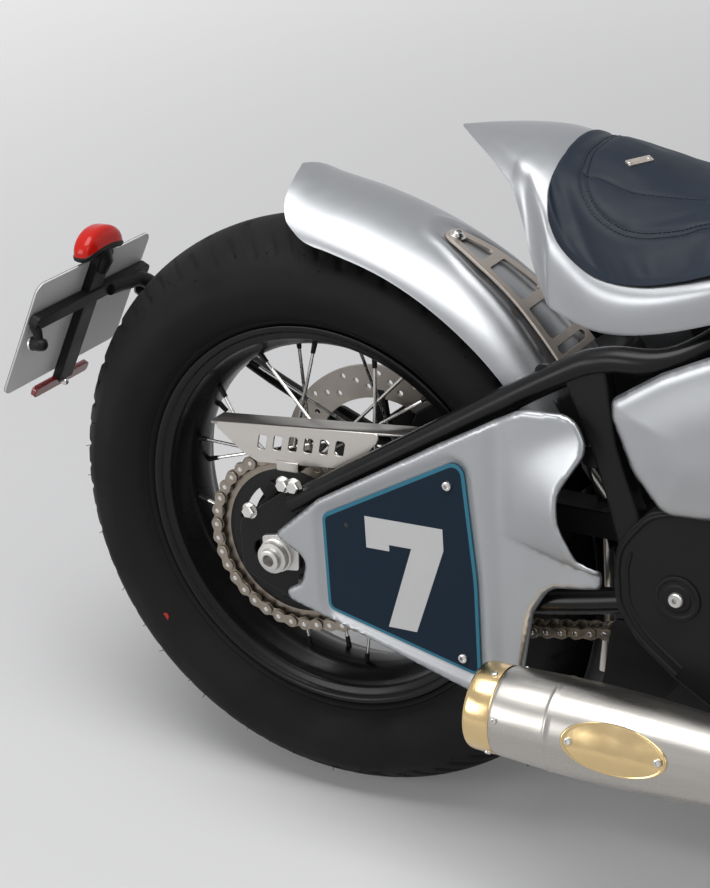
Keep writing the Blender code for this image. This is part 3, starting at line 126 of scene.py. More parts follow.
def finish(name, color, metallic=0.0, roughness=0.4, spread=0.06, rough_spread=0.05, cloud=25.0,
           bump=0.0, grain=900.0, stretch=(1, 1, 1), detail=3.0, **sockets):
    """A material whose colour, roughness and relief vary by noise in the piece's own space."""
    made = bpy.data.materials.new(name)
    made.use_nodes = True
    nodes, links = made.node_tree.nodes, made.node_tree.links
    shader = nodes["Principled BSDF"]
    shader.inputs["Metallic"].default_value = metallic
    for socket, value in sockets.items():
        shader.inputs[socket.replace("_", " ").title().replace("Ior", "IOR")].default_value = value
    place = nodes.new("ShaderNodeTexCoord")
    scaled = nodes.new("ShaderNodeMapping")
    scaled.inputs["Scale"].default_value = stretch
    links.new(place.outputs["Object"], scaled.inputs["Vector"])
    patches = nodes.new("ShaderNodeTexNoise")
    patches.inputs["Scale"].default_value = cloud
    patches.inputs["Detail"].default_value = detail
    links.new(scaled.outputs["Vector"], patches.inputs["Vector"])
    tint = nodes.new("ShaderNodeMix")
    tint.data_type = "RGBA"
    tint.inputs["A"].default_value = (*[c * (1 - spread) for c in color], 1)
    tint.inputs["B"].default_value = (*[min(1.0, c * (1 + spread)) for c in color], 1)
    links.new(patches.outputs["Fac"], tint.inputs["Factor"])
    links.new(tint.outputs["Result"], shader.inputs["Base Color"])
    rough = nodes.new("ShaderNodeMapRange")
    rough.inputs["From Min"].default_value = 0.3
    rough.inputs["From Max"].default_value = 0.7
    rough.inputs["To Min"].default_value = max(0.0, roughness - rough_spread)
    rough.inputs["To Max"].default_value = min(1.0, roughness + rough_spread)
    links.new(patches.outputs["Fac"], rough.inputs["Value"])
    links.new(rough.outputs["Result"], shader.inputs["Roughness"])
    if bump:
        fine = nodes.new("ShaderNodeTexNoise")
        fine.inputs["Scale"].default_value = grain
        links.new(scaled.outputs["Vector"], fine.inputs["Vector"])
        relief = nodes.new("ShaderNodeBump")
        relief.inputs["Distance"].default_value = bump
        links.new(fine.outputs["Fac"], relief.inputs["Height"])
        links.new(relief.outputs["Normal"], shader.inputs["Normal"])
    return made


SATIN_SILVER = finish("satin silver paint", (0.385, 0.393, 0.405), 0.9, 0.37, 0.02, 0.02, 60)
GLOSS_BLACK = finish("gloss black", (0.006, 0.006, 0.0065), 0.0, 0.26, 0.2, 0.05, 20, specular_ior_level=0.22)
SATIN_BLACK = finish("satin black", (0.0085, 0.0085, 0.009), 0.0, 0.45, 0.2, 0.08, 30, 0.00002, 1200,
                     specular_ior_level=0.18)
ENGINE_BLACK = finish("engine black", (0.018, 0.018, 0.019), 0.2, 0.48, 0.2, 0.08, 30, 0.00006, 900)
TYRE_BLACK = finish("tyre rubber", (0.0062, 0.0062, 0.0058), 0.0, 0.68, 0.25, 0.1, 14, 0.00005, 1500,
                    specular_ior_level=0.18)
# Black rubber, also used as painted shade for the panel's hole and the inside of the silencers' mouths.
SOFT_BLACK = finish("black rubber and painted shade", (0.013, 0.013, 0.013), 0.0, 0.6, 0.2, 0.08, 40, 0.00003, 2000)
SPOKE_STEEL = finish("spoke steel", (0.58, 0.57, 0.55), 1.0, 0.25, 0.12, 0.08, 150)
BRIGHT_STEEL = finish("bright steel", (0.62, 0.61, 0.59), 1.0, 0.22, 0.08, 0.08, 80, 0.00001, 2500)
BRUSHED = finish("brushed stainless", (0.44, 0.42, 0.39), 1.0, 0.3, 0.07, 0.06, 60, 0.00003, 900,
                 stretch=(0.06, 1, 1))
GUARD_STEEL = finish("guard stainless", (0.5, 0.475, 0.445), 1.0, 0.33, 0.06, 0.05, 60, 0.00002, 900,
                     stretch=(0.05, 1, 1))
CHAIN_STEEL = finish("chain steel", (0.27, 0.235, 0.195), 1.0, 0.36, 0.25, 0.1, 260, 0.00003, 1500)
DISC_STEEL = finish("disc steel", (0.33, 0.3, 0.27), 1.0, 0.36, 0.12, 0.08, 90, 0.00002, 1500)
BRASS = finish("brass", (0.7, 0.52, 0.27), 1.0, 0.2, 0.06, 0.05, 60, 0.00001, 1500)
STRAP_METAL = finish("strap metal", (0.5, 0.445, 0.395), 1.0, 0.45, 0.08, 0.06, 80, 0.00002, 1500)
PANEL_NAVY = finish("panel navy", (0.0085, 0.019, 0.034), 0.0, 0.55, 0.06, 0.04, 40, specular_ior_level=0.12)
PANEL_TEAL = finish("panel teal", (0.04, 0.18, 0.26), 0.0, 0.5, 0.06, 0.04, 40, specular_ior_level=0.15)
NUMERAL_GREY = finish("numeral grey", (0.55, 0.55, 0.55), 0.0, 0.5, 0.02, 0.03, 40)
LEATHER = finish("navy leather", (0.01, 0.0155, 0.025), 0.0, 0.52, 0.1, 0.05, 35, 0.00014, 420,
                 specular_ior_level=0.2)
THREAD = finish("navy thread", (0.014, 0.021, 0.033), 0.0, 0.7, 0.1, 0.05, 400, 0.0001, 3000)
RED_LENS = finish("red lens", (0.5, 0.01, 0.005), 0.0, 0.16, 0.08, 0.03, 90, specular_ior_level=0.3)
DARK_RED = finish("dark red reflector", (0.2, 0.006, 0.006), 0.0, 0.15, 0.08, 0.03, 90, coat_weight=0.6)
CLEAR_LENS = finish("clear lens", (0.9, 0.92, 0.94), 0.0, 0.04, 0.02, 0.02, 40, transmission_weight=0.9)
PLATE_GREY = finish("plate grey", (0.66, 0.66, 0.655), 0.0, 0.45, 0.03, 0.03, 12)
HEADER_STEEL = finish("header steel", (0.4, 0.33, 0.26), 1.0, 0.26, 0.22, 0.06, 9, 0.00001, 1500)
CAST_SILVER = finish("cast silver", (0.55, 0.54, 0.52), 0.9, 0.38, 0.08, 0.08, 70, 0.00003, 1500)
SMOKED_LENS = finish("smoked lens", (0.25, 0.16, 0.08), 0.0, 0.08, 0.1, 0.03, 60, coat_weight=0.6)
DOT_RED = finish("red paint mark", (0.35, 0.012, 0.008), 0.0, 0.6, 0.1, 0.05, 300)


# Shapes

def to_mesh(name, bm):
    bmesh.ops.recalc_face_normals(bm, faces=bm.faces)
    mesh = bpy.data.meshes.new(name)
    bm.to_mesh(mesh)
    bm.free()
    return mesh


def piece(name, shape, material, body="root", replaces=(), place=None, sharp=35):
    """Adds one piece that rides on a CAD body, made in that body's frame unless a place is given."""
    mesh = to_mesh(name, shape) if isinstance(shape, bmesh.types.BMesh) else shape
    mesh.materials.append(material)
    mesh.shade_smooth()
    mesh.set_sharp_from_angle(angle=radians(sharp))
    made = bpy.data.objects.new(name, mesh)
    bpy.context.scene.collection.objects.link(made)
    made.matrix_world = PLACES[body] if place is None else place
    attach(made, body)
    if replaces:
        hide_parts(*replaces)
    return made


def bevel(made, width, segments=2, angle=35):
    edge = made.modifiers.new("edges", "BEVEL")
    edge.width = width
    edge.segments = segments
    edge.limit_method = "ANGLE"
    edge.angle_limit = radians(angle)
    edge.harden_normals = False
    return made


def thicken(made, thickness, offset=-1.0):
    wall = made.modifiers.new("wall", "SOLIDIFY")
    wall.thickness = thickness
    wall.offset = offset
    wall.use_even_offset = True
    return made


def grid(rows, wrap_columns=False):
    """Quads over a table of points."""
    bm = bmesh.new()
    made = [[bm.verts.new(p) for p in row] for row in rows]
    width = len(rows[0])
    for a, b in zip(made, made[1:]):
        for i in range(width if wrap_columns else width - 1):
            n = (i + 1) % width
            bm.faces.new((a[i], b[i], b[n], a[n]))
    return bm


def lathe(profile, segments, closed=False, start=0.0):
    """Turns (radius, along) points round the Y axis."""
    bm = bmesh.new()
    rings = []
    for r, y in profile:
        if r < 1e-9:
            rings.append([bm.verts.new((0, y, 0))])
            continue
        angles = [start + 2 * pi * k / segments for k in range(segments)]
        rings.append([bm.verts.new((r * sin(a), y, r * cos(a))) for a in angles])
    pairs = list(zip(rings, rings[1:])) + ([(rings[-1], rings[0])] if closed else [])
    for low, high in pairs:
        if len(low) + len(high) == 2:
            continue
        for k in range(segments):
            n = (k + 1) % segments
            corners = [low[k % len(low)], high[k % len(high)], high[n % len(high)], low[n % len(low)]]
            bm.faces.new(list(dict.fromkeys(corners)))
    return bm


def lathe_at(spot, axis, profile, segments=48, closed=True):
    """A turned shape whose axis points along the given direction."""
    turn = Vector((0, 1, 0)).rotation_difference(Vector(axis)).to_matrix().to_4x4()
    return moved(lathe(profile, segments, closed), Matrix.Translation(spot) @ turn)


def prism(outline, y0, y1):
    """An outline in x and z, extruded from y0 to y1."""
    bm = bmesh.new()
    near = [bm.verts.new((x, y0, z)) for x, z in outline]
    far = [bm.verts.new((x, y1, z)) for x, z in outline]
    bm.faces.new(near)
    bm.faces.new(list(reversed(far)))
    for k in range(len(outline)):
        n = (k + 1) % len(outline)
        bm.faces.new((near[k], far[k], far[n], near[n]))
    return bm


def slab(outline, z0, z1):
    """An outline in x and y, extruded from z0 to z1."""
    bm = prism(outline, z0, z1)
    for v in bm.verts:
        v.co = (v.co.x, v.co.z, v.co.y)
    return bm


def tube(points, radius, sides=12):
    """A round bar through the points. radius is one value, or one for each point."""
    points = [Vector(p) for p in points]
    radii = radius if isinstance(radius, (list, tuple)) else [radius] * len(points)
    bm = bmesh.new()
    rings = []
    side = None
    for k, point in enumerate(points):
        behind = points[k] - points[k - 1] if k else points[1] - points[0]
        ahead = points[k + 1] - points[k] if k + 1 < len(points) else behind
        along = (behind.normalized() + ahead.normalized()).normalized()
        side = along.orthogonal() if side is None else side - along * side.dot(along)
        side.normalize()
        up = along.cross(side)
        rings.append([
            bm.verts.new(point + radii[k] * (side * cos(a) + up * sin(a)))
            for a in (2 * pi * j / sides for j in range(sides))
        ])
    for low, high in zip(rings, rings[1:]):
        for j in range(sides):
            n = (j + 1) % sides
            bm.faces.new((low[j], low[n], high[n], high[j]))
    bm.faces.new(list(reversed(rings[0])))
    bm.faces.new(rings[-1])
    return bm


def drum(start, end, radius, sides=24):
    return tube([start, end], radius, sides)


def block(center, size):
    bm = bmesh.new()
    bmesh.ops.create_cube(bm, size=1, matrix=Matrix.Translation(center) @ Matrix.Diagonal((*size, 1)))
    return bm


def together(shapes):
    """Several shapes as one bmesh."""
    whole = bmesh.new()
    for shape in shapes:
        mesh = to_mesh("part", shape)
        whole.from_mesh(mesh)
        bpy.data.meshes.remove(mesh)
    return whole


def moved(shape, matrix):
    shape.transform(matrix)
    return shape


def as_bmesh(mesh):
    bm = bmesh.new()
    bm.from_mesh(mesh)
    return bm


def carved(base, cutters):
    """The base with the cutters taken out, as a mesh."""
    objects = []
    for name, shape in (("base", base), ("cutter", together(cutters))):
        made = bpy.data.objects.new(name, to_mesh(name, shape))
        bpy.context.scene.collection.objects.link(made)
        objects.append(made)
    cut = objects[0].modifiers.new("cut", "BOOLEAN")
    cut.operation = "DIFFERENCE"
    cut.object = objects[1]
    graph = bpy.context.evaluated_depsgraph_get()
    mesh = bpy.data.meshes.new_from_object(objects[0].evaluated_get(graph))
    for made in objects:
        bpy.data.objects.remove(made, do_unlink=True)
    return mesh


def smooth_step(low, high, value):
    t = np.clip((value - low) / (high - low), 0, 1)
    return t * t * (3 - 2 * t)


def spline(points, per_span):
    """Points on a smooth curve through the given ones."""
    points = [Vector(p) for p in points]
    ends = [2 * points[0] - points[1]] + points + [2 * points[-1] - points[-2]]
    made = []
    for a, b, c, d in zip(ends, ends[1:], ends[2:], ends[3:]):
        for k in range(per_span):
            t = k / per_span
            made.append(0.5 * (2 * b + (c - a) * t + (2 * a - 5 * b + 4 * c - d) * t * t
                               + (3 * b - 3 * c + d - a) * t ** 3))
    return made + [points[-1]]


def rounded(corners, steps=6):
    """An outline whose rows are x, z and the radius of the arc that rounds the corner."""
    outline = []
    for k, (x, z, r) in enumerate(corners):
        here = Vector((x, z))
        if r <= 0:
            outline.append((x, z))
            continue
        back = (Vector(corners[k - 1][:2]) - here).normalized()
        ahead = (Vector(corners[(k + 1) % len(corners)][:2]) - here).normalized()
        half = back.angle(ahead) / 2
        middle = here + (back + ahead).normalized() * (r / sin(half))
        first = here + back * (r * cos(half) / sin(half)) - middle
        last = here + ahead * (r * cos(half) / sin(half)) - middle
        start = atan2(first.y, first.x)
        sweep = (atan2(last.y, last.x) - start + pi) % (2 * pi) - pi
        for j in range(steps + 1):
            a = start + sweep * j / steps
            outline.append((middle.x + r * cos(a), middle.y + r * sin(a)))
    return outline


def rounded_rectangle(x0, x1, z0, z1, r, steps=5):
    return rounded([(x0, z0, r), (x1, z0, r), (x1, z1, r), (x0, z1, r)], steps)


def inset(outline, distance):
    """The outline moved inwards."""
    count = len(outline)
    area = sum(outline[k][0] * outline[(k + 1) % count][1] - outline[(k + 1) % count][0] * outline[k][1]
               for k in range(count))
    turn = 1 if area > 0 else -1
    made = []
    for k in range(count):
        before = (Vector(outline[k]) - Vector(outline[k - 1])).normalized()
        after = (Vector(outline[(k + 1) % count]) - Vector(outline[k])).normalized()
        normal = Vector((-(before + after).y, (before + after).x)).normalized() * turn
        share = max(0.4, normal.dot(Vector((-before.y, before.x)) * turn))
        spot = Vector(outline[k]) + normal * (distance / share)
        made.append((spot.x, spot.y))
    return made


def distance_to(outline, points):
    """How far each point lies from the outline."""
    a = np.array(outline)
    b = np.roll(a, -1, axis=0)
    best = np.full(len(points), 1e9)
    for start, end in zip(a, b):
        run = end - start
        share = np.clip(((points - start) @ run) / max(1e-12, run @ run), 0, 1)
        best = np.minimum(best, np.linalg.norm(points - (start + share[:, None] * run), axis=1))
    return best


def inside(outline, points):
    x, z = points[:, 0], points[:, 1]
    odd = np.zeros(len(points), bool)
    for (ax, az), (bx, bz) in zip(outline, outline[1:] + outline[:1]):
        if az != bz:
            odd ^= ((az > z) != (bz > z)) & (x < (bx - ax) * (z - az) / (bz - az) + ax)
    return odd


def filled(outline, step):
    """A triangle net over an outline: its points and its faces."""
    edge = []
    for a, b in zip(outline, outline[1:] + outline[:1]):
        a, b = Vector(a), Vector(b)
        parts = max(1, round((b - a).length / step))
        edge += [a.lerp(b, k / parts) for k in range(parts)]
    xs, zs = [p[0] for p in outline], [p[1] for p in outline]
    rows = np.arange(min(zs), max(zs), step * 0.866)
    points = np.array([
        (x + (j % 2) * step / 2, z)
        for j, z in enumerate(rows) for x in np.arange(min(xs), max(xs), step)
    ])
    keep = inside(outline, points) & (distance_to(outline, points) > step * 0.55)
    spots = edge + [Vector(p) for p in points[keep]]
    count = len(edge)
    ring = [(k, (k + 1) % count) for k in range(count)]
    made = delaunay_2d_cdt(spots, ring, [list(range(count))], 1, 1e-7)
    return np.array([tuple(v) for v in made[0]]), made[2]


def relief_plate(name, outline, side, height, step=0.004):
    """A pressed sheet. Its face stands out from the middle plane by height(points, edge distance)."""
    points, faces = filled(outline, step)
    stand = height(points, distance_to(outline, points))
    vertices = [(x, side * h, z) for (x, z), h in zip(points, stand)]
    mesh = bpy.data.meshes.new(name)
    mesh.from_pydata(vertices, [], faces)
    bm = as_bmesh(mesh)
    bpy.data.meshes.remove(mesh)
    bmesh.ops.recalc_face_normals(bm, faces=bm.faces)
    if sum(f.normal.y for f in bm.faces) * side < 0:
        bmesh.ops.reverse_faces(bm, faces=bm.faces)
    made = bpy.data.meshes.new(name)
    bm.to_mesh(made)
    bm.free()
    return made


def screw(center, out, radius, height, hex_r=None):
    """A round-headed screw with a hexagon socket, its head rising along out."""
    socket = hex_r or radius * 0.48
    profile = [(radius, 0), (radius, height * 0.35), (radius * 0.86, height * 0.8), (radius * 0.62, height),
               (socket, height), (socket, height * 0.35), (0, height * 0.35)]
    return lathe_at(center, out, profile, 24, False)


# Camera, floor and light

CAMERA_PLACE = Vector((1.15366, -1.85787, 0.9515 + REAR_AXLE_Z))
CAMERA_RIGHT = Vector((0.86424878, 0.49889145, -0.06466343))
CAMERA_UP = Vector((-0.13601925, 0.35548956, 0.9247302))
FOCAL_PX = 2209
IMAGE_H = 888
SENSOR_MM = 36
FLOOR_GLOW_NEAR = 0.08
FLOOR_GLOW_FAR = 0.62
WORLD_LIGHT = 0.24
WORLD_SEEN = 0.8


def camera():
    data = bpy.data.cameras.new("camera")
    data.sensor_width = SENSOR_MM
    data.lens = FOCAL_PX / IMAGE_H * SENSOR_MM
    made = bpy.data.objects.new("camera", data)
    bpy.context.scene.collection.objects.link(made)
    view = frame_at(CAMERA_PLACE, CAMERA_RIGHT, CAMERA_UP, CAMERA_RIGHT.cross(CAMERA_UP))
    made.matrix_world = BIKE @ view
    bpy.context.scene.camera = made


def lamp(name, place, aim, size, power):
    data = bpy.data.lights.new(name, "AREA")
    data.shape = "RECTANGLE"
    data.size, data.size_y = size
    data.energy = power
    made = bpy.data.objects.new(name, data)
    bpy.context.scene.collection.objects.link(made)
    made.location = place
    made.rotation_euler = (Vector(aim) - Vector(place)).to_track_quat("-Z", "Y").to_euler()


def seen_directly(nodes, links):
    """1 on camera, glossy and transmission rays, 0 on the rays that light the object."""
    path = nodes.new("ShaderNodeLightPath")
    first = nodes.new("ShaderNodeMath")
    second = nodes.new("ShaderNodeMath")
    second.use_clamp = True
    links.new(path.outputs["Is Camera Ray"], first.inputs[0])
    links.new(path.outputs["Is Glossy Ray"], first.inputs[1])
    links.new(first.outputs[0], second.inputs[0])
    links.new(path.outputs["Is Transmission Ray"], second.inputs[1])
    return second.outputs[0]


def backdrop():
    """A pale floor that the camera and reflections see lighter with distance than it is lit."""
    made = finish("pale floor", (0.58, 0.58, 0.585), 0.0, 0.9, 0.01, 0.02, 2.0)
    nodes, links = made.node_tree.nodes, made.node_tree.links
    place = nodes.new("ShaderNodeNewGeometry")
    reach = nodes.new("ShaderNodeVectorMath")
    reach.operation = "LENGTH"
    glow = nodes.new("ShaderNodeMapRange")
    glow.interpolation_type = "SMOOTHSTEP"
    glow.inputs["From Min"].default_value = 0.9
    glow.inputs["From Max"].default_value = 4.4
    glow.inputs["To Min"].default_value = FLOOR_GLOW_NEAR
    glow.inputs["To Max"].default_value = FLOOR_GLOW_FAR
    share = nodes.new("ShaderNodeMath")
    share.operation = "MULTIPLY"
    links.new(place.outputs["Position"], reach.inputs[0])
    links.new(reach.outputs["Value"], glow.inputs["Value"])
    links.new(seen_directly(nodes, links), share.inputs[0])
    links.new(glow.outputs["Result"], share.inputs[1])
    shader = nodes["Principled BSDF"]
    shader.inputs["Emission Color"].default_value = (1, 1, 1, 1)
    links.new(share.outputs[0], shader.inputs["Emission Strength"])
    return made


def studio():
    bm = bmesh.new()
    bmesh.ops.create_grid(bm, x_segments=2, y_segments=2, size=60)
    floor = bpy.data.objects.new("floor", to_mesh("floor", bm))
    bpy.context.scene.collection.objects.link(floor)
    floor.data.materials.append(backdrop())
    lamp("overhead", (-0.3, -0.5, 3.0), (-0.3, 0, 0.4), (3.0, 1.5), 80)
    lamp("side", (-2.4, -2.8, 1.7), (-0.5, 0, 0.5), (1.6, 1.4), 30)
    lamp("front", (3.0, -1.6, 2.2), (0.0, 0, 0.5), (1.6, 1.6), 16)
    world = bpy.data.worlds.new("world")
    world.use_nodes = True
    nodes, links = world.node_tree.nodes, world.node_tree.links
    back = nodes["Background"]
    back.inputs["Color"].default_value = (0.82, 0.83, 0.85, 1)
    strength = nodes.new("ShaderNodeMapRange")
    strength.inputs["To Min"].default_value = WORLD_LIGHT
    strength.inputs["To Max"].default_value = WORLD_SEEN
    links.new(seen_directly(nodes, links), strength.inputs["Value"])
    links.new(strength.outputs["Result"], back.inputs["Strength"])
    bpy.context.scene.world = world
    bpy.context.scene.view_settings.view_transform = "Standard"


# Tyres and wheels

TREAD_REPEATS = 36
GROOVE_DEPTH = 0.0024
TREAD_HALF = radians(56)
TYRE_SEGMENTS = 792
SPOKE_HEAD_R = 0.1845
SPOKE_LEAD = radians(80)
HAIRS = 44
DISC_THICKNESS = 0.005
REAR_DISC_R = 0.1275
REAR_DISC_Y = 0.085
FRONT_DISC_R = 0.155
FRONT_DISC_Y = 0.071


def groove(angle, share, side):
    """How deep the tread is cut at an angle, share of the way from its middle to its edge."""
    pitch = 2 * pi / TREAD_REPEATS
    turn = (angle + side * pitch / 4) / pitch
    long_line = turn - 0.9 * share
    short_line = turn + 0.5 - 0.9 * share
    cut = np.zeros_like(angle)
    for line, low, high, width in ((long_line, 0.1, 0.9, 0.05), (short_line, 0.46, 0.84, 0.04)):
        away = np.abs((line + 0.5) % 1.0 - 0.5)
        wall = 1 - smooth_step(width, width + 0.035, away)
        ends = smooth_step(low, low + 0.06, share) * (1 - smooth_step(high - 0.05, high, share))
        cut = np.maximum(cut, wall * ends)
    return cut


def tyre(name, body, outer_r, crown_r, half_w):
    """A ribbed sidewall and a tread cut by slanted grooves, as one closed skin."""
    arc = [TREAD_HALF * k / 20 for k in range(21)]
    side_profile = [
        (outer_r - crown_r + crown_r * cos(t), crown_r * sin(t), t / TREAD_HALF) for t in arc
    ]
    shoulder_r, shoulder_y = side_profile[-1][:2]
    wall = spline([(shoulder_r, shoulder_y, 0), (shoulder_r - 0.008, half_w - 0.0022, 0),
                   (shoulder_r - 0.022, half_w, 0), (0.248, half_w * 0.955, 0), (0.233, half_w * 0.84, 0),
                   (0.2245, half_w * 0.72, 0)], 4)[1:]
    side_profile += [(p.x, p.y, 2.0) for p in wall]
    side_profile += [
        (0.2235, half_w * 0.7, 2.0), (0.2222, half_w * 0.712, 2.0), (0.2208, half_w * 0.695, 2.0),
        (0.218, RIM_HALF_W, 2.0), (0.2172, RIM_HALF_W - 0.003, 2.0), (0.2045, RIM_HALF_W - 0.0065, 2.0),
    ]
    profile = [(r, -y, s) for r, y, s in reversed(side_profile)] + side_profile[1:]
    segments = TYRE_SEGMENTS
    angles = 2 * np.pi * np.arange(segments) / segments
    rows = []
    for r, y, share in profile:
        radii = np.full(segments, r)
        along = np.full(segments, y)
        if share <= 1.0:
            side = 1 if y >= 0 else -1
            cut = GROOVE_DEPTH * groove(angles, np.full(segments, share), side)
            tilt = share * TREAD_HALF
            radii = radii - cut * cos(tilt)
            along = along - side * cut * sin(tilt)
        rows.append(np.stack([radii * np.sin(angles), along, radii * np.cos(angles)], 1))
    count = len(rows)
    vertices = np.concatenate(rows)
    j, i = np.meshgrid(np.arange(count), np.arange(segments), indexing="ij")
    low, high, n = j * segments, (j + 1) % count * segments, (i + 1) % segments
    faces = np.stack([low + i, high + i, high + n, low + n], 2)
    mesh = bpy.data.meshes.new(name)
    mesh.from_pydata(vertices.tolist(), [], faces.reshape(-1, 4).tolist())
    mesh.flip_normals()
    return piece(name + "_tread", mesh, TYRE_BLACK, body, replaces=(name,), sharp=60)


def rim_profile():
    outer = [
        (0.2168, 0.0488), (0.216, 0.0508), (0.214, 0.0514), (0.2105, 0.05), (0.2085, 0.047),
        (0.207, 0.0452), (0.202, 0.0445), (0.2, 0.043), (0.199, 0.038), (0.1965, 0.03),
        (0.19, 0.023), (0.1855, 0.015), (0.184, 0.007), (0.184, 0.0),
    ]
    inner = [
        (0.188, 0.0), (0.1885, 0.008), (0.191, 0.016), (0.196, 0.024), (0.2025, 0.033),
        (0.203, 0.042), (0.206, 0.044), (0.213, 0.0455),
    ]
    right = [(r, -y) for r, y in outer]
    left = [(r, y) for r, y in reversed(outer[:-1])]
    back = [(r, y) for r, y in reversed(inner)]
    front = [(r, -y) for r, y in inner[1:]]
    return right + left + back + front


def laced_wheel(name, hub_profile, flange_r, flange_y):
    """Rim, hub and crossed spokes, each spoke bent at its flange and held by a nipple."""
    piece(name + "_rim", lathe(rim_profile(), 180, True), GLOSS_BLACK, name, replaces=(name,), sharp=50)
    piece(name + "_hub", lathe(hub_profile, 96, True), SATIN_BLACK, name, sharp=30)
    wires, nipples = [], []
    for k in range(SPOKES):
        side = -1 if k % 2 else 1
        lead = 1 if k % 4 < 2 else -1
        at_rim = 2 * pi * (k + 0.5) / SPOKES
        at_hub = at_rim + lead * SPOKE_LEAD
        foot = Vector((flange_r * sin(at_hub), side * (flange_y + 0.004 * lead), flange_r * cos(at_hub)))
        head = Vector((SPOKE_HEAD_R * sin(at_rim), side * 0.012, SPOKE_HEAD_R * cos(at_rim)))
        along = (foot - head).normalized()
        wires.append(tube([head, foot, foot + Vector((0, -side * 0.008 * lead, 0))], 0.0019, 8))
        nipples.append(tube([head - along * 0.004, head + along * 0.002, head + along * 0.011],
                            [0.0036, 0.003, 0.0026], 8))
    piece(name + "_spokes", together(wires), SPOKE_STEEL, name)
    piece(name + "_nipples", together(nipples), SATIN_BLACK, name)


def tyre_marks(outer_r):
    """Moulding hairs along both shoulders, and a balance mark in red paint."""
    hairs = []
    rng = np.random.default_rng(5)
    for side in (-1, 1):
        for k in range(HAIRS):
            a = 2 * pi * (k + float(rng.uniform(-0.3, 0.3))) / HAIRS
            t = TREAD_HALF * float(rng.choice([0.8, 0.97]))
            r = outer_r - REAR_CROWN_R + (REAR_CROWN_R - 0.0004) * cos(t)
            y = side * (REAR_CROWN_R - 0.0004) * sin(t)
            foot = Vector((r * sin(a), y, r * cos(a)))
            out = Vector((sin(a) * cos(t), side * sin(t), cos(a) * cos(t)))
            lean = Vector((cos(a), 0, -sin(a))) * float(rng.uniform(-0.5, 0.5))
            tip = foot + (out + lean) * float(rng.uniform(0.003, 0.006))
            hairs.append(tube([foot, tip], [0.0005, 0.0003], 5))
    piece("rear_tyre_hairs", together(hairs), TYRE_BLACK, "rear_wheel")
    mark = drum((-0.205, -0.0712, -0.144), (-0.205, -0.0727, -0.144), 0.0042, 20)
    piece("rear_tyre_mark", mark, DOT_RED, "rear_wheel")


def brake_disc(name, body, radius, inner, y):
    """A drilled ring on a dark five-armed carrier."""
    low, high = y - DISC_THICKNESS / 2, y + DISC_THICKNESS / 2
    ring = lathe([(inner, low), (radius, low), (radius, high), (inner, high)], 120, True)
    drills = []
    for k in range(48):
        a = 2 * pi * k / 48
        r = radius - (0.009, 0.017, 0.025)[k % 3]
        spot = Vector((r * sin(a), y, r * cos(a)))
        drills.append(drum(spot - Vector((0, 0.01, 0)), spot + Vector((0, 0.01, 0)), 0.0036, 12))
    piece(name + "_ring", carved(ring, drills), DISC_STEEL, body, replaces=(name,), sharp=30)
    arms = [lathe([(0.036, y - 0.003), (0.052, y - 0.003), (0.052, y + 0.003), (0.036, y + 0.003)], 48, True)]
    reach = inner + 0.01
    for k in range(5):
        arm = prism([(-0.012, 0.044), (-0.006, reach), (0.006, reach), (0.012, 0.044)], y - 0.0032,
                    y + 0.0032)
        arms.append(moved(arm, Matrix.Rotation(2 * pi * k / 5, 4, "Y")))
    piece(name + "_carrier", together(arms), SATIN_BLACK, body)


def tyre_radius(axle_rise, crown_r):
    """The outer radius at which the leaning tyre just clears the floor."""
    return (axle_rise - crown_r) / cos(LEAN) + crown_r - 0.0002


def wheels():
    outer = tyre_radius(AXLE.z, REAR_CROWN_R)
    tyre("rear_tyre", "rear_wheel", outer, REAR_CROWN_R, 0.075)
    tyre_marks(outer)
    rear_hub = [
        (0.0115, -0.098), (0.05, -0.098), (0.06, -0.092), (0.064, -0.06), (0.046, -0.054), (0.046, -0.044),
        (0.064, -0.041), (0.067, -0.038), (0.064, -0.034), (0.04, -0.028), (0.033, -0.014), (0.032, 0.0),
        (0.033, 0.014), (0.04, 0.028), (0.064, 0.034), (0.067, 0.038), (0.064, 0.041), (0.046, 0.046),
        (0.046, 0.08), (0.0115, 0.08),
    ]
    laced_wheel("rear_wheel", rear_hub, 0.06, 0.037)
    brake_disc("rear_disc", "rear_wheel", REAR_DISC_R, 0.09, REAR_DISC_Y)
    outer = tyre_radius(JOINTS["front_wheel_spin"]["pos_m"][2], FRONT_CROWN_R)
    tyre("front_tyre", "front_wheel", outer, FRONT_CROWN_R, 0.065)
    half = [
        (0.032, 0.0), (0.033, 0.014), (0.04, 0.026), (0.06, 0.03), (0.062, 0.033), (0.06, 0.037),
        (0.044, 0.042), (0.044, 0.067), (0.0104, 0.067),
    ]
    front_hub = [(r, -y) for r, y in reversed(half[1:])] + half
    laced_wheel("front_wheel", front_hub, 0.055, 0.0335)
    brake_disc("front_disc", "front_wheel", FRONT_DISC_R, 0.115, FRONT_DISC_Y)


# Chain and sprockets

def pitch_radius(teeth):
    return CHAIN_PITCH / (2 * sin(pi / teeth))


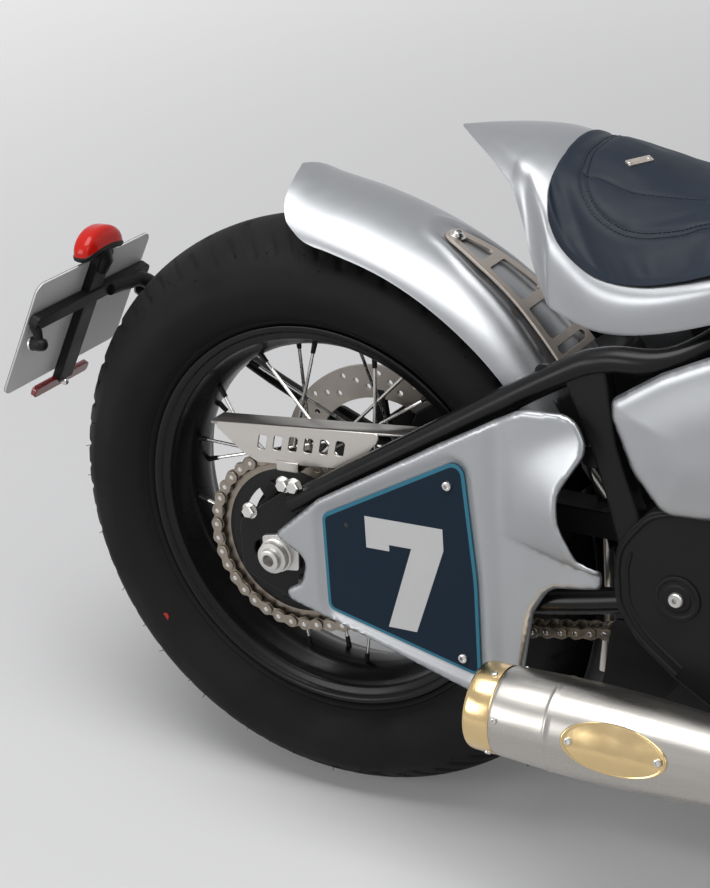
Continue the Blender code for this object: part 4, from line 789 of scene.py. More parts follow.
def chain_places():
    """Every pin's place as (x, z), and the chain's pitch as laid."""
    big, small = pitch_radius(REAR_TEETH), pitch_radius(FRONT_TEETH)
    rear, front = Vector((0, REAR_AXLE_Z)), FRONT_SPROCKET
    span = front - rear
    wrap = atan2(big - small, sqrt(span.length ** 2 - (big - small) ** 2))
    slope = atan2(span.y, span.x)
    up, down = slope + pi / 2 - wrap, slope - pi / 2 + wrap
    path = []
    for k in range(181):
        a = up + (2 * pi - (up - down)) * k / 180
        path.append(rear + big * Vector((cos(a), sin(a))))
    for k in range(91):
        a = down + (up - down) * k / 90
        path.append(front + small * Vector((cos(a), sin(a))))
    path.append(path[0])
    lengths = [0.0]
    for a, b in zip(path, path[1:]):
        lengths.append(lengths[-1] + (b - a).length)
    links = 2 * round(lengths[-1] / CHAIN_PITCH / 2)
    made, k = [], 0
    for j in range(links):
        want = lengths[-1] * j / links
        while lengths[k + 1] < want:
            k += 1
        made.append(path[k].lerp(path[k + 1], (want - lengths[k]) / (lengths[k + 1] - lengths[k])))
    return made


def link_plate(a, b, y0, y1, round_r, waist):
    """One figure-of-eight side plate between two pins."""
    along = (b - a).normalized()
    across = Vector((-along.y, along.x))
    outline = []
    for end, turn in ((b, 0.0), (a, pi)):
        for k in range(9):
            t = turn + radians(-112 + 28 * k)
            outline.append(end + round_r * (along * cos(t) + across * sin(t)))
        middle = (a + b) / 2
        outline.append(middle + across * waist * (1 if turn == 0.0 else -1))
    return prism([(p.x, p.y) for p in outline], y0, y1)


def chain():
    places = chain_places()
    count = len(places)
    plates, rollers, pins = [], [], []
    for k, place in enumerate(places):
        follow = places[(k + 1) % count]
        inner = k % 2 == 0
        for side in (-1, 1):
            near = 0.0064 if inner else 0.0086
            y0, y1 = CHAIN_Y + side * near, CHAIN_Y + side * (near + 0.0019)
            plates.append(link_plate(place, follow, y0, y1, 0.0074 if inner else 0.0068, 0.0046))
        spot = Vector((place.x, 0, place.y))
        half_roller = Vector((0, 0.0062, 0))
        ends = Vector((0, 0.0112, 0))
        middle = spot + Vector((0, CHAIN_Y, 0))
        rollers.append(drum(middle - half_roller, middle + half_roller, 0.0051, 14))
        pins.append(tube([middle - ends, middle - ends * 0.95, middle + ends * 0.95, middle + ends],
                         [0.0018, 0.0026, 0.0026, 0.0018], 12))
    bevel(piece("chain_plates", together(plates), CHAIN_STEEL, replaces=("chain",)), 0.0004, 1)
    piece("chain_rollers", together(rollers), CHAIN_STEEL)
    piece("chain_pins", together(pins), BRIGHT_STEEL)


TOOTH = (
    # share of a pitch from the gap's middle, height over the pitch circle
    (-0.5, 0.003), (-0.36, 0.0008), (-0.22, -0.0036), (0.0, -0.0054), (0.22, -0.0036), (0.36, 0.0008),
)


def toothed(teeth, first):
    """A sprocket's outline, with round seats for the rollers."""
    outline = []
    for k in range(teeth):
        middle = first - 2 * pi * k / teeth
        for share, height in TOOTH:
            a = middle - 2 * pi * share / teeth
            r = pitch_radius(teeth) + height
            outline.append((r * cos(a), r * sin(a)))
    return outline


def sprocket():
    first = chain_places()[0] - Vector((0, REAR_AXLE_Z))
    plate = prism(toothed(REAR_TEETH, atan2(first.y, first.x)), CHAIN_Y - 0.0032, CHAIN_Y + 0.0032)
    holes = [drum((0, CHAIN_Y - 0.02, 0), (0, CHAIN_Y + 0.02, 0), 0.0745, 64)]
    bevel(piece("rear_sprocket_ring", carved(plate, holes), CHAIN_STEEL, "rear_wheel",
                replaces=("rear_sprocket",)), 0.0008)
    disc = lathe([(0.03, CHAIN_Y - 0.002), (0.046, CHAIN_Y - 0.007), (0.07, CHAIN_Y - 0.0065),
                  (0.08, CHAIN_Y - 0.0036), (0.08, CHAIN_Y + 0.002), (0.03, CHAIN_Y + 0.002)], 120, True)
    slots = []
    for k in range(5):
        middle = 2 * pi * k / 5
        arc = [(middle + radians(5.0 * j), r)
               for r, js in ((0.0665, range(-4, 5)), (0.0545, range(4, -5, -1))) for j in js]
        slots.append(prism([(r * cos(a), r * sin(a)) for a, r in arc], CHAIN_Y - 0.02, CHAIN_Y + 0.02))
    mesh = carved(disc, slots)
    piece("sprocket_carrier", mesh, SATIN_BLACK, "rear_wheel")
    bolts = []
    for k in range(5):
        a = 2 * pi * (k + 0.5) / 5
        bolts.append(drum((0.062 * cos(a), CHAIN_Y - 0.0125, 0.062 * sin(a)),
                          (0.062 * cos(a), CHAIN_Y - 0.004, 0.062 * sin(a)), 0.0085, 6))
    bevel(piece("sprocket_nuts", together(bolts), SATIN_BLACK, "rear_wheel"), 0.001)


# Arm covers with their number panels

COVER_OUTLINE = [
    # x, z, corner radius
    (0.006, 0.352, 0.006), (0.062, 0.4, 0.03), (0.202, 0.48, 0.05), (0.292, 0.528, 0.04),
    (0.345, 0.53, 0.024), (0.362, 0.498, 0.022), (0.334, 0.455, 0.03), (0.336, 0.425, 0.04),
    (0.352, 0.388, 0.01), (0.371, 0.379, 0.006), (0.371, 0.358, 0.008), (0.316, 0.349, 0.024),
    (0.298, 0.32, 0.024), (0.284, 0.248, 0.01), (0.232, 0.216, 0.02), (0.086, 0.262, 0.03),
    (0.006, 0.286, 0.008), (0.036, 0.304, 0.014), (0.044, 0.33, 0.014),
]
PANEL_OUTLINE = [
    (0.066, 0.384, 0.01), (0.228, 0.469, 0.012), (0.238, 0.34, 0.3), (0.2375, 0.236, 0.008),
    (0.066, 0.28, 0.01),
]
NUMERAL = [(0.116, 0.391), (0.203, 0.391), (0.203, 0.368), (0.168, 0.273), (0.136, 0.273), (0.167, 0.364),
           (0.142, 0.364), (0.142, 0.357), (0.116, 0.357)]
NUMERAL_MIDDLE = 0.1595
FRAME_RISE = 0.0045
BULGE_TIP = np.array((0.236, 0.452))
BULGE_RISE = 0.024
EDGE_ROLL = 0.0045


def cover_height(points, edge):
    """How far the cover's outer face stands from the bike's middle plane."""
    panel = rounded(PANEL_OUTLINE, 4)
    from_panel = distance_to(panel, points) * np.where(inside(panel, points), -1, 1)
    rise = FRAME_RISE * smooth_step(0.001, 0.011, from_panel)
    x, z = points[:, 0], points[:, 1]
    ahead = smooth_step(0.24, 0.262, x)
    low_side = 1 - smooth_step(0.33, 0.4, z)
    valley = 0.003 * np.exp(-((x - 0.266) / 0.013) ** 2)
    rise = rise * (1 - ahead) + FRAME_RISE * ahead - valley
    run = x - BULGE_TIP[0]
    crease = 0.398 - 0.0138 * smooth_step(0.0, 0.15, run) - 0.01 * smooth_step(0.02, 0.13, run)
    top = 0.474 + 0.42 * run
    share = np.clip((z - crease) / np.maximum(0.01, top - crease), 0, 1)
    short = 1 - np.clip(share / 0.42, 0, 1)
    dome = np.sqrt(np.clip(1 - short ** 2, 0, 1)) * (1 - smooth_step(0.38, 1.0, share))
    grow = smooth_step(0.02, 0.125, run)
    rise = rise + BULGE_RISE * grow * dome
    rise = rise + smooth_step(0.3, 0.36, x) * low_side * 0.004
    near = np.clip((EDGE_ROLL - edge) / EDGE_ROLL, 0, 1)
    return COVER_FACE + rise - EDGE_ROLL * 0.75 * (1 - np.sqrt(1 - near ** 2))


def arm_covers():
    outline = rounded(COVER_OUTLINE, 6)
    panel = rounded(PANEL_OUTLINE, 6)
    for side, name in SIDES:
        cover = piece(f"arm_cover_{name}_skin", relief_plate("cover", outline, side, cover_height, 0.0035),
                      SATIN_SILVER, replaces=(f"arm_cover_{name}",), sharp=60)
        thicken(cover, 0.002)
        face = side * PANEL_FACE
        bevel(piece(f"panel_{name}_edge", prism(panel, side * 0.1543, face), PANEL_TEAL,
                    replaces=(f"number_panel_{name}",)), 0.0005)
        bevel(piece(f"panel_{name}_field", prism(inset(panel, 0.0036), side * 0.1545, face + side * 0.0002),
                    PANEL_NAVY), 0.0002)
        numeral = NUMERAL if side < 0 else [(2 * NUMERAL_MIDDLE - x, z) for x, z in reversed(NUMERAL)]
        piece(f"panel_{name}_numeral", prism(numeral, face, face + side * 0.0005), NUMERAL_GREY)
        screws = [screw((x, face + side * 0.0002, z), (0, side, 0), 0.0052, 0.0034)
                  for x, z in ((0.211, 0.4385), (0.219, 0.2545))]
        piece(f"panel_{name}_screws", together(screws), BRIGHT_STEEL)
        # A flat black disc on the panel's face: painted shade standing for a small hole.
        piece(f"panel_{name}_hole", drum((0.094, face, 0.3775), (0.094, face + side * 0.0004, 0.3775),
                                         0.0026, 16), SOFT_BLACK)


# Chain guard

GUARD_Y = -0.1175
GUARD_FOLD = (
    # how far in from the outer face, drop below the ridge
    (-0.0008, 0.003), (0.0, 0.0004), (0.002, 0.0), (0.024, 0.0), (0.026, 0.0015), (0.0265, 0.005),
)


def chain_guard():
    side_outline = [(-0.085, 0.4495), (0.118, 0.464), (0.112, 0.452), (0.09, 0.429), (0.074, 0.4195),
                    (-0.03, 0.4115), (-0.048, 0.42)]
    plate = prism(rounded([(x, z, 0.004) for x, z in side_outline], 3), GUARD_Y - 0.0011, GUARD_Y + 0.0011)
    slots = []
    for k in range(6):
        x = -0.03 + 0.0185 * k
        z = 0.435 + 0.0012 * k
        slots.append(prism(rounded([(x, z - 0.008, 0.0025), (x + 0.01, z - 0.008, 0.0025),
                                    (x + 0.014, z + 0.008, 0.0025), (x + 0.004, z + 0.008, 0.0025)], 4),
                           GUARD_Y - 0.01, GUARD_Y + 0.01))
    bevel(piece("chain_guard_side", carved(plate, slots), GUARD_STEEL, replaces=("chain_guard",)), 0.0006, 1)
    ridge = [(-0.085, 0.45), (0.118, 0.4645), (0.178, 0.469)]
    rows = []
    for y, drop in GUARD_FOLD:
        rows.append([(x, GUARD_Y + y, z - drop) for x, z in ridge])
    thicken(piece("chain_guard_top", grid(rows), GUARD_STEEL, sharp=50), 0.0015)
    clip = [block((0.006, GUARD_Y - 0.002, 0.4125), (0.026, 0.0016, 0.01)),
            block((0.006, GUARD_Y + 0.004, 0.4075), (0.026, 0.013, 0.0016))]
    bevel(piece("chain_guard_clip", together(clip), GUARD_STEEL), 0.0006)


# Rear fender and its strap

FENDER_TABLE = [
    # angle from +X, crown radius, skirt radius, half width where it ends
    (93.6, 0.375, 0.316, 0.002), (93.1, 0.374, 0.316, 0.012), (92.5, 0.3725, 0.316, 0.036),
    (92.2, 0.3718, 0.316, 0.054), (91.1, 0.369, 0.316, 0.068), (90.1, 0.3665, 0.316, 0.073),
    (87.0, 0.362, 0.316, 0.08), (83.6, 0.3585, 0.316, 0.082), (78.0, 0.3545, 0.313, 0.082),
    (70.0, 0.3505, 0.311, 0.082), (60.0, 0.349, 0.3085, 0.082), (50.0, 0.349, 0.307, 0.082),
    (40.0, 0.349, 0.307, 0.082), (30.0, 0.349, 0.307, 0.082), (22.0, 0.349, 0.307, 0.082),
]
FENDER_HALF_W = 0.082
FENDER_ROUND = 1 / 1.4
CHANNEL_END = 66.3          # degrees from +X where the strap's channel closes
CHANNEL_DEPTH = 0.0045
STRAP_R = 0.349
STRAP_REAR = 66.0           # degrees from +X, as the strap's other angles
STRAP_FRONT = 36.5
STRAP_WINDOWS = ((63.2, 58.0), (56.2, 48.6), (46.8, 40.6), (39.2, 37.6))


def read_table(table, key):
    """The columns of a table at a key, along smooth curves."""
    rows = sorted(table)
    keys = [row[0] for row in rows]
    k = min(max(int(np.searchsorted(keys, key)) - 1, 0), len(rows) - 2)
    a, b = rows[k], rows[k + 1]
    before, after = rows[max(k - 1, 0)], rows[min(k + 2, len(rows) - 1)]
    span = b[0] - a[0]
    t = min(1.0, max(0.0, (key - a[0]) / span))
    made = []
    for c in range(1, len(a)):
        slope_a = (b[c] - before[c]) / (b[0] - before[0]) * span
        slope_b = (after[c] - a[c]) / (after[0] - a[0]) * span
        rise = b[c] - a[c]
        if rise == 0 or slope_a * rise < 0:
            slope_a = 0.0
        if rise == 0 or slope_b * rise < 0:
            slope_b = 0.0
        limit = 3 * abs(rise)
        slope_a = max(-limit, min(limit, slope_a))
        slope_b = max(-limit, min(limit, slope_b))
        made.append(a[c] * (2 * t ** 3 - 3 * t ** 2 + 1) + slope_a * (t ** 3 - 2 * t ** 2 + t)
                    + b[c] * (3 * t ** 2 - 2 * t ** 3) + slope_b * (t ** 3 - t ** 2))
    return made


def strap_half_width(angle):
    return float(np.interp(angle, [34, 38, 43, 50, 58, 62, 65],
                           [0.041, 0.039, 0.036, 0.03, 0.024, 0.018, 0.013]))


def fender_radius(angle, y):
    crown, skirt, half = read_table(FENDER_TABLE, angle)
    share = min(1.0, abs(y) / FENDER_HALF_W)
    r = skirt + (crown - skirt) * (1 - share ** 2) ** FENDER_ROUND
    beyond = max(0.0, angle - CHANNEL_END + 1.5) * pi / 180 * crown
    width = strap_half_width(min(angle, CHANNEL_END - 1.5))
    away = float(np.hypot(y, beyond)) - width
    floor = 1 - float(smooth_step(0.001, 0.01, away))
    lip = float(np.exp(-((away - 0.0135) / 0.0055) ** 2))
    fade = float(smooth_step(20, 30, angle))
    return r + (lip * 0.0022 - floor * CHANNEL_DEPTH) * fade


def rear_fender():
    lip = [93.6, 93.35, 93.1, 92.8, 92.5, 92.35, 92.2, 91.8, 91.4, 91.1, 90.6, 90.1, 89, 88, 87, 86, 84.8]
    angles = lip + [83.6] + list(np.linspace(82.6, 22, 122))
    halves = [read_table(FENDER_TABLE, angle)[2] for angle in angles]
    across = -np.outer(halves, np.cos(np.linspace(0, pi, 97)))
    radii = np.array([[fender_radius(angle, y) for y in row] for angle, row in zip(angles, across)])
    radii[len(lip):] = smoothed(radii[len(lip):], 5)
    rows = []
    for angle, ys, rs in zip(angles, across, radii):
        a = radians(angle)
        rows.append([(r * cos(a), y, REAR_AXLE_Z + r * sin(a)) for y, r in zip(ys, rs)])
    shell = piece("rear_fender_shell", grid(rows), SATIN_SILVER, replaces=("rear_fender",), sharp=80)
    thicken(shell, 0.0022)
    bevel(shell, 0.0007, 2, 50)


def on_strap(s, y, up):
    """A point of the strap: s metres ahead of its rear end, along the crown."""
    angle = radians(STRAP_REAR) - s / STRAP_R
    r = STRAP_R + (up - 0.0035)
    return Vector((r * cos(angle), y, REAR_AXLE_Z + r * sin(angle)))


def fender_strap():
    length = STRAP_R * radians(STRAP_REAR - STRAP_FRONT)

    def width_at(s):
        return strap_half_width(STRAP_REAR - s / STRAP_R * 180 / pi)

    edge = [(s, width_at(s)) for s in np.linspace(0.01, length, 24)]
    outline = [(0.0, -0.006), (0.003, -0.0105)] + [(s, -w) for s, w in edge]
    outline += [(s, w) for s, w in reversed(edge)] + [(0.003, 0.0105), (0.0, 0.006)]
    plate = prism(outline, 0.0, 0.003)
    windows = []
    for start, end in STRAP_WINDOWS:
        s0, s1 = STRAP_R * radians(STRAP_REAR - start), STRAP_R * radians(STRAP_REAR - end)
        w0, w1 = width_at(s0) - 0.0095, width_at(s1) - 0.0095
        w0, w1 = max(w0, 0.0055), max(w1, 0.0075)
        hole = rounded([(s0, -w0, 0.004), (s1, -w1, 0.005), (s1, w1, 0.005), (s0, w0, 0.004)], 5)
        windows.append(prism(hole, -0.01, 0.01))
    bm = as_bmesh(carved(plate, windows))
    for s in np.arange(0.006, length, 0.006):
        everything = bm.verts[:] + bm.edges[:] + bm.faces[:]
        bmesh.ops.bisect_plane(bm, geom=everything, plane_co=(s, 0, 0), plane_no=(1, 0, 0))
    for v in bm.verts:
        v.co = on_strap(v.co.x, v.co.z, v.co.y)
    bevel(piece("fender_strap_plate", bm, STRAP_METAL, replaces=("fender_strap",)), 0.0006, 2)
    head = on_strap(0.0105, 0, 0.003)
    out = (head - Vector((0, 0, REAR_AXLE_Z))).normalized()
    bolts = [screw(head, out, 0.0062, 0.005, 0.0028), drum(head, head + out * 0.0009, 0.0085, 32)]
    piece("fender_strap_bolt", together(bolts), BRIGHT_STEEL)


# Tail pan

TAIL_TABLE = [
    # x, crown z, crease y, crease z, lower edge y, lower edge z
    (0.165, 0.751, 0.002, 0.7508, 0.0028, 0.7496), (0.183, 0.753, 0.013, 0.7508, 0.0215, 0.7468),
    (0.202, 0.754, 0.027, 0.749, 0.0392, 0.7425), (0.22, 0.7545, 0.04, 0.747, 0.0545, 0.7365),
    (0.236, 0.7545, 0.052, 0.7435, 0.0675, 0.7295), (0.255, 0.7535, 0.068, 0.7365, 0.0815, 0.715),
    (0.265, 0.7522, 0.076, 0.732, 0.087, 0.697), (0.275, 0.7504, 0.084, 0.7255, 0.0915, 0.659),
    (0.284, 0.748, 0.091, 0.716, 0.096, 0.637), (0.296, 0.7435, 0.101, 0.6965, 0.104, 0.619),
    (0.314, 0.732, 0.113, 0.667, 0.111, 0.6085), (0.343, 0.711, 0.127, 0.644, 0.1215, 0.6005),
    (0.366, 0.698, 0.1335, 0.64, 0.128, 0.6), (0.407, 0.685, 0.1405, 0.6435, 0.134, 0.6065),
    (0.445, 0.681, 0.141, 0.6535, 0.1345, 0.6155), (0.473, 0.68, 0.14, 0.663, 0.134, 0.625),
    (0.54, 0.684, 0.129, 0.678, 0.124, 0.644), (0.6, 0.694, 0.104, 0.688, 0.099, 0.663),
    (0.632, 0.699, 0.084, 0.693, 0.079, 0.674),
]
PAN_FLATNESS = 2.2


def pan_height(x, y):
    crown, crease_y, crease_z, low_y, low_z = read_table(TAIL_TABLE, x)
    share = min(1.0, abs(y) / crease_y)
    return crown - (crown - crease_z) * share ** PAN_FLATNESS


def smoothed(points, passes):
    for _ in range(passes):
        middle = (points[:-2] + 2 * points[1:-1] + points[2:]) / 4
        points = np.concatenate([points[:1], middle, points[-1:]])
    return points


def resampled(points, count):
    steps = np.linalg.norm(np.diff(points, axis=0), axis=1)
    along = np.concatenate([[0], np.cumsum(steps)])
    want = np.linspace(0, along[-1], count)
    return np.stack([np.interp(want, along, points[:, c]) for c in range(points.shape[1])], 1)


def tail_pan():
    rows = []
    stations = list(np.linspace(0.165, 0.25, 30)) + list(np.linspace(0.252, 0.3, 34))
    stations += list(np.linspace(0.304, 0.632, 60))
    for x in stations:
        crown, crease_y, crease_z, low_y, low_z = read_table(TAIL_TABLE, x)
        top = [(y, crown - (crown - crease_z) * (y / crease_y) ** PAN_FLATNESS)
               for y in np.linspace(0, crease_y, 40)]
        side = [(crease_y + (low_y - crease_y) * t, crease_z + (low_z - crease_z) * t)
                for t in np.linspace(0, 1, 16)[1:]]
        half = resampled(np.array(top + side), 56)
        size = min(1.0, (crease_y + crease_z - low_z) / 0.1)
        line = np.concatenate([half[1:][::-1] * (-1, 1), half])
        rows.append(np.column_stack([np.full(len(line), x), smoothed(line, int(3 + 24 * size))]))
    rows = np.array(rows)
    rows[:, :, 1:] = smoothed(rows[:, :, 1:], 24)
    shell = piece("tail_pan_shell", grid(rows), SATIN_SILVER, replaces=("tail_pan",), sharp=80)
    thicken(shell, 0.0022)
    bevel(shell, 0.0007, 2, 50)


# Saddle

SEAT_EDGE = [
    # x, half width
    (0.293, 0.08), (0.2955, 0.0935), (0.3, 0.1015), (0.31, 0.108), (0.335, 0.117), (0.369, 0.126),
    (0.41, 0.1315), (0.448, 0.131), (0.5, 0.125), (0.55, 0.111), (0.59, 0.091), (0.615, 0.069),
    (0.628, 0.043),
]
SEAT_TOP = [
    # x, height of the middle
    (0.296, 0.749), (0.308, 0.751), (0.321, 0.7525), (0.334, 0.752), (0.343, 0.75), (0.354, 0.7465),
    (0.364, 0.7415), (0.374, 0.7365), (0.388, 0.73), (0.403, 0.7245), (0.418, 0.72), (0.47, 0.711),
    (0.53, 0.708), (0.59, 0.712), (0.628, 0.716),
]
SEAT_WALL = 0.007         # the cover's upright edge


def seat_height(x, y):
    """The saddle's upper surface."""
    half = read_table(SEAT_EDGE, x)[0]
    middle = read_table(SEAT_TOP, x)[0]
    edge = pan_height(x, half) + SEAT_WALL
    share = min(1.0, abs(y) / half)
    dome = edge + (middle - edge) * max(0.0, 1 - share ** 2) ** 0.87
    bed = pan_height(x, y) + 0.002 + SEAT_WALL
    rear = min(1.0, (x - 0.292) / 0.03)
    front = min(1.0, (0.63 - x) / 0.03)
    lift = sqrt(max(0.0, 1 - (1 - rear) ** 2)) * sqrt(max(0.0, 1 - (1 - front) ** 2))
    return bed + 0.004 + max(0.0, dome - bed - 0.004) * lift


PAN_KEYS = np.linspace(0.165, 0.632, 900)
PAN_VALUES = np.array([read_table(TAIL_TABLE, key) for key in PAN_KEYS])
SEAT_SLACK = 0.0025        # left for the cushion to swell into
SEAT_CAP = 0.005
SEAT_SEAM = [
    # the double seam's right half, on the cover's surface
    (0.3145, 0.0, 0.7515), (0.3145, -0.014, 0.7499), (0.3129, -0.0333, 0.7442), (0.3146, -0.0487, 0.7369),
    (0.3182, -0.0616, 0.7283), (0.3237, -0.072, 0.7193), (0.331, -0.0797, 0.7106), (0.3407, -0.0862, 0.702),
    (0.3526, -0.0911, 0.695), (0.3657, -0.0944, 0.6897), (0.379, -0.096, 0.6867), (0.3935, -0.096, 0.6857),
    (0.4072, -0.0939, 0.6868), (0.4292, -0.0893, 0.6894), (0.4489, -0.0816, 0.6936), (0.485, -0.0745, 0.697),
    (0.525, -0.068, 0.699), (0.565, -0.056, 0.701), (0.593, -0.036, 0.708), (0.603, 0.0, 0.712),
]
SEAT_STITCHED = [
    (0.316, -0.056, 0.733), (0.3214, -0.0597, 0.73), (0.3346, -0.06, 0.729), (0.3471, -0.0617, 0.726),
    (0.3576, -0.0631, 0.723), (0.3752, -0.0632, 0.718), (0.3977, -0.0589, 0.715), (0.4197, -0.0536, 0.712),
    (0.4361, -0.0492, 0.711),
]
SEAT_FOLD = [
    (0.3742, -0.0913, 0.691), (0.3902, -0.0878, 0.693), (0.4069, -0.0815, 0.696), (0.4274, -0.0728, 0.701),
    (0.4412, -0.062, 0.705),
]
BADGE_SPOT = Vector((0.3601, -0.0269, 0.7394))
BADGE_RUN = Vector((0.0129, 0.0196, 0.0))


def pan_heights(x, y):
    crown, crease_y, crease_z = (np.interp(x, PAN_KEYS, PAN_VALUES[:, c]) for c in range(3))
    share = np.minimum(1.0, np.abs(y) / crease_y)
    return crown - (crown - crease_z) * share ** PAN_FLATNESS


def evaluated(made):
    """The object's mesh with its modifiers applied."""
    graph = bpy.context.evaluated_depsgraph_get()
    mesh = bpy.data.meshes.new_from_object(made.evaluated_get(graph))
    old = made.data
    made.modifiers.clear()
    made.data = mesh
    bpy.data.meshes.remove(old)
    return mesh


def positions(mesh):
    values = np.empty(len(mesh.vertices) * 3)
    mesh.vertices.foreach_get("co", values)
    return values.reshape(-1, 3)


def place_vertices(mesh, values):
    mesh.vertices.foreach_set("co", values.ravel())
    mesh.update()


def swell(made, held, pressure, cap):
    """Lets a closed cover swell as cloth under pressure, its held vertices staying where they are."""
    group = made.vertex_groups.new(name="held")
    group.add([int(k) for k in np.nonzero(held)[0]], 1.0, "REPLACE")
    before = positions(made.data)
    cloth = made.modifiers.new("cloth", "CLOTH")
    cloth.settings.quality = 5
    cloth.settings.use_pressure = True
    cloth.settings.uniform_pressure_force = pressure
    cloth.settings.effector_weights.gravity = 0
    cloth.settings.vertex_group_mass = "held"
    scene = bpy.context.scene
    for number in range(1, 21):
        scene.frame_set(number)
    graph = bpy.context.evaluated_depsgraph_get()
    after = positions(made.evaluated_get(graph).to_mesh())
    move = after - before
    far = np.linalg.norm(move, axis=1)
    move *= np.minimum(1.0, cap / np.maximum(far, 1e-9))[:, None]
    made.modifiers.clear()
    made.vertex_groups.clear()
    place_vertices(made.data, before + move)
    scene.frame_set(1)


def on_surface(points, tree, steps=8):
    """A smooth curve through the points, laid on a surface: its points and their normals."""
    hits = [tree.find_nearest(p)[:2] for p in spline(points, steps)]
    return [hit[0] for hit in hits], [hit[1] for hit in hits]


def distance_from(points, lines):
    tree = KDTree(sum(len(line) for line in lines))
    k = 0
    for line in lines:
        for p in line:
            tree.insert(p, k)
            k += 1
    tree.balance()
    return np.array([tree.find(p)[2] for p in points])


def stitches(line, normals, offset, gap=0.0042, length=0.003, radius=0.00045):
    """Threads along a seam, each a short loop that dips at both ends."""
    made = []
    along = [0.0]
    for a, b in zip(line, line[1:]):
        along.append(along[-1] + (b - a).length)

    def at(s):
        k = min(max(int(np.searchsorted(along, s)) - 1, 0), len(line) - 2)
        share = (s - along[k]) / max(1e-9, along[k + 1] - along[k])
        run = (line[k + 1] - line[k]).normalized()
        normal = normals[k].lerp(normals[k + 1], share).normalized()
        return line[k].lerp(line[k + 1], share) + run.cross(normal) * offset, normal

    for s in np.arange(gap / 2, along[-1] - length, gap):
        row = [(0.0, -0.0006), (0.25, 0.0002), (0.75, 0.0002), (1.0, -0.0006)]
        spots = [at(s + share * length) for share, _ in row]
        made.append(tube([spot + normal * up for (spot, normal), (_, up) in zip(spots, row)], radius, 5))
    return made


def mirrored(points):
    return [Vector((p[0], -p[1], p[2])) for p in points]


def saddle():
    """A closed leather cover over foam: swollen as cloth, then sewn along its seams."""
    rings = []
    for x in np.linspace(0.2925, 0.6295, 88):
        half = read_table(SEAT_EDGE, x)[0] - 0.0005
        across = half * np.sin(np.linspace(-pi / 2, pi / 2, 47))
        top = [(x, y, seat_height(x, y) - SEAT_SLACK) for y in across]
        low = [(x, y, pan_height(x, y) + 0.0022) for y in across[::-1]]
        rings.append(top + low)
    bm = grid(rings, wrap_columns=True)
    bmesh.ops.holes_fill(bm, edges=bm.edges[:], sides=0)
    seat = piece("saddle_cover", bm, LEATHER, replaces=("seat",), sharp=80)
    spots = positions(seat.data)
    held = spots[:, 2] < pan_heights(spots[:, 0], spots[:, 1]) + 0.0045
    swell(seat, held, 4.0, SEAT_CAP)
    smooth = seat.modifiers.new("smooth", "SMOOTH")
    smooth.factor = 0.5
    smooth.iterations = 2
    fine = seat.modifiers.new("fine", "SUBSURF")
    fine.levels = 1
    fine.render_levels = 1
    mesh = evaluated(seat)
    tree = BVHTree.FromPolygons([v.co for v in mesh.vertices], [p.vertices for p in mesh.polygons])
    double, double_normals = on_surface(SEAT_SEAM, tree)
    sewn, sewn_normals = on_surface(SEAT_STITCHED, tree)
    fold, _ = on_surface(SEAT_FOLD, tree)
    doubles = [double, mirrored(double)]
    single = [sewn, mirrored(sewn)]
    folds = [fold, mirrored(fold)]
    bm = as_bmesh(mesh)
    away = distance_from([v.co for v in bm.verts], doubles + single)
    near = {v for v, d in zip(bm.verts[:], away) if d < 0.0075}
    edges = [e for e in bm.edges if e.verts[0] in near and e.verts[1] in near]
    bmesh.ops.subdivide_edges(bm, edges=edges, cuts=1, use_grid_fill=True)
    bm.normal_update()
    spots = np.array([v.co[:] for v in bm.verts])
    normals = np.array([v.normal[:] for v in bm.verts])
    from_double = distance_from(spots, doubles)
    from_single = distance_from(spots, single)
    from_fold = distance_from(spots, folds)
    depth = 0.001 * np.exp(-((from_double - 0.0027) / 0.0012) ** 2)
    depth -= 0.0006 * np.exp(-((from_double - 0.0095) / 0.005) ** 2)
    depth += 0.0004 * np.exp(-(from_double / 0.0015) ** 2)
    depth += 0.0008 * np.exp(-(from_single / 0.0012) ** 2)
    depth -= 0.0003 * np.exp(-((from_single - 0.007) / 0.004) ** 2)
    depth += 0.001 * np.exp(-(from_fold / 0.004) ** 2)
    spots = spots - normals * depth[:, None]
    for v, spot in zip(bm.verts, spots):
        v.co = spot
    sewn_mesh = to_mesh("saddle_cover", bm)
    sewn_mesh.materials.append(LEATHER)
    sewn_mesh.shade_smooth()
    seat.data = sewn_mesh
    threads = []
    for offset in (-0.0027, 0.0027):
        threads += stitches(double, double_normals, offset)
        threads += stitches(mirrored(double), mirrored(double_normals), offset)
    threads += stitches(sewn, sewn_normals, 0.0)
    threads += stitches(mirrored(sewn), mirrored(sewn_normals), 0.0)
    piece("saddle_stitches", together(threads), THREAD)
    saddle_tag(tree)


def saddle_tag(tree):
    """A small blank plate let into the cover's rear, with two screws."""
    spot, normal = tree.find_nearest(BADGE_SPOT)[:2]
    run = (BADGE_RUN - normal * BADGE_RUN.dot(normal)).normalized()
    badge = frame_at(spot + normal * 0.0002, run, normal, run.cross(normal))
    outline = rounded_rectangle(-0.0135, 0.0135, -0.0045, 0.0045, 0.0015, 4)
    border = prism(inset(outline, 0.0008), 0.0008, 0.003)
    field = carved(prism(outline, -0.001, 0.0012), [border])
    bevel(piece("saddle_tag", field, STRAP_METAL, place=BIKE @ badge), 0.0002)
    heads = [screw((x, 0.0008, 0), (0, 1, 0), 0.0024, 0.0014) for x in (-0.0105, 0.0105)]
    piece("saddle_tag_screws", together(heads), BRIGHT_STEEL, place=BIKE @ badge)


# Silencers

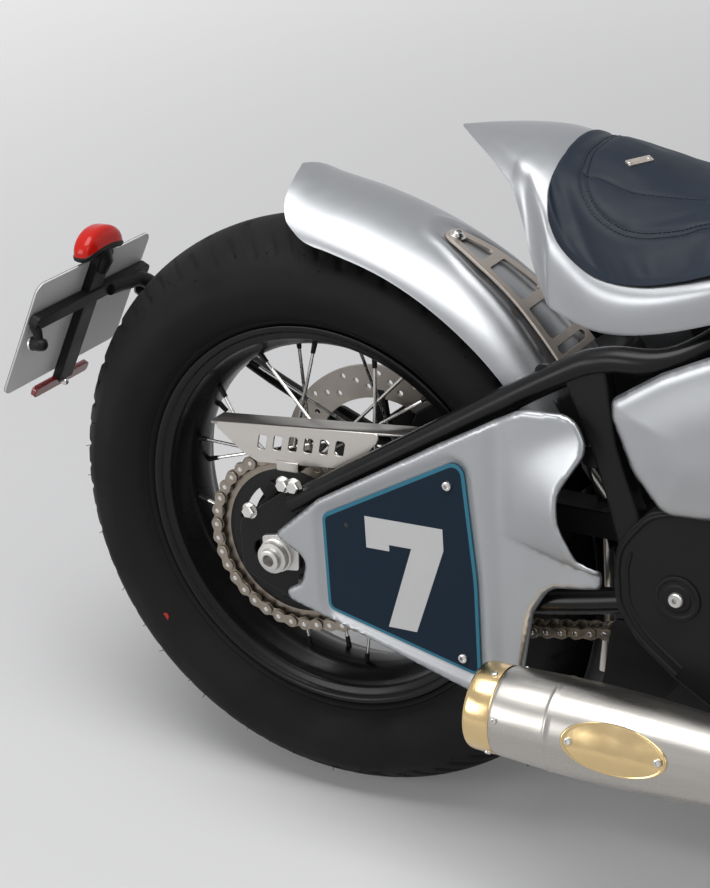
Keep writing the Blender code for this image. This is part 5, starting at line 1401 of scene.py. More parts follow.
SILENCER_BODY = [
    # x, radius
    (0.2957, 0.0424), (0.2968, 0.0431), (0.3, 0.0435), (0.32, 0.0445), (0.34, 0.0454), (0.35, 0.0458),
    (0.3522, 0.046), (0.3532, 0.0466), (0.355, 0.0467), (0.3562, 0.0461), (0.36, 0.0461), (0.38, 0.0463),
    (0.4, 0.0463), (0.43, 0.0456), (0.46, 0.044), (0.5, 0.0415), (0.54, 0.0392), (0.58, 0.0371),
    (0.62, 0.035), (0.66, 0.033), (0.7, 0.0308), (0.74, 0.0288), (0.78, 0.0266), (0.805, 0.025),
    (0.817, 0.024), (0.82, 0.0232),
]
SILENCER_CAP = [
    # along from its rear edge, radius
    (0.0277, 0.0414), (0.0278, 0.0426), (0.0268, 0.0434), (0.025, 0.0436), (0.012, 0.0434), (0.006, 0.0431),
    (0.003, 0.0427), (0.0012, 0.0419), (0.0002, 0.0406), (0.0001, 0.0396), (0.0008, 0.0386), (0.0024, 0.0379),
    (0.005, 0.0377), (0.01, 0.038), (0.018, 0.0388), (0.026, 0.0396),
]
CAP_REAR = 0.268
BADGE_X = 0.424
BADGE_ANGLE = radians(16)
BADGE_HALF_LENGTH = 0.052
BADGE_HALF_WIDTH = 0.0245


def silencer_point(x, side):
    bend = 0.006 * max(0.0, (x - 0.5) / 0.33)
    return Vector((x, side * (0.215 - bend), 0.2445 - 0.0375 * (x - 0.26)))


def silencer_radius(x):
    return float(np.interp(x, [row[0] for row in SILENCER_BODY], [row[1] for row in SILENCER_BODY]))


def on_silencer(x, angle, side, up):
    """A point over the silencer's skin, angle up from its outer side."""
    r = silencer_radius(x) + up
    middle = silencer_point(x, side)
    return middle + Vector((0, side * r * cos(angle), r * sin(angle)))


def silencer(side, name):
    """The tapering body with its brass end ring, mouth and rivets."""
    xs = [row[0] for row in SILENCER_BODY]
    skin = tube([silencer_point(x, side) for x in xs], [row[1] for row in SILENCER_BODY], 96)
    piece(f"silencer_{name}_skin", skin, BRUSHED, replaces=(f"silencer_{name}",), sharp=30)
    rear = silencer_point(CAP_REAR, side)
    ahead = (silencer_point(0.45, side) - rear).normalized()
    across = Vector((0, 1, 0))
    lay = frame_at(rear, ahead.cross(across), ahead, across)
    cap = lathe([(r, along) for along, r in SILENCER_CAP], 96, True)
    piece(f"silencer_{name}_ring", cap, BRASS, replaces=(f"silencer_cap_{name}",), place=BIKE @ lay, sharp=30)
    # The mouth is black throughout: painted shade for the dark inside of the open pipe, which a black disc
    # closes a little way in.
    mouth = lathe([(0.0398, 0.023), (0.0382, 0.017), (0.023, 0.0148), (0.0205, 0.014), (0.0197, 0.0165),
                   (0.0197, 0.0268), (0.0, 0.027)], 64, False)
    piece(f"silencer_{name}_mouth", mouth, SOFT_BLACK, place=BIKE @ lay, sharp=30)
    heads = []
    for degrees_up in (-44, 76, 196):
        a = radians(degrees_up)
        out = Vector((0, side * cos(a), sin(a)))
        heads.append(screw(silencer_point(0.2895, side) + out * 0.0434, out, 0.0034, 0.0024))
        b = a + radians(60)
        out = Vector((0, side * cos(b), sin(b)))
        heads.append(screw(silencer_point(0.303, side) + out * 0.0436, out, 0.0032, 0.0022))
    piece(f"silencer_{name}_screws", together(heads), BRIGHT_STEEL)


def silencer_oval(side, name):
    """A blank brass badge wrapped on the silencer's side."""
    rows = []
    for share, rise in ((0.0, 0.0013), (0.35, 0.0013), (0.7, 0.0012), (0.9, 0.0011), (0.925, 0.0012),
                        (0.945, 0.0019), (0.965, 0.0021), (0.985, 0.0018), (1.0, 0.001), (1.0, -0.0004)):
        row = []
        for k in range(72):
            t = 2 * pi * k / 72
            along = BADGE_HALF_LENGTH * share * cos(t)
            arc = BADGE_HALF_WIDTH * share * sin(t)
            angle = BADGE_ANGLE + arc / silencer_radius(BADGE_X)
            row.append(on_silencer(BADGE_X + along, angle, side, rise))
        rows.append(row)
    bm = grid(rows, wrap_columns=True)
    bmesh.ops.remove_doubles(bm, verts=bm.verts, dist=0.00001)
    piece(f"silencer_{name}_oval", bm, BRASS, sharp=50)
    ends = []
    for end in (-1, 1):
        spot = on_silencer(BADGE_X + end * 0.0435, BADGE_ANGLE, side, 0.0012)
        out = Vector((0, side * cos(BADGE_ANGLE), sin(BADGE_ANGLE)))
        ends.append(screw(spot, out, 0.004, 0.002, 0.0022))
    piece(f"silencer_{name}_oval_screws", together(ends), BRIGHT_STEEL)


def header(side, name):
    """The pipe from the cylinder head's front face to the silencer."""
    start = silencer_point(0.821, side)
    route = [start, start + Vector((0.06, -side * 0.004, 0.002)), Vector((0.96, side * 0.165, 0.27)),
             Vector((1.0, side * 0.15, 0.36)), Vector((1.01, side * 0.14, 0.47)),
             Vector((0.99, side * 0.105, 0.57)), Vector((0.95, side * 0.08, 0.612)),
             Vector((0.925, side * 0.075, 0.62)), Vector((0.9005, side * 0.075, 0.62))]
    pipe = tube(spline(route, 8), 0.019, 32)
    piece(f"header_{name}_pipe", pipe, HEADER_STEEL, replaces=(f"header_{name}",), sharp=40)
    clamp = [tube([start + Vector((-0.008, 0, 0)), start + Vector((0.014, 0, 0))], [0.0252, 0.0232], 40),
             lathe_at((0.906, side * 0.075, 0.62), (1, 0, 0),
                      [(0.0195, -0.005), (0.0275, -0.005), (0.0275, 0.003), (0.0195, 0.003)], 40)]
    bevel(piece(f"header_{name}_clamps", together(clamp), BRIGHT_STEEL), 0.0008, 2)


def exhausts():
    for side, name in SIDES:
        silencer(side, name)
        silencer_oval(side, name)
        header(side, name)


# Plate, lamp, indicators and their bracket

PLATE_W = 0.21
PLATE_H = 0.152
PLATE_GAP = 0.0013


def plate_frame():
    down = Vector((-sin(PLATE_TILT), 0, -cos(PLATE_TILT)))
    ahead = Vector((cos(PLATE_TILT), 0, -sin(PLATE_TILT)))
    middle = PLATE_TOP + down * PLATE_H / 2
    return frame_at(middle, Vector((0, 1, 0)), ahead, down)


def plate_group():
    """In the plate's own frame: X to the bike's left, Y forward and Z down the plate."""
    lay = plate_frame()
    outline = rounded_rectangle(-PLATE_W / 2, PLATE_W / 2, -PLATE_H / 2, PLATE_H / 2, 0.012, 8)
    bevel(piece("plate_sheet", prism(outline, -0.001, 0.001), PLATE_GREY, replaces=("licence_plate",),
                place=BIKE @ lay), 0.0004)
    rim = carved(prism(outline, -0.0014, -0.0009), [prism(inset(outline, 0.0032), -0.01, 0.01)])
    piece("plate_border", rim, SATIN_BLACK, place=BIKE @ lay)
    bar_outline = rounded([(-0.013, -0.094, 0.01), (0.013, -0.094, 0.01), (0.013, 0.088, 0.003),
                           (-0.013, 0.088, 0.003)], 5)
    bar = prism(bar_outline, PLATE_GAP, PLATE_GAP + 0.0105)
    bevel(piece("bracket_bar", bar, SATIN_BLACK, replaces=("plate_bracket",), place=BIKE @ lay), 0.0009, 2)
    cross = rounded_rectangle(-0.106, 0.106, -0.039, -0.022, 0.008)
    cross_bar = prism(cross, PLATE_GAP + 0.002, PLATE_GAP + 0.0125)
    bevel(piece("bracket_cross", cross_bar, SATIN_BLACK, place=BIKE @ lay), 0.0009, 2)
    indicators(lay)
    bolts = [screw((0, PLATE_GAP + 0.003, z), (0, 1, 0), 0.0046, 0.0036) for z in (-0.062, 0.03, 0.07)]
    bolts.append(screw((0.0, PLATE_GAP + 0.0085, 0.0915), (0, 1, 0), 0.0045, 0.006))
    piece("bracket_screws", together(bolts), BRIGHT_STEEL, place=BIKE @ lay, sharp=40)
    reflector = rounded_rectangle(-0.05, 0.05, 0.085, 0.0985, 0.005)
    bevel(piece("reflector_lens", prism(reflector, PLATE_GAP + 0.0002, PLATE_GAP + 0.007), DARK_RED,
                replaces=("rear_reflector",), place=BIKE @ lay), 0.001, 3)
    bracket_arm(lay)
    tail_lamp(lay)


def indicators(lay):
    """Two short lamps on the bracket's cross bar, with smoked lenses."""
    stubs, lenses, caps = [], [], []
    for side in (-1, 1):
        foot = Vector((side * 0.1, PLATE_GAP + 0.0065, -0.026))
        stubs.append(tube([foot, foot + Vector((0, 0.006, 0.006)), foot + Vector((0, 0.011, 0.014))],
                          [0.0064, 0.0056, 0.005], 20))
        body = foot + Vector((0, 0.012, 0.018))
        turn = lay.to_3x3().inverted() @ Vector((-1, 0, 0))
        stubs.append(lathe_at(body, turn, [(0.0, -0.0105), (0.0038, -0.01), (0.0066, -0.0075),
                                           (0.0076, -0.0015), (0.0076, 0.0076), (0.0068, 0.0088),
                                           (0.0, 0.0088)], 32, False))
        lenses.append(lathe_at(body, turn, [(0.0, 0.0084), (0.0064, 0.0088), (0.0052, 0.011), (0.0, 0.0122)],
                               32, False))
        caps.append(lathe_at(body, turn, [(0.0068, 0.0072), (0.0081, 0.0072), (0.0081, 0.0095),
                                          (0.0068, 0.0095)], 32))
        caps.append(screw(foot + Vector((side * -0.006, -0.0002, 0.012)), (0, 1, 0), 0.0042, 0.0034))
    piece("indicator_bodies", together(stubs), SATIN_BLACK, place=BIKE @ lay, sharp=45)
    piece("indicator_lenses", together(lenses), SMOKED_LENS, place=BIKE @ lay, sharp=45)
    piece("indicator_rings", together(caps), BRIGHT_STEEL, place=BIKE @ lay, sharp=40)


def bracket_arm(lay):
    """The round arm from the left of the axle up to the plate, with its foot."""
    arm = [lay @ Vector((0.03, PLATE_GAP + 0.01, -0.03)), lay @ Vector((0.06, PLATE_GAP + 0.014, -0.03)),
           lay @ Vector((0.085, PLATE_GAP + 0.026, -0.03)), Vector((-0.262, 0.1177, 0.465)),
           Vector((-0.16, 0.1177, 0.405)), Vector((-0.03, 0.1177, 0.345))]
    foot = [Vector((-0.03, 0.1185, 0.345)), Vector((-0.03, 0.1267, 0.345))]
    parts = [tube(spline(arm, 6), 0.0088, 24), tube(foot, 0.015, 32)]
    plate = moved(prism(rounded([(-0.06, -0.012, 0.011), (-0.03, -0.016, 0.015), (0.016, -0.016, 0.015),
                                 (0.016, 0.016, 0.015), (-0.06, 0.012, 0.011)], 5), -0.003, 0.003),
                  Matrix.Translation((-0.03, 0.122, 0.345)) @ Matrix.Rotation(radians(27), 4, "Y"))
    parts.append(plate)
    bevel(piece("bracket_arm", together(parts), SATIN_BLACK, sharp=40), 0.0008, 2, 50)


def tail_lamp(lay):
    """A low red dome on a curved black base that stands over the plate's top edge."""
    seat = lay @ Vector((0, PLATE_GAP + 0.006, -0.0815))
    middle = Vector((-0.2975, 0, 0.585))

    def ring(half_x, half_y, up, sag):
        row = []
        for k in range(64):
            a = 2 * pi * k / 64
            out_x = half_x * abs(cos(a)) ** 0.55 * (1 if cos(a) > 0 else -1)
            out_y = half_y * abs(sin(a)) ** 0.75 * (1 if sin(a) > 0 else -1)
            row.append(middle + Vector((out_x, out_y, up - sag * (out_y / 0.036) ** 2)))
        return row

    rows = [ring(0.014, 0.036, 0.0006, 0.0065)]
    for j in range(15):
        t = (pi / 2) * j / 14
        rows.append(ring(0.0138 * cos(t) ** 0.42, 0.0358 * cos(t) ** 0.85, 0.004 + 0.017 * sin(t), 0.0065))
    bm = grid(rows, wrap_columns=True)
    bmesh.ops.remove_doubles(bm, verts=bm.verts, dist=0.0004)
    piece("tail_lamp_lens", bm, RED_LENS, replaces=("tail_lamp",), sharp=60)
    rows = [ring(0.0136 + grow, 0.0356 + grow, up, 0.0065)
            for up, grow in ((0.0008, -0.003), (0.0008, 0.0008), (-0.0002, 0.0013), (-0.003, 0.001),
                             (-0.0062, -0.002), (-0.0066, -0.008))]
    bm = grid(rows, wrap_columns=True)
    bmesh.ops.holes_fill(bm, edges=bm.edges[:], sides=0)
    piece("tail_lamp_base", bm, SATIN_BLACK, sharp=60)
    neck = tube([middle + Vector((0.002, 0, -0.004)), seat + Vector((0.001, 0, -0.004)),
                 lay @ Vector((0, 0.009, -0.066))], [0.012, 0.0105, 0.009], 24)
    piece("tail_lamp_neck", neck, SATIN_BLACK, sharp=40)
    ends = [screw(middle + Vector((0.006, side * 0.018, -0.0068)), (0.3, 0, -1), 0.0034, 0.0026)
            for side in (-1, 1)]
    piece("tail_lamp_screws", together(ends), BRIGHT_STEEL)


# Rear cage, axle ends and what they carry

TUBE_Y = 0.133
PIVOT = (0.443, 0.36)
CAGE_BAR = (0.352, 0.48)
FRAME_BAR = (0.615, 0.655)


def on_side(points, side):
    return [Vector((x, side * y, z)) for x, y, z in points]


def rear_cage():
    upper = [(0.02, TUBE_Y, 0.38), (0.17, TUBE_Y, 0.4685), (0.32, TUBE_Y, 0.557), (0.37, TUBE_Y, 0.578),
             (0.44, 0.126, 0.586), (0.52, 0.066, 0.636)]
    lower = [(0.025, TUBE_Y, 0.292), (0.16, TUBE_Y, 0.306), (0.3, TUBE_Y, 0.322),
             (PIVOT[0], TUBE_Y, PIVOT[1] - 0.008)]
    tubes, plates, bosses = [], [], []
    for side in (1, -1):
        tubes += [tube(spline(on_side(line, side), 8), 0.013, 28) for line in (upper, lower)]
        bosses.append(lathe_at((PIVOT[0], side * TUBE_Y, PIVOT[1]), (0, side, 0),
                               [(0.0, -0.02), (0.024, -0.02), (0.024, 0.011), (0.0225, 0.013), (0.0, 0.013)],
                               48, False))
        for x, z in ((0.3, 0.322), (0.318, 0.556)):
            plate = prism(rounded_rectangle(-0.02, 0.02, -0.011, 0.011, 0.008, 4), side * 0.1305,
                          side * 0.1355)
            plates.append(moved(plate, Matrix.Translation((x, 0, z))))
    piece("cage_tubes", together(tubes), GLOSS_BLACK, replaces=("rear_cage",), sharp=60)
    piece("cage_bosses", together(bosses), GLOSS_BLACK, sharp=40)
    bars = [drum((CAGE_BAR[0], -TUBE_Y, CAGE_BAR[1]), (CAGE_BAR[0], TUBE_Y, CAGE_BAR[1]), 0.011, 24),
            drum((0.52, -0.075, 0.642), (0.52, 0.075, 0.642), 0.013, 24),
            drum((PIVOT[0], -0.13, PIVOT[1]), (PIVOT[0], 0.13, PIVOT[1]), 0.018, 32)]
    piece("cage_bars", together(bars + plates), GLOSS_BLACK, sharp=40)
    for side, name in SIDES:
        axle_carrier(side, name)
    caliper("rear_caliper", Matrix.Translation((0, 0, REAR_AXLE_Z)), REAR_DISC_R, REAR_DISC_Y, 0.127,
            radians(42), 0.062, "root")


def axle_carrier(side, name):
    """The plate that holds the axle, the flat beam ahead of it, and the axle's end with its adjuster."""
    upright = rounded([(0.326, 0.568, 0.006), (0.342, 0.53, 0.03), (0.354, 0.5, 0.03), (0.37, 0.446, 0.03),
                       (0.382, 0.396, 0.03), (0.398, 0.356, 0.01), (0.432, 0.38, 0.01), (0.406, 0.424, 0.03),
                       (0.391, 0.468, 0.03), (0.382, 0.5, 0.03), (0.376, 0.546, 0.02),
                       (0.371, 0.578, 0.006)], 5)
    carrier = rounded([(-0.046, 0.296, 0.014), (-0.046, 0.352, 0.014), (0.014, 0.396, 0.012),
                       (0.048, 0.404, 0.01), (0.06, 0.33, 0.012), (0.052, 0.274, 0.012),
                       (0.01, 0.272, 0.016)], 6)
    window = rounded([(-0.03, 0.312, 0.01), (-0.03, 0.334, 0.01), (0.026, 0.334, 0.01),
                      (0.026, 0.312, 0.01)], 6)
    body = carved(prism(carrier, side * 0.127, side * 0.139), [prism(window, side * 0.1, side * 0.16)])
    bevel(piece(f"axle_carrier_{name}", body, SATIN_BLACK), 0.0012, 2)
    bevel(piece(f"cage_beam_{name}", prism(upright, side * 0.122, side * 0.143), SATIN_BLACK), 0.003, 3)
    face = side * 0.1392
    slide = rounded([(-0.016, 0.304, 0.004), (-0.016, 0.342, 0.004), (0.022, 0.35, 0.004),
                     (0.028, 0.346, 0.003), (0.026, 0.309, 0.004)], 4)
    bevel(piece(f"axle_slide_{name}", prism(slide, face, face + side * 0.005), CAST_SILVER), 0.0007, 2)
    nut = [(0.0062, 0.005), (0.0185, 0.005), (0.0185, 0.007), (0.0165, 0.0078), (0.0165, 0.015),
           (0.012, 0.0158), (0.0112, 0.021), (0.0098, 0.0218), (0.0066, 0.0218), (0.0062, 0.0205)]
    shape = lathe_at((0, face, REAR_AXLE_Z), (0, side, 0), nut, 48)
    core = lathe_at((0, face, REAR_AXLE_Z), (0, side, 0),
                    [(0.0, 0.0105), (0.0063, 0.0105), (0.0063, 0.009), (0.0, 0.009)], 32, False)
    piece(f"axle_end_{name}", together([shape, core]), CAST_SILVER, replaces=("rear_axle",) if side < 0
          else ())
    hexes = []
    for x, z in ((0.013, 0.402), (0.026, 0.402), (-0.031, 0.366), (0.0465, 0.29)):
        hexes.append(lathe_at((x, face, z), (0, side, 0),
                              [(0.0, 0.0), (0.0088, 0.0), (0.0088, 0.0012), (0.0, 0.0012)], 28, False))
        hexes.append(lathe_at((x, face + side * 0.001, z), (0, side, 0),
                              [(0.0, 0.0), (0.0072, 0.0), (0.0072, 0.005), (0.006, 0.0062), (0.0, 0.0062)], 6,
                              False))
    piece(f"carrier_bolts_{name}", together(hexes), BRIGHT_STEEL, sharp=30)
    adjust = [drum((0.03, side * 0.133, 0.327), (0.066, side * 0.133, 0.329), 0.0042, 16),
              drum((0.034, side * 0.133, 0.3272), (0.04, side * 0.133, 0.3276), 0.0085, 6)]
    bevel(piece(f"chain_adjuster_{name}", together(adjust), CAST_SILVER), 0.0006, 1)


def caliper(name, shift, radius, disc_y, outer_y, angle, hub_side, body):
    """A two-piece brake caliper with pads, body bolts, a piston cap and a bleed nipple."""
    gap = 0.008
    low, top = radius - 0.042, radius + 0.0195
    turn = shift @ Matrix.Rotation(-angle, 4, "Y")
    halves = []
    for y0, y1, half in ((disc_y + gap, outer_y, 0.031), (hub_side, disc_y - gap, 0.028)):
        shape = rounded([(low, -half + 0.006, 0.008), (low + 0.016, -half, 0.008),
                         (top, -half + 0.008, 0.01), (top, half - 0.008, 0.01), (low + 0.016, half, 0.008),
                         (low, half - 0.006, 0.008)], 5)
        halves.append(prism(shape, y0, y1))
    bridge = prism(rounded([(radius + 0.0062, -0.018, 0.003), (top - 0.002, -0.018, 0.004),
                            (top - 0.002, 0.018, 0.004), (radius + 0.0062, 0.018, 0.003)], 4),
                   hub_side + 0.002, outer_y - 0.002)
    shape = moved(together(halves + [bridge]), turn)
    bevel(piece(name, shape, SATIN_BLACK, body), 0.0022, 3)
    bolts = []
    for z in (-0.019, 0.019):
        for x in (low + 0.012, top - 0.011):
            bolts.append(screw(turn @ Vector((x, outer_y, z)), turn.to_3x3() @ Vector((0, 1, 0)), 0.0048,
                               0.0036))
    piston = lathe_at(turn @ Vector(((low + top) / 2 - 0.002, outer_y, 0)),
                      turn.to_3x3() @ Vector((0, 1, 0)),
                      [(0.0, 0.0), (0.014, 0.0), (0.014, 0.0014), (0.0118, 0.0022), (0.011, 0.001),
                       (0.0, 0.001)], 40, False)
    nipple = tube([turn @ Vector((top - 0.002, (disc_y + outer_y) / 2, 0.024)),
                   turn @ Vector((top + 0.008, (disc_y + outer_y) / 2, 0.028))], [0.003, 0.002], 12)
    piece(name + "_hardware", together(bolts + [piston, nipple]), CAST_SILVER, body, sharp=30)
    pads = [prism([(low + 0.004, -0.022), (radius + 0.001, -0.022), (radius + 0.001, 0.022),
                   (low + 0.004, 0.022)], y0, y1)
            for y0, y1 in ((disc_y + 0.0058, disc_y + 0.0095), (disc_y - 0.0095, disc_y - 0.0058))]
    piece(name + "_pads", moved(together(pads), turn), SOFT_BLACK, body)


def shock():
    low, high = Vector((CAGE_BAR[0], 0, CAGE_BAR[1])), Vector((FRAME_BAR[0], 0, FRAME_BAR[1]))
    along = (high - low).normalized()
    length = (high - low).length
    rod = lathe_at(low, along, [(0.0, 0.0113), (0.01, 0.0113), (0.01, 0.066), (0.0055, 0.07),
                                (0.0055, length - 0.06), (0.01, length - 0.055), (0.01, length - 0.0173),
                                (0.0, length - 0.0173)], 32, False)
    body = lathe_at(low, along, [(0.006, 0.062), (0.0255, 0.062), (0.026, 0.066), (0.026, 0.071),
                                 (0.0175, 0.073), (0.017, 0.232), (0.0258, 0.235), (0.0258, 0.241),
                                 (0.006, 0.242)], 48, False)
    piece("shock_body", together([rod, body]), SATIN_BLACK, replaces=("rear_shock",), sharp=40)
    side = Vector((0, 1, 0))
    up = along.cross(side)
    turns = 7.5
    coil = []
    for k in range(181):
        t = k / 180
        a = 2 * pi * turns * t
        coil.append(low + along * (0.0755 + 0.154 * t) + (side * cos(a) + up * sin(a)) * 0.0212)
    piece("shock_spring", tube(coil, 0.0044, 10), SATIN_BLACK, sharp=60)


def side_covers():
    outline = rounded([(0.381, 0.53, 0.014), (0.381, 0.548, 0.012), (0.43, 0.579, 0.03), (0.476, 0.6, 0.03),
                       (0.6, 0.625, 0.035), (0.64, 0.56, 0.045), (0.6, 0.45, 0.035), (0.476, 0.4425, 0.05),
                       (0.43, 0.441, 0.024), (0.4, 0.48, 0.03)], 8)

    def height(points, edge):
        pillow = smooth_step(0.0, 0.06, edge)
        near = np.clip((0.012 - edge) / 0.012, 0, 1)
        dip = np.zeros(len(points))
        for k in range(5):
            x = 0.553 + 0.0105 * k
            line = np.abs(points[:, 0] - x - 0.1 * (points[:, 1] - 0.535))
            dip += 0.0016 * np.exp(-(line / 0.0018) ** 2) * smooth_step(0.497, 0.505, points[:, 1]) * (
                1 - smooth_step(0.562, 0.57, points[:, 1]))
        return 0.1562 + 0.0068 * pillow - 0.0075 * (1 - np.sqrt(1 - near ** 2)) - dip

    for side, name in SIDES:
        cover = piece(f"side_cover_{name}_skin", relief_plate("cover", outline, side, height, 0.003),
                      SATIN_SILVER, replaces=(f"side_cover_{name}",), sharp=60)
        thicken(cover, 0.0016)


# Frame

HEAD = Vector((1.1968, 0, 0.83))
HEAD_UP = Vector((-sin(RAKE), 0, cos(RAKE)))
SPINE = [HEAD + Vector(step) for step in ((-0.01, 0, 0.01), (-0.177, 0, -0.032), (-0.437, 0, -0.092))]
SPINE.append(Vector((FRAME_BAR[0], 0, FRAME_BAR[1])))
CASTING_ARC = [(0.485, 0.46), (0.447, 0.451), (0.417, 0.442), (0.399, 0.425), (0.384, 0.404), (0.379, 0.383),
               (0.379, 0.362), (0.382, 0.338), (0.402, 0.306), (0.438, 0.275), (0.471, 0.254)]
RIGHT_CASTING = [(0.504, 0.229), (0.545, 0.205), (0.57, 0.225), (0.548, 0.3), (0.54, 0.38), (0.53, 0.452)]
LEFT_CASTING = [(0.5, 0.256), (0.54, 0.28), (0.54, 0.38), (0.53, 0.452)]
CASTING_PAD = [(0.405, 0.366, 0.012), (0.41, 0.394, 0.014), (0.428, 0.41, 0.01), (0.463, 0.43, 0.005),
               (0.472, 0.419, 0.008), (0.486, 0.366, 0.02), (0.478, 0.338, 0.008), (0.441, 0.306, 0.003),
               (0.424, 0.328, 0.02)]


def main_frame():
    run = [(0.615, 0.062, 0.655), (0.535, 0.125, 0.585), (0.5, 0.137, 0.48), (0.508, 0.137, 0.36),
           (0.53, 0.13, 0.26), (0.6, 0.105, 0.185), (0.75, 0.1, 0.1825), (0.9, 0.095, 0.18),
           (HEAD.x - 0.212, 0.085, 0.24), (HEAD.x - 0.112, 0.0485, 0.518),
           (HEAD.x - 0.012, 0.012, HEAD.z - 0.035)]
    bars = [tube(spline(SPINE, 6), 0.0238, 36)]
    for side in (1, -1):
        bars.append(tube(spline(on_side(run, side), 8), 0.016, 28))
        rest = [(0.905, 0.096, 0.182), (0.905, 0.144, 0.205), (0.905, 0.146, 0.285), (0.905, 0.225, 0.2945)]
        bars.append(tube(spline(on_side(rest, side), 6), 0.0095, 20))
    bars.append(drum((FRAME_BAR[0], -0.066, FRAME_BAR[1]), (FRAME_BAR[0], 0.066, FRAME_BAR[1]), 0.017, 28))
    bars.append(drum((0.6, -0.105, 0.185), (0.6, 0.105, 0.185), 0.014, 24))
    bars.append(drum((0.9, -0.1, 0.18), (0.9, 0.1, 0.18), 0.014, 24))
    bars.append(drum((0.61, 0, FRAME_BAR[1]), (0.61, 0, 0.6915), 0.006, 16))
    bars.append(drum((HEAD.x - 0.337, -0.0265, HEAD.z - 0.079), (HEAD.x - 0.337, 0.0265, HEAD.z - 0.079),
                     0.008, 20))
    piece("frame_tubes", together(bars), GLOSS_BLACK, replaces=("main_frame",), sharp=60)
    head = lathe_at(HEAD, HEAD_UP, [(0.0178, -0.055), (0.03, -0.055), (0.03, -0.045), (0.028, -0.043),
                                 (0.028, 0.058), (0.03, 0.06), (0.03, 0.07), (0.0178, 0.07)], 64)
    corners = ((-0.15, -0.04), (-0.02, -0.03), (-0.055, -0.115))
    gusset = [(HEAD.x + x, HEAD.z + z) for x, z in corners]
    gussets = [prism(gusset, side * 0.01, side * 0.014) for side in (1, -1)]
    bevel(piece("steering_head", together([head] + gussets), GLOSS_BLACK, sharp=40), 0.0012, 2, 50)
    plates, bolts = [], []
    for side, name in ((1, "left"), (-1, "right")):
        pivot_casting(side, name)
        plates.append(block((0.5, side * 0.132, 0.345), (0.03, 0.034, 0.1)))
        plates.append(drum((0.502, side * 0.137, 0.487), (0.502, side * 0.154, 0.487), 0.008, 20))
        plates.append(block((0.74, side * 0.1, 0.1997), (0.04, 0.02, 0.03)))
        spot = (0.4435, side * 0.1508, 0.3595)
        plates.append(lathe_at(spot, (0, side, 0),
                               [(0.0, 0.0), (0.0225, 0.0), (0.0225, 0.0012), (0.019, 0.0016),
                                (0.0182, 0.0006), (0.014, 0.0006), (0.0132, 0.002), (0.0, 0.002)], 56,
                               False))
        bolts.append(lathe_at(spot, (0, side, 0),
                              [(0.0, 0.002), (0.0072, 0.002), (0.0072, 0.0052), (0.0062, 0.0064),
                               (0.003, 0.0064), (0.003, 0.0034), (0.0, 0.0034)], 36, False))
    bevel(piece("frame_lugs", together(plates), SATIN_BLACK, sharp=40), 0.0014, 2, 50)
    piece("frame_bolts", together(bolts), CAST_SILVER)
    foot_pegs()
    lug = block((0.583, 0.118, 0.188), (0.04, 0.022, 0.036))
    bevel(piece("stand_lug", together([lug]), SATIN_BLACK), 0.002, 2)


def pivot_casting(side, name):
    """The cast side plate above the rear cage's pivot, with its raised rim and the machined pad."""
    ends = LEFT_CASTING if side > 0 else RIGHT_CASTING
    outline = rounded([(x, z, 0.016) for x, z in CASTING_ARC + ends], 5)
    bevel(piece(f"pivot_casting_{name}", prism(outline, side * 0.12, side * 0.15), SATIN_BLACK), 0.0022, 3)
    rim = [(x, side * 0.1496, z) for x, z in inset(CASTING_ARC, 0.0055)[1:-1]]
    ridge = [(x, side * 0.1496, z) for x, z in inset(CASTING_ARC, 0.015)[4:-1]]
    piece(f"pivot_casting_ribs_{name}",
          together([tube(spline(rim, 6), 0.0026, 12), tube(spline(ridge, 6), 0.002, 12)]), SATIN_BLACK,
          sharp=60)
    pad = rounded(CASTING_PAD, 6)
    holes = [drum((x, side * 0.144, z), (x, side * 0.17, z), r, 40)
             for x, z, r in ((0.452, 0.405, 0.008), (0.442, 0.3275, 0.0078))]
    holes.append(drum((0.4435, side * 0.151, 0.3595), (0.4435, side * 0.17, 0.3595), 0.0245, 64))
    bevel(piece(f"pivot_plate_{name}", carved(prism(pad, side * 0.149, side * 0.1543), holes), SATIN_BLACK),
          0.0012, 2)


def foot_pegs():
    pegs, caps = [], []
    for side in (1, -1):
        profile = [(0.0, 0.0)]
        for k in range(7):
            a = 0.004 + 0.0135 * k
            profile += [(0.0105, a), (0.014, a + 0.002), (0.014, a + 0.0085), (0.0105, a + 0.0105)]
        profile += [(0.0105, 0.1), (0.0, 0.1)]
        pegs.append(lathe_at((0.905, side * 0.226, 0.2946), (0, side, 0.0473), profile, 28, False))
        caps.append(lathe_at((0.905, side * 0.222, 0.2944), (0, side, 0.0473),
                             [(0.0, -0.006), (0.012, -0.006), (0.013, 0.002), (0.0, 0.004)], 28, False))
    piece("foot_pegs", together(pegs), SOFT_BLACK, sharp=40)
    piece("foot_peg_collars", together(caps), CAST_SILVER, sharp=40)
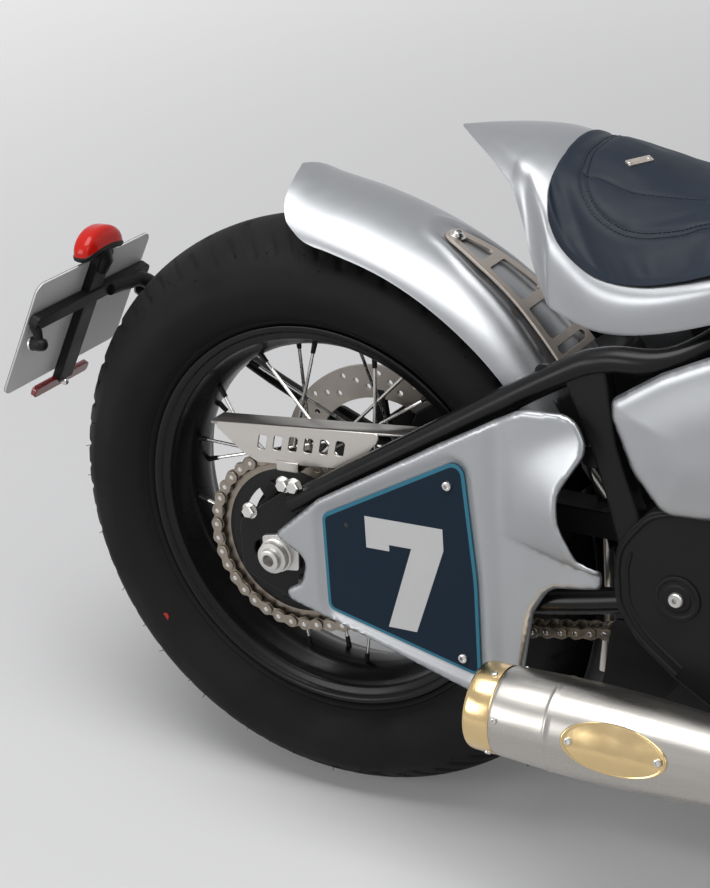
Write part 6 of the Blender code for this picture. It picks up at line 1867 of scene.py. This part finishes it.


# Inner guards and boxes between the frame rails, and black sheets of painted shade

def inner_parts():
    rows = []
    for k in range(49):
        a = radians(17.0 - 59.0 * k / 48)
        row = []
        for y in np.linspace(-0.084, 0.084, 21):
            r = 0.3385 - 0.0045 * (abs(y) / 0.084) ** 6
            row.append((r * cos(a), y, REAR_AXLE_Z + r * sin(a)))
        rows.append(row)
    thicken(piece("splash_guard", grid(rows), SATIN_BLACK, sharp=60), 0.002)
    # A black sheet over the rear fender's front end. It is painted shade where the shaded silver would show
    # grey, and it also stands for the black of the parts under the seat.
    rows = []
    for k in range(25):
        a = radians(33.0 - 25.0 * k / 24)
        rows.append([(0.358 * cos(a), y, REAR_AXLE_Z + 0.358 * sin(a)) for y in np.linspace(-0.1, 0.1, 15)])
    thicken(piece("fender_shade_sheet", grid(rows), SATIN_BLACK, sharp=60), 0.002)
    housing = rounded([(0.372, 0.215, 0.02), (0.368, 0.33, 0.02), (0.4, 0.345, 0.02), (0.52, 0.345, 0.02),
                       (0.52, 0.195, 0.02), (0.4, 0.195, 0.03)], 5)
    bevel(piece("pivot_housing", prism(housing, -0.085, 0.085), SATIN_BLACK), 0.004, 3)
    boxes = [prism(rounded([(0.402, 0.45, 0.012), (0.402, 0.566, 0.012), (0.52, 0.58, 0.012),
                            (0.52, 0.45, 0.012)], 4), side * 0.06, side * 0.118) for side in (1, -1)]
    bevel(piece("electrics_boxes", together(boxes), SATIN_BLACK), 0.003, 2)
    # The skirt and roof over the chain's upper run are black sheets of painted shade, where the chain lies in
    # shadow. rub is a plate beside the lower run.
    cover = rounded([(0.3, 0.394, 0.006), (0.3, 0.4215, 0.004), (0.48, 0.4165, 0.004), (0.48, 0.386, 0.006)],
                    4)
    shade_roof = prism([(0.3, 0.4185), (0.3, 0.4215), (0.48, 0.4165), (0.48, 0.4135)], -0.1185, -0.087)
    rub = rounded([(0.367, 0.312, 0.008), (0.361, 0.283, 0.02), (0.356, 0.249, 0.02), (0.35, 0.226, 0.006),
                   (0.4, 0.212, 0.01), (0.44, 0.262, 0.01), (0.42, 0.315, 0.01)], 5)
    bevel(piece("chain_shade_sheets_and_rub_plate",
                together([prism(cover, -0.1185, -0.117), shade_roof, prism(rub, -0.126, -0.1215)]), SATIN_BLACK),
          0.0006, 2)
    rods = [tube([Vector((0.3245, -0.0935, 0.472)), Vector((0.329, -0.0935, 0.452)),
                  Vector((0.35, -0.0935, 0.424))], [0.0042, 0.0046, 0.0052], 20),
            tube([Vector((0.348, -0.09, 0.414)), Vector((0.348, -0.09, 0.3)), Vector((0.34, -0.09, 0.235))],
                 0.0052, 24)]
    piece("guard_stays", together(rods), GUARD_STEEL, sharp=50)


# Engine

COVERS = ((-1, "right", 0.74, 0.105), (1, "left", 0.8, 0.085))    # side, name, x, radius


def engine_case():
    case = rounded([(0.615, 0.3, 0.03), (0.615, 0.42, 0.03), (0.7, 0.455, 0.02), (0.89, 0.455, 0.03),
                    (0.93, 0.38, 0.05), (0.91, 0.26, 0.05), (0.82, 0.215, 0.04), (0.64, 0.215, 0.05)], 8)
    shaft_end = CHAIN_Y + 0.0603
    parts = [prism(case, -0.118, 0.118), prism(inset(case, 0.008), -0.13, 0.13),
             drum((FRONT_SPROCKET[0], shaft_end, FRONT_SPROCKET[1]),
                  (FRONT_SPROCKET[0], 0.08, FRONT_SPROCKET[1]), 0.056, 64),
             prism([(0.56, 0.315), (0.56, 0.405), (0.65, 0.412), (0.65, 0.305)], shaft_end + 0.003, 0.076)]
    bevel(piece("engine_case", together(parts), ENGINE_BLACK, replaces=("crankcase",)), 0.0035, 3)
    for side, name, x, r in COVERS:
        profile = [(0.0, 0.0), (r, 0.0), (r, 0.006), (r * 0.985, 0.008), (r * 0.985, 0.012),
                   (r * 0.99, 0.014), (r * 0.985, 0.026), (r * 0.94, 0.033), (r * 0.8, 0.0415),
                   (r * 0.66, 0.0445), (r * 0.64, 0.0425), (r * 0.6, 0.0425), (r * 0.58, 0.0465),
                   (r * 0.3, 0.0505), (0.0, 0.0515)]
        piece(f"engine_cover_{name}", lathe_at((x, side * 0.125, 0.33), (0, side, 0), profile, 96, False),
              SATIN_BLACK)
        lugs, heads = [], []
        for k in range(9):
            a = 2 * pi * (k + 0.3) / 9
            spot = Vector((x + (r + 0.004) * cos(a), side * 0.118, 0.33 + (r + 0.004) * sin(a)))
            lugs.append(lathe_at(spot, (0, side, 0),
                                 [(0.0, 0.0), (0.0085, 0.0), (0.008, 0.02), (0.0, 0.021)], 24, False))
            heads.append(screw(spot + Vector((0, side * 0.0208, 0)), (0, side, 0), 0.0052, 0.0044))
        for k in range(3):
            a = 2 * pi * k / 3 + 0.4
            spot = (x + r * 0.62 * cos(a), side * 0.1675, 0.33 + r * 0.62 * sin(a))
            heads.append(screw(spot, (0, side, 0), 0.0042, 0.0036))
        piece(f"engine_cover_lugs_{name}", together(lugs), ENGINE_BLACK, sharp=40)
        piece(f"engine_cover_bolts_{name}", together(heads), BRIGHT_STEEL)


def cylinders():
    """A ribbed block: a core with twelve fins round it."""
    fins = [slab(rounded_rectangle(0.742, 0.888, -0.134, 0.134, 0.03, 8), 0.4555, 0.5998)]
    plan = rounded_rectangle(0.722, 0.908, -0.148, 0.148, 0.03, 8)
    for k in range(12):
        z = 0.46 + 0.138 * k / 11.5
        fins.append(slab(plan, z, z + 0.0032))
    bevel(piece("cylinder_fins", together(fins), ENGINE_BLACK, replaces=("cylinders",)), 0.0008, 1)


def cylinder_head():
    """The head with its ribs, and the two throttle bodies behind it."""
    head = rounded([(0.735, 0.6003, 0.004), (0.735, 0.655, 0.018), (0.77, 0.69, 0.024), (0.87, 0.69, 0.024),
                    (0.9, 0.655, 0.018), (0.9, 0.6003, 0.004)], 8)
    top = [prism(head, -0.146, 0.146)]
    top += [prism(inset(head, -0.0018), y, y + 0.004) for y in (-0.1475, -0.075, -0.002, 0.071, 0.1435)]
    bevel(piece("head_cover", together(top), ENGINE_BLACK, replaces=("cylinder_head",)), 0.0015, 2)
    bodies, rings = [], []
    for side in (-1, 1):
        a, b = Vector((0.68, side * 0.065, 0.625)), Vector((0.745, side * 0.065, 0.64))
        axis = (b - a).normalized()
        bodies.append(lathe_at(a, axis, [(0.019, 0.0), (0.0262, 0.0), (0.027, 0.004), (0.025, 0.01),
                                         (0.024, 0.026), (0.0262, 0.03), (0.0262, 0.064), (0.0, 0.064),
                                         (0.0, 0.03), (0.019, 0.028)], 48, False))
        rings.append(lathe_at(a, axis, [(0.025, 0.04), (0.0278, 0.04), (0.0278, 0.047), (0.025, 0.047)], 48))
        rings.append(screw(a + axis * 0.0435 + Vector((0, side * 0.026, 0.004)), (0, side, 0), 0.0042, 0.004))
        for z in (0.64, 0.672):
            rings.append(screw((0.815, side * 0.1478, z), (0, side, 0), 0.0062, 0.005))
        rings.append(screw((0.76, side * 0.1478, 0.628), (0, side, 0), 0.0062, 0.005))
        rings.append(screw((0.872, side * 0.1478, 0.628), (0, side, 0), 0.0062, 0.005))
    piece("throttle_bodies", together(bodies), SATIN_BLACK, sharp=40)
    piece("head_hardware", together(rings), BRIGHT_STEEL)


def front_sprocket():
    """The small sprocket, a tooth gap turned to the pin that lies level with its middle."""
    def miss(pin):
        off_circle = abs((pin - FRONT_SPROCKET).length - pitch_radius(FRONT_TEETH))
        return off_circle + abs(pin.y - FRONT_SPROCKET.y)

    gap = min(chain_places(), key=miss) - FRONT_SPROCKET
    plate = prism(toothed(FRONT_TEETH, atan2(gap.y, gap.x)), CHAIN_Y - 0.0034, CHAIN_Y + 0.0034)
    hub = together([drum((0, CHAIN_Y - 0.011, 0), (0, CHAIN_Y + 0.058, 0), 0.024, 48),
                    drum((0, CHAIN_Y - 0.0165, 0), (0, CHAIN_Y - 0.011, 0), 0.0185, 6)])
    bevel(piece("front_sprocket", together([plate, hub]), CHAIN_STEEL, replaces=("front_sprocket_block",),
                place=BIKE @ Matrix.Translation((FRONT_SPROCKET[0], 0, FRONT_SPROCKET[1]))), 0.0007, 1)


def radiator():
    low, high = Vector((HEAD.x - 0.212, 0, 0.24)), Vector((HEAD.x - 0.012, 0, HEAD.z - 0.035))
    up = (high - low).normalized()
    ahead = Vector((up.z, 0, -up.x))
    middle = low + up * 0.235 + ahead * (0.016 * cos(pi / 8) + 0.0173)
    lay = frame_at(middle, ahead, Vector((0, 1, 0)), up)
    frame_parts = [block((0, side * 0.107, 0), (0.034, 0.016, 0.24)) for side in (1, -1)]
    frame_parts += [block((0, 0, side * 0.113), (0.03, 0.2, 0.01)) for side in (1, -1)]
    frame_parts.append(drum((0, 0.085, 0.116), (0, 0.085, 0.119), 0.014, 32))
    bevel(piece("radiator_frame", together(frame_parts), SATIN_BLACK,
                replaces=("radiator",), place=BIKE @ lay), 0.003, 3)
    slats = [block((0, 0, -0.104 + 0.0052 * k), (0.022, 0.198, 0.0012)) for k in range(41)]
    slats += [block((0, -0.096 + 0.012 * k, 0), (0.018, 0.0016, 0.214)) for k in range(17)]
    piece("radiator_core", together(slats), ENGINE_BLACK, place=BIKE @ lay)


# Tank

TANK_TABLE = [
    # x, middle height, half width, half height
    (HEAD.x - 0.482, HEAD.z - 0.095, 0.042, 0.028), (HEAD.x - 0.437, HEAD.z - 0.08, 0.075, 0.052),
    (HEAD.x - 0.357, HEAD.z - 0.05, 0.105, 0.075), (HEAD.x - 0.257, HEAD.z - 0.015, 0.125, 0.085),
    (HEAD.x - 0.167, HEAD.z + 0.008, 0.118, 0.074), (HEAD.x - 0.112, HEAD.z + 0.016, 0.078, 0.048),
    (HEAD.x - 0.077, HEAD.z + 0.015, 0.038, 0.026),
]


def tank_crown(x):
    middle, _, half_height = read_table(TANK_TABLE, x)
    return middle + half_height


def tank():
    rings = []
    first, last = TANK_TABLE[0][0], TANK_TABLE[-1][0]
    for x in np.linspace(first, last, 90):
        z, w, h = read_table(TANK_TABLE, x)
        ring = []
        for k in range(96):
            a = 2 * pi * k / 96
            c, s = cos(a), sin(a)
            ring.append((x, w * abs(c) ** 0.8 * (1 if c > 0 else -1),
                         z + h * abs(s) ** 0.8 * (1 if s > 0 else -1)))
        rings.append(ring)
    bm = grid(rings, wrap_columns=True)
    bmesh.ops.holes_fill(bm, edges=bm.edges[:], sides=0)
    tunnel = tube(SPINE, 0.027, 24)
    under = [(p.x, p.z) for p in SPINE]
    under += [(0.6, 0.4), (HEAD.x + 0.1, 0.4), (HEAD.x + 0.1, HEAD.z + 0.01)]
    nose = drum(HEAD - HEAD_UP * 0.2, HEAD + HEAD_UP * 0.2, 0.042, 48)
    mesh = carved(bm, [tunnel])
    for cutter in (prism(under, -0.027, 0.027), nose):
        mesh = carved(as_bmesh(mesh), [cutter])
    bevel(piece("tank_shell", mesh, SATIN_SILVER, replaces=("fuel_tank",), sharp=50), 0.0012, 2, 50)
    filler_cap()


def filler_cap():
    """The lid, square to the tank's slope where it sits."""
    low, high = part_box("filler_cap")
    center = BIKE.inverted() @ ((Vector(low) + Vector(high)) / 2)
    rise = tank_crown(HEAD.x - 0.29) - tank_crown(HEAD.x - 0.3)
    slope = Vector((0.01, 0, rise)).normalized()
    lift = Vector((-slope.z, 0, slope.x))
    base = center - lift * 0.006
    profile = [(0.0, 0.0), (0.0298, 0.0), (0.03, 0.003), (0.0285, 0.0045), (0.0265, 0.005), (0.0255, 0.0046),
               (0.0245, 0.009), (0.0225, 0.0112), (0.01, 0.012), (0.0, 0.012)]
    piece("filler_lid", lathe_at(base, lift, profile, 72, False), BRUSHED,
          replaces=("filler_cap",), sharp=30)
    lay = frame_at(base, slope, lift, slope.cross(lift))
    turns = [2 * pi * k / 6 for k in range(6)]
    rim = [screw(lay @ Vector((0.027 * cos(a), 0.0046, 0.027 * sin(a))), lift, 0.0018, 0.0012) for a in turns]
    piece("filler_screws", together(rim), BRIGHT_STEEL)


# Front end, in the steering axis's own frame

FORK_X = 0.06
FORK_Y = 0.105
AXLE_DROP = 0.5956
YOKE_OUTLINE = rounded([(-0.032, -0.03, 0.02), (0.04, -0.137, 0.03), (0.092, -0.137, 0.03),
                        (0.086, -0.07, 0.03), (0.052, 0.0, 0.08), (0.086, 0.07, 0.03), (0.092, 0.137, 0.03),
                        (0.04, 0.137, 0.03), (-0.032, 0.03, 0.02)], 8)


def fork():
    yokes = []
    for z, half in ((-0.0845, 0.016), (0.098, 0.014)):
        yokes.append(slab(YOKE_OUTLINE, z - half + 0.001, z + half - 0.001))
        yokes.append(drum((0, 0, z - half), (0, 0, z + half), 0.031, 48))
    yokes.append(drum((0, 0, -0.1005), (0, 0, 0.112), 0.016, 32))
    bevel(piece("fork_yokes", together(yokes), SATIN_BLACK, "fork", replaces=("yokes",)), 0.003, 3)
    nut = lathe([(0.0, 0.112), (0.0185, 0.112), (0.0185, 0.1165), (0.0165, 0.118), (0.01, 0.1185),
                 (0.0095, 0.115), (0.0, 0.115)], 6, False)
    caps = [moved(together([nut]), Matrix.Rotation(pi / 2, 4, "X"))]
    for side in (1, -1):
        caps.append(lathe_at((FORK_X, side * FORK_Y, 0.112), (0, 0, 1),
                             [(0.0, 0.0), (0.02, 0.0), (0.02, 0.0045), (0.0185, 0.0062), (0.008, 0.0066),
                              (0.007, 0.0045), (0.0, 0.0045)], 48, False))
        for z in (-0.0845, 0.098):
            caps.append(screw((FORK_X + 0.03, side * (FORK_Y - 0.02), z), (0.9, -side * 0.4, 0), 0.005,
                              0.004))
    piece("fork_caps", together(caps), CAST_SILVER, "fork")
    for side, name in ((1, "left"), (-1, "right")):
        spot = (FORK_X, side * FORK_Y, 0)
        upper = lathe_at(spot, (0, 0, 1), [(0.0, -0.372), (0.0203, -0.372), (0.0203, 0.112), (0.0, 0.112)],
                         48, False)
        piece(f"fork_tube_{name}", upper, SATIN_BLACK, "fork", replaces=(f"fork_leg_{name}",))
        lower = lathe_at(spot, (0, 0, 1), [
            (0.0, -AXLE_DROP - 0.02), (0.02, -AXLE_DROP - 0.02), (0.025, -AXLE_DROP - 0.014),
            (0.026, -AXLE_DROP - 0.004), (0.026, -AXLE_DROP + 0.03), (0.0245, -AXLE_DROP + 0.04),
            (0.0245, -0.33), (0.0258, -0.324), (0.0258, -0.312), (0.0245, -0.308), (0.0245, -0.305),
            (0.0262, -0.303), (0.0262, -0.2985), (0.0215, -0.296), (0.0205, -0.296)], 56, False)
        piece(f"fork_slider_{name}", lower, SATIN_BLACK, "fork")
        clamp = [screw((FORK_X - 0.02, side * 0.114, -AXLE_DROP - 0.006), (-0.8, side * 0.2, -0.4), 0.0042,
                       0.0034)]
        clamp.append(lathe_at((FORK_X, side * 0.1305, -AXLE_DROP), (0, side, 0), [
            (0.0, 0.0), (0.015, 0.0), (0.015, 0.005), (0.013, 0.0066), (0.007, 0.007), (0.0066, 0.004),
            (0.0, 0.004)], 36, False))
        piece(f"fork_clamp_{name}", together(clamp), CAST_SILVER, "fork", replaces=("front_axle",)
              if side > 0 else ())
    shaft = lathe_at((FORK_X, 0, -AXLE_DROP), (0, 1, 0),
                     [(0.0, -0.132), (0.0096, -0.132), (0.0096, 0.132), (0.0, 0.132)], 32, False)
    piece("front_axle_shaft", shaft, BRIGHT_STEEL, "fork")
    shift = Matrix.Translation((FORK_X, 0, -AXLE_DROP))
    caliper("front_caliper", shift, FRONT_DISC_R, FRONT_DISC_Y, 0.097, radians(128), 0.049, "fork")
    lug = prism(rounded_rectangle(FORK_X - 0.066, FORK_X - 0.006, -AXLE_DROP + 0.079, -AXLE_DROP + 0.129,
                                  0.008), 0.083, 0.101)
    bevel(piece("caliper_lug", lug, SATIN_BLACK, "fork"), 0.0025, 3)


def handlebar():
    half = [(-0.01, 0.0, 0.152), (-0.012, 0.085, 0.152), (-0.03, 0.15, 0.18), (-0.105, 0.28, 0.2),
            (-0.19, 0.4, 0.175)]
    line = [(x, -y, z) for x, y, z in reversed(half[1:])] + half
    bar = tube(spline(line, 10), 0.011, 28)
    risers = [drum((-0.0106, side * 0.045, 0.1125), (-0.0106, side * 0.045, 0.15), 0.014, 36)
              for side in (1, -1)]
    risers += [drum((-0.0106, side * 0.045 - 0.016, 0.152), (-0.0106, side * 0.045 + 0.016, 0.152), 0.0185,
                    36) for side in (1, -1)]
    piece("bar_tube", together([bar] + risers), GLOSS_BLACK, "fork", replaces=("handlebar",), sharp=40)
    grips, boxes, levers, bolts = [], [], [], []
    for side in (1, -1):
        inward = Vector((0.081, -side * 0.112, 0.024)).normalized()
        end = Vector((-0.19, side * 0.4, 0.175))
        ahead = Vector((0.81, side * 0.58, 0)).normalized()
        profile = [(0.0, -0.004), (0.0175, -0.004), (0.0185, 0.0), (0.017, 0.003)]
        for k in range(20):
            a = 0.0045 + 0.0054 * k
            profile += [(0.0162, a), (0.0168, a + 0.001), (0.0168, a + 0.0038), (0.0162, a + 0.0048)]
        profile += [(0.0185, 0.1135), (0.0185, 0.117), (0.0, 0.117)]
        grips.append(lathe_at(end, inward, profile, 36, False))
        boxes.append(lathe_at(end + inward * 0.118, inward,
                              [(0.0, 0.0), (0.0175, 0.0), (0.019, 0.002), (0.019, 0.03), (0.0175, 0.033),
                               (0.0, 0.033)], 36, False))
        clamp = end + inward * 0.132
        lever = [clamp - inward * 0.009 + ahead * 0.016, clamp - inward * 0.004 + ahead * 0.03,
                 clamp - inward * 0.04 + ahead * 0.052, clamp - inward * 0.09 + ahead * 0.058,
                 end + inward * 0.004 + ahead * 0.062]
        levers.append(tube(spline(lever, 6), [0.0062] * 6 + [0.005] * 12 + [0.0046] * 6 + [0.0062], 16))
        boxes.append(tube([clamp + inward * 0.02 + ahead * 0.02, clamp - inward * 0.012 + ahead * 0.026],
                          [0.011, 0.012], 24))
        if side < 0:
            top = clamp + inward * 0.01 + ahead * 0.034 + Vector((0, 0, -0.012))
            boxes.append(lathe_at(top, (0, 0, 1),
                                  [(0.0, -0.01), (0.015, -0.01), (0.016, 0.0), (0.016, 0.014),
                                   (0.0175, 0.0145), (0.0175, 0.019), (0.0, 0.02)], 36, False))
        bolts.append(screw(clamp + Vector((0, 0, 0.0185)), (0, 0, 1), 0.004, 0.003))
        for y in (-0.01, 0.01):
            bolts.append(screw(Vector((-0.0106, side * 0.045 + y, 0.17)), (0, 0, 1), 0.0042, 0.004))
    piece("bar_grips", together(grips), SOFT_BLACK, "fork", sharp=50)
    bevel(piece("bar_controls", together(boxes), SATIN_BLACK, "fork", sharp=40), 0.0008, 2, 50)
    piece("bar_levers", together(levers), SATIN_BLACK, "fork", sharp=50)
    piece("bar_bolts", together(bolts), BRIGHT_STEEL, "fork")


def headlamp():
    aim = Matrix.Translation((0.1, 0, 0.01)) @ Matrix.Rotation(-pi / 2, 4, "Z")
    back = [(0.0, 0.0, 0), (0.022, 0.0015, 0), (0.044, 0.011, 0), (0.062, 0.033, 0), (0.074, 0.06, 0),
            (0.079, 0.088, 0)]
    shell = [(0.0, 0.0)] + [(p.x, p.y) for p in spline(back, 5)[1:]]
    shell += [(0.079, 0.092), (0.0818, 0.093), (0.082, 0.104), (0.0812, 0.1085), (0.079, 0.11), (0.076, 0.11),
              (0.075, 0.106), (0.0, 0.104)]
    place = STEER @ aim
    piece("headlamp_shell", lathe(shell, 96, False), GLOSS_BLACK, "fork",
          replaces=("headlamp",), place=place)
    ring = [(0.0745, 0.108), (0.08, 0.1075), (0.0826, 0.106), (0.0826, 0.11), (0.0812, 0.114),
            (0.078, 0.1155), (0.075, 0.115), (0.0742, 0.112)]
    piece("headlamp_bezel", lathe(ring, 96, True), BRIGHT_STEEL, "fork", place=place)
    bowl = [(0.0, 0.105), (0.018, 0.1052), (0.04, 0.1062), (0.06, 0.108), (0.0735, 0.1105)]
    piece("headlamp_reflector", lathe(bowl, 72, False), BRIGHT_STEEL, "fork", place=place, sharp=60)
    glass = [(0.0742, 0.112), (0.07, 0.119), (0.056, 0.124), (0.04, 0.1274), (0.02, 0.1295), (0.0, 0.13)]
    piece("headlamp_glass", lathe(glass, 96, False), CLEAR_LENS, "fork", replaces=("headlamp_lens",),
          place=place, sharp=60)
    ears = []
    reach = FORK_Y - 0.0208
    for side in (1, -1):
        ears.append(block((0.086, side * (reach - 0.004), 0.01), (0.062, 0.008, 0.018)))
        ears.append(drum((0.112, side * 0.07, 0.01), (0.112, side * (reach + 0.002), 0.01), 0.011, 28))
    bevel(piece("headlamp_ears", together(ears), SATIN_BLACK, "fork"), 0.002, 2)
    bolts = [screw((0.112, side * (reach + 0.002), 0.01), (0, side, 0), 0.007, 0.005) for side in (1, -1)]
    piece("headlamp_bolts", together(bolts), CAST_SILVER, "fork")


def speedometer():
    dial = [(0.0, 0.0005), (0.03, 0.0005), (0.04, 0.006), (0.0418, 0.018), (0.0418, 0.04), (0.04, 0.0445),
            (0.0375, 0.0465), (0.0365, 0.045), (0.0365, 0.0425), (0.0, 0.0425)]
    spot = (0.05, 0, 0.112)
    piece("speedometer_case", lathe_at(spot, (0, 0, 1), dial, 72, False), GLOSS_BLACK, "fork",
          replaces=("speedometer",))
    bezel = [(0.0362, 0.044), (0.04, 0.044), (0.0412, 0.0455), (0.04, 0.0478), (0.037, 0.0478)]
    piece("speedometer_bezel", lathe_at(spot, (0, 0, 1), bezel, 72), BRIGHT_STEEL, "fork")
    ticks = []
    for k in range(33):
        a = radians(-240 + 300 * k / 32)
        long = 0.006 if k % 4 == 0 else 0.0032
        tick = block((0.033 - long / 2, 0, 0.155), (long, 0.0009 if k % 4 == 0 else 0.0005, 0.0006))
        ticks.append(moved(tick, Matrix.Translation((0.05, 0, 0)) @ Matrix.Rotation(a, 4, "Z")))
    needle = slab([(-0.006, -0.0012), (0.026, -0.0004), (0.026, 0.0004), (-0.006, 0.0012)], 0.1556, 0.1562)
    ticks.append(moved(needle, Matrix.Translation((0.05, 0, 0)) @ Matrix.Rotation(radians(150), 4, "Z")))
    ticks.append(drum((0.05, 0, 0.1552), (0.05, 0, 0.1572), 0.0034, 24))
    piece("speedometer_marks", together(ticks), NUMERAL_GREY, "fork")


def front_fender():
    rows = []
    for angle in np.linspace(150, 30, 110):
        a = radians(angle)
        row = []
        for k in range(65):
            t = pi * k / 64
            r = 0.32 + 0.022 * max(0.0, sin(t)) ** 0.5
            y = -0.074 * cos(t)
            row.append((FORK_X + r * cos(a), y, -AXLE_DROP + r * sin(a)))
        rows.append(row)
    shell = piece("front_fender_shell", grid(rows), SATIN_SILVER, "fork", replaces=("front_fender",),
                  sharp=80)
    thicken(shell, 0.0022)
    bevel(shell, 0.0007, 2, 50)
    stays, bolts = [], []
    for side in (1, -1):
        stay = rounded_rectangle(FORK_X - 0.024, FORK_X + 0.024, 0.308 - AXLE_DROP, 0.33 - AXLE_DROP, 0.006)
        stays.append(prism(stay, side * 0.0745, side * 0.084))
        for x in (-0.014, 0.014):
            bolts.append(screw((FORK_X + x, side * 0.0715, 0.318 - AXLE_DROP), (0, -side, 0), 0.005, 0.003))
    bevel(piece("front_fender_stays", together(stays), SATIN_BLACK, "fork"), 0.0015, 2)
    piece("front_fender_bolts", together(bolts), BRIGHT_STEEL, "fork")


# What is built, in order

CAD_LOOKS = {
    "silver_paint": SATIN_SILVER, "black_paint": GLOSS_BLACK, "engine_black": ENGINE_BLACK,
    "tyre_rubber": TYRE_BLACK, "steel": BRIGHT_STEEL, "brushed_steel": BRUSHED, "chain_steel": CHAIN_STEEL,
    "brass": BRASS, "panel_navy": PANEL_NAVY, "navy_leather": LEATHER, "lamp_red": RED_LENS,
    "plate_grey": PLATE_GREY, "lens": CLEAR_LENS, "strap_metal": STRAP_METAL,
}


def dress_solids():
    """Gives the CAD's own solids the look of their slot, for those that no piece replaces."""
    slots = {row["node"]: row["material_slot"] for row in frame["record"]["subparts"]}
    for node, item in NODES.items():
        item.data.materials.clear()
        item.data.materials.append(CAD_LOOKS[slots[node]])


for build in (camera, studio, wheels, chain, sprocket, arm_covers, chain_guard, rear_fender, fender_strap,
              tail_pan, saddle, exhausts, plate_group, rear_cage, shock, side_covers, main_frame, inner_parts,
              engine_case, cylinders, cylinder_head, front_sprocket, radiator, tank, fork, handlebar,
              headlamp, speedometer, front_fender, dress_solids):
    build()
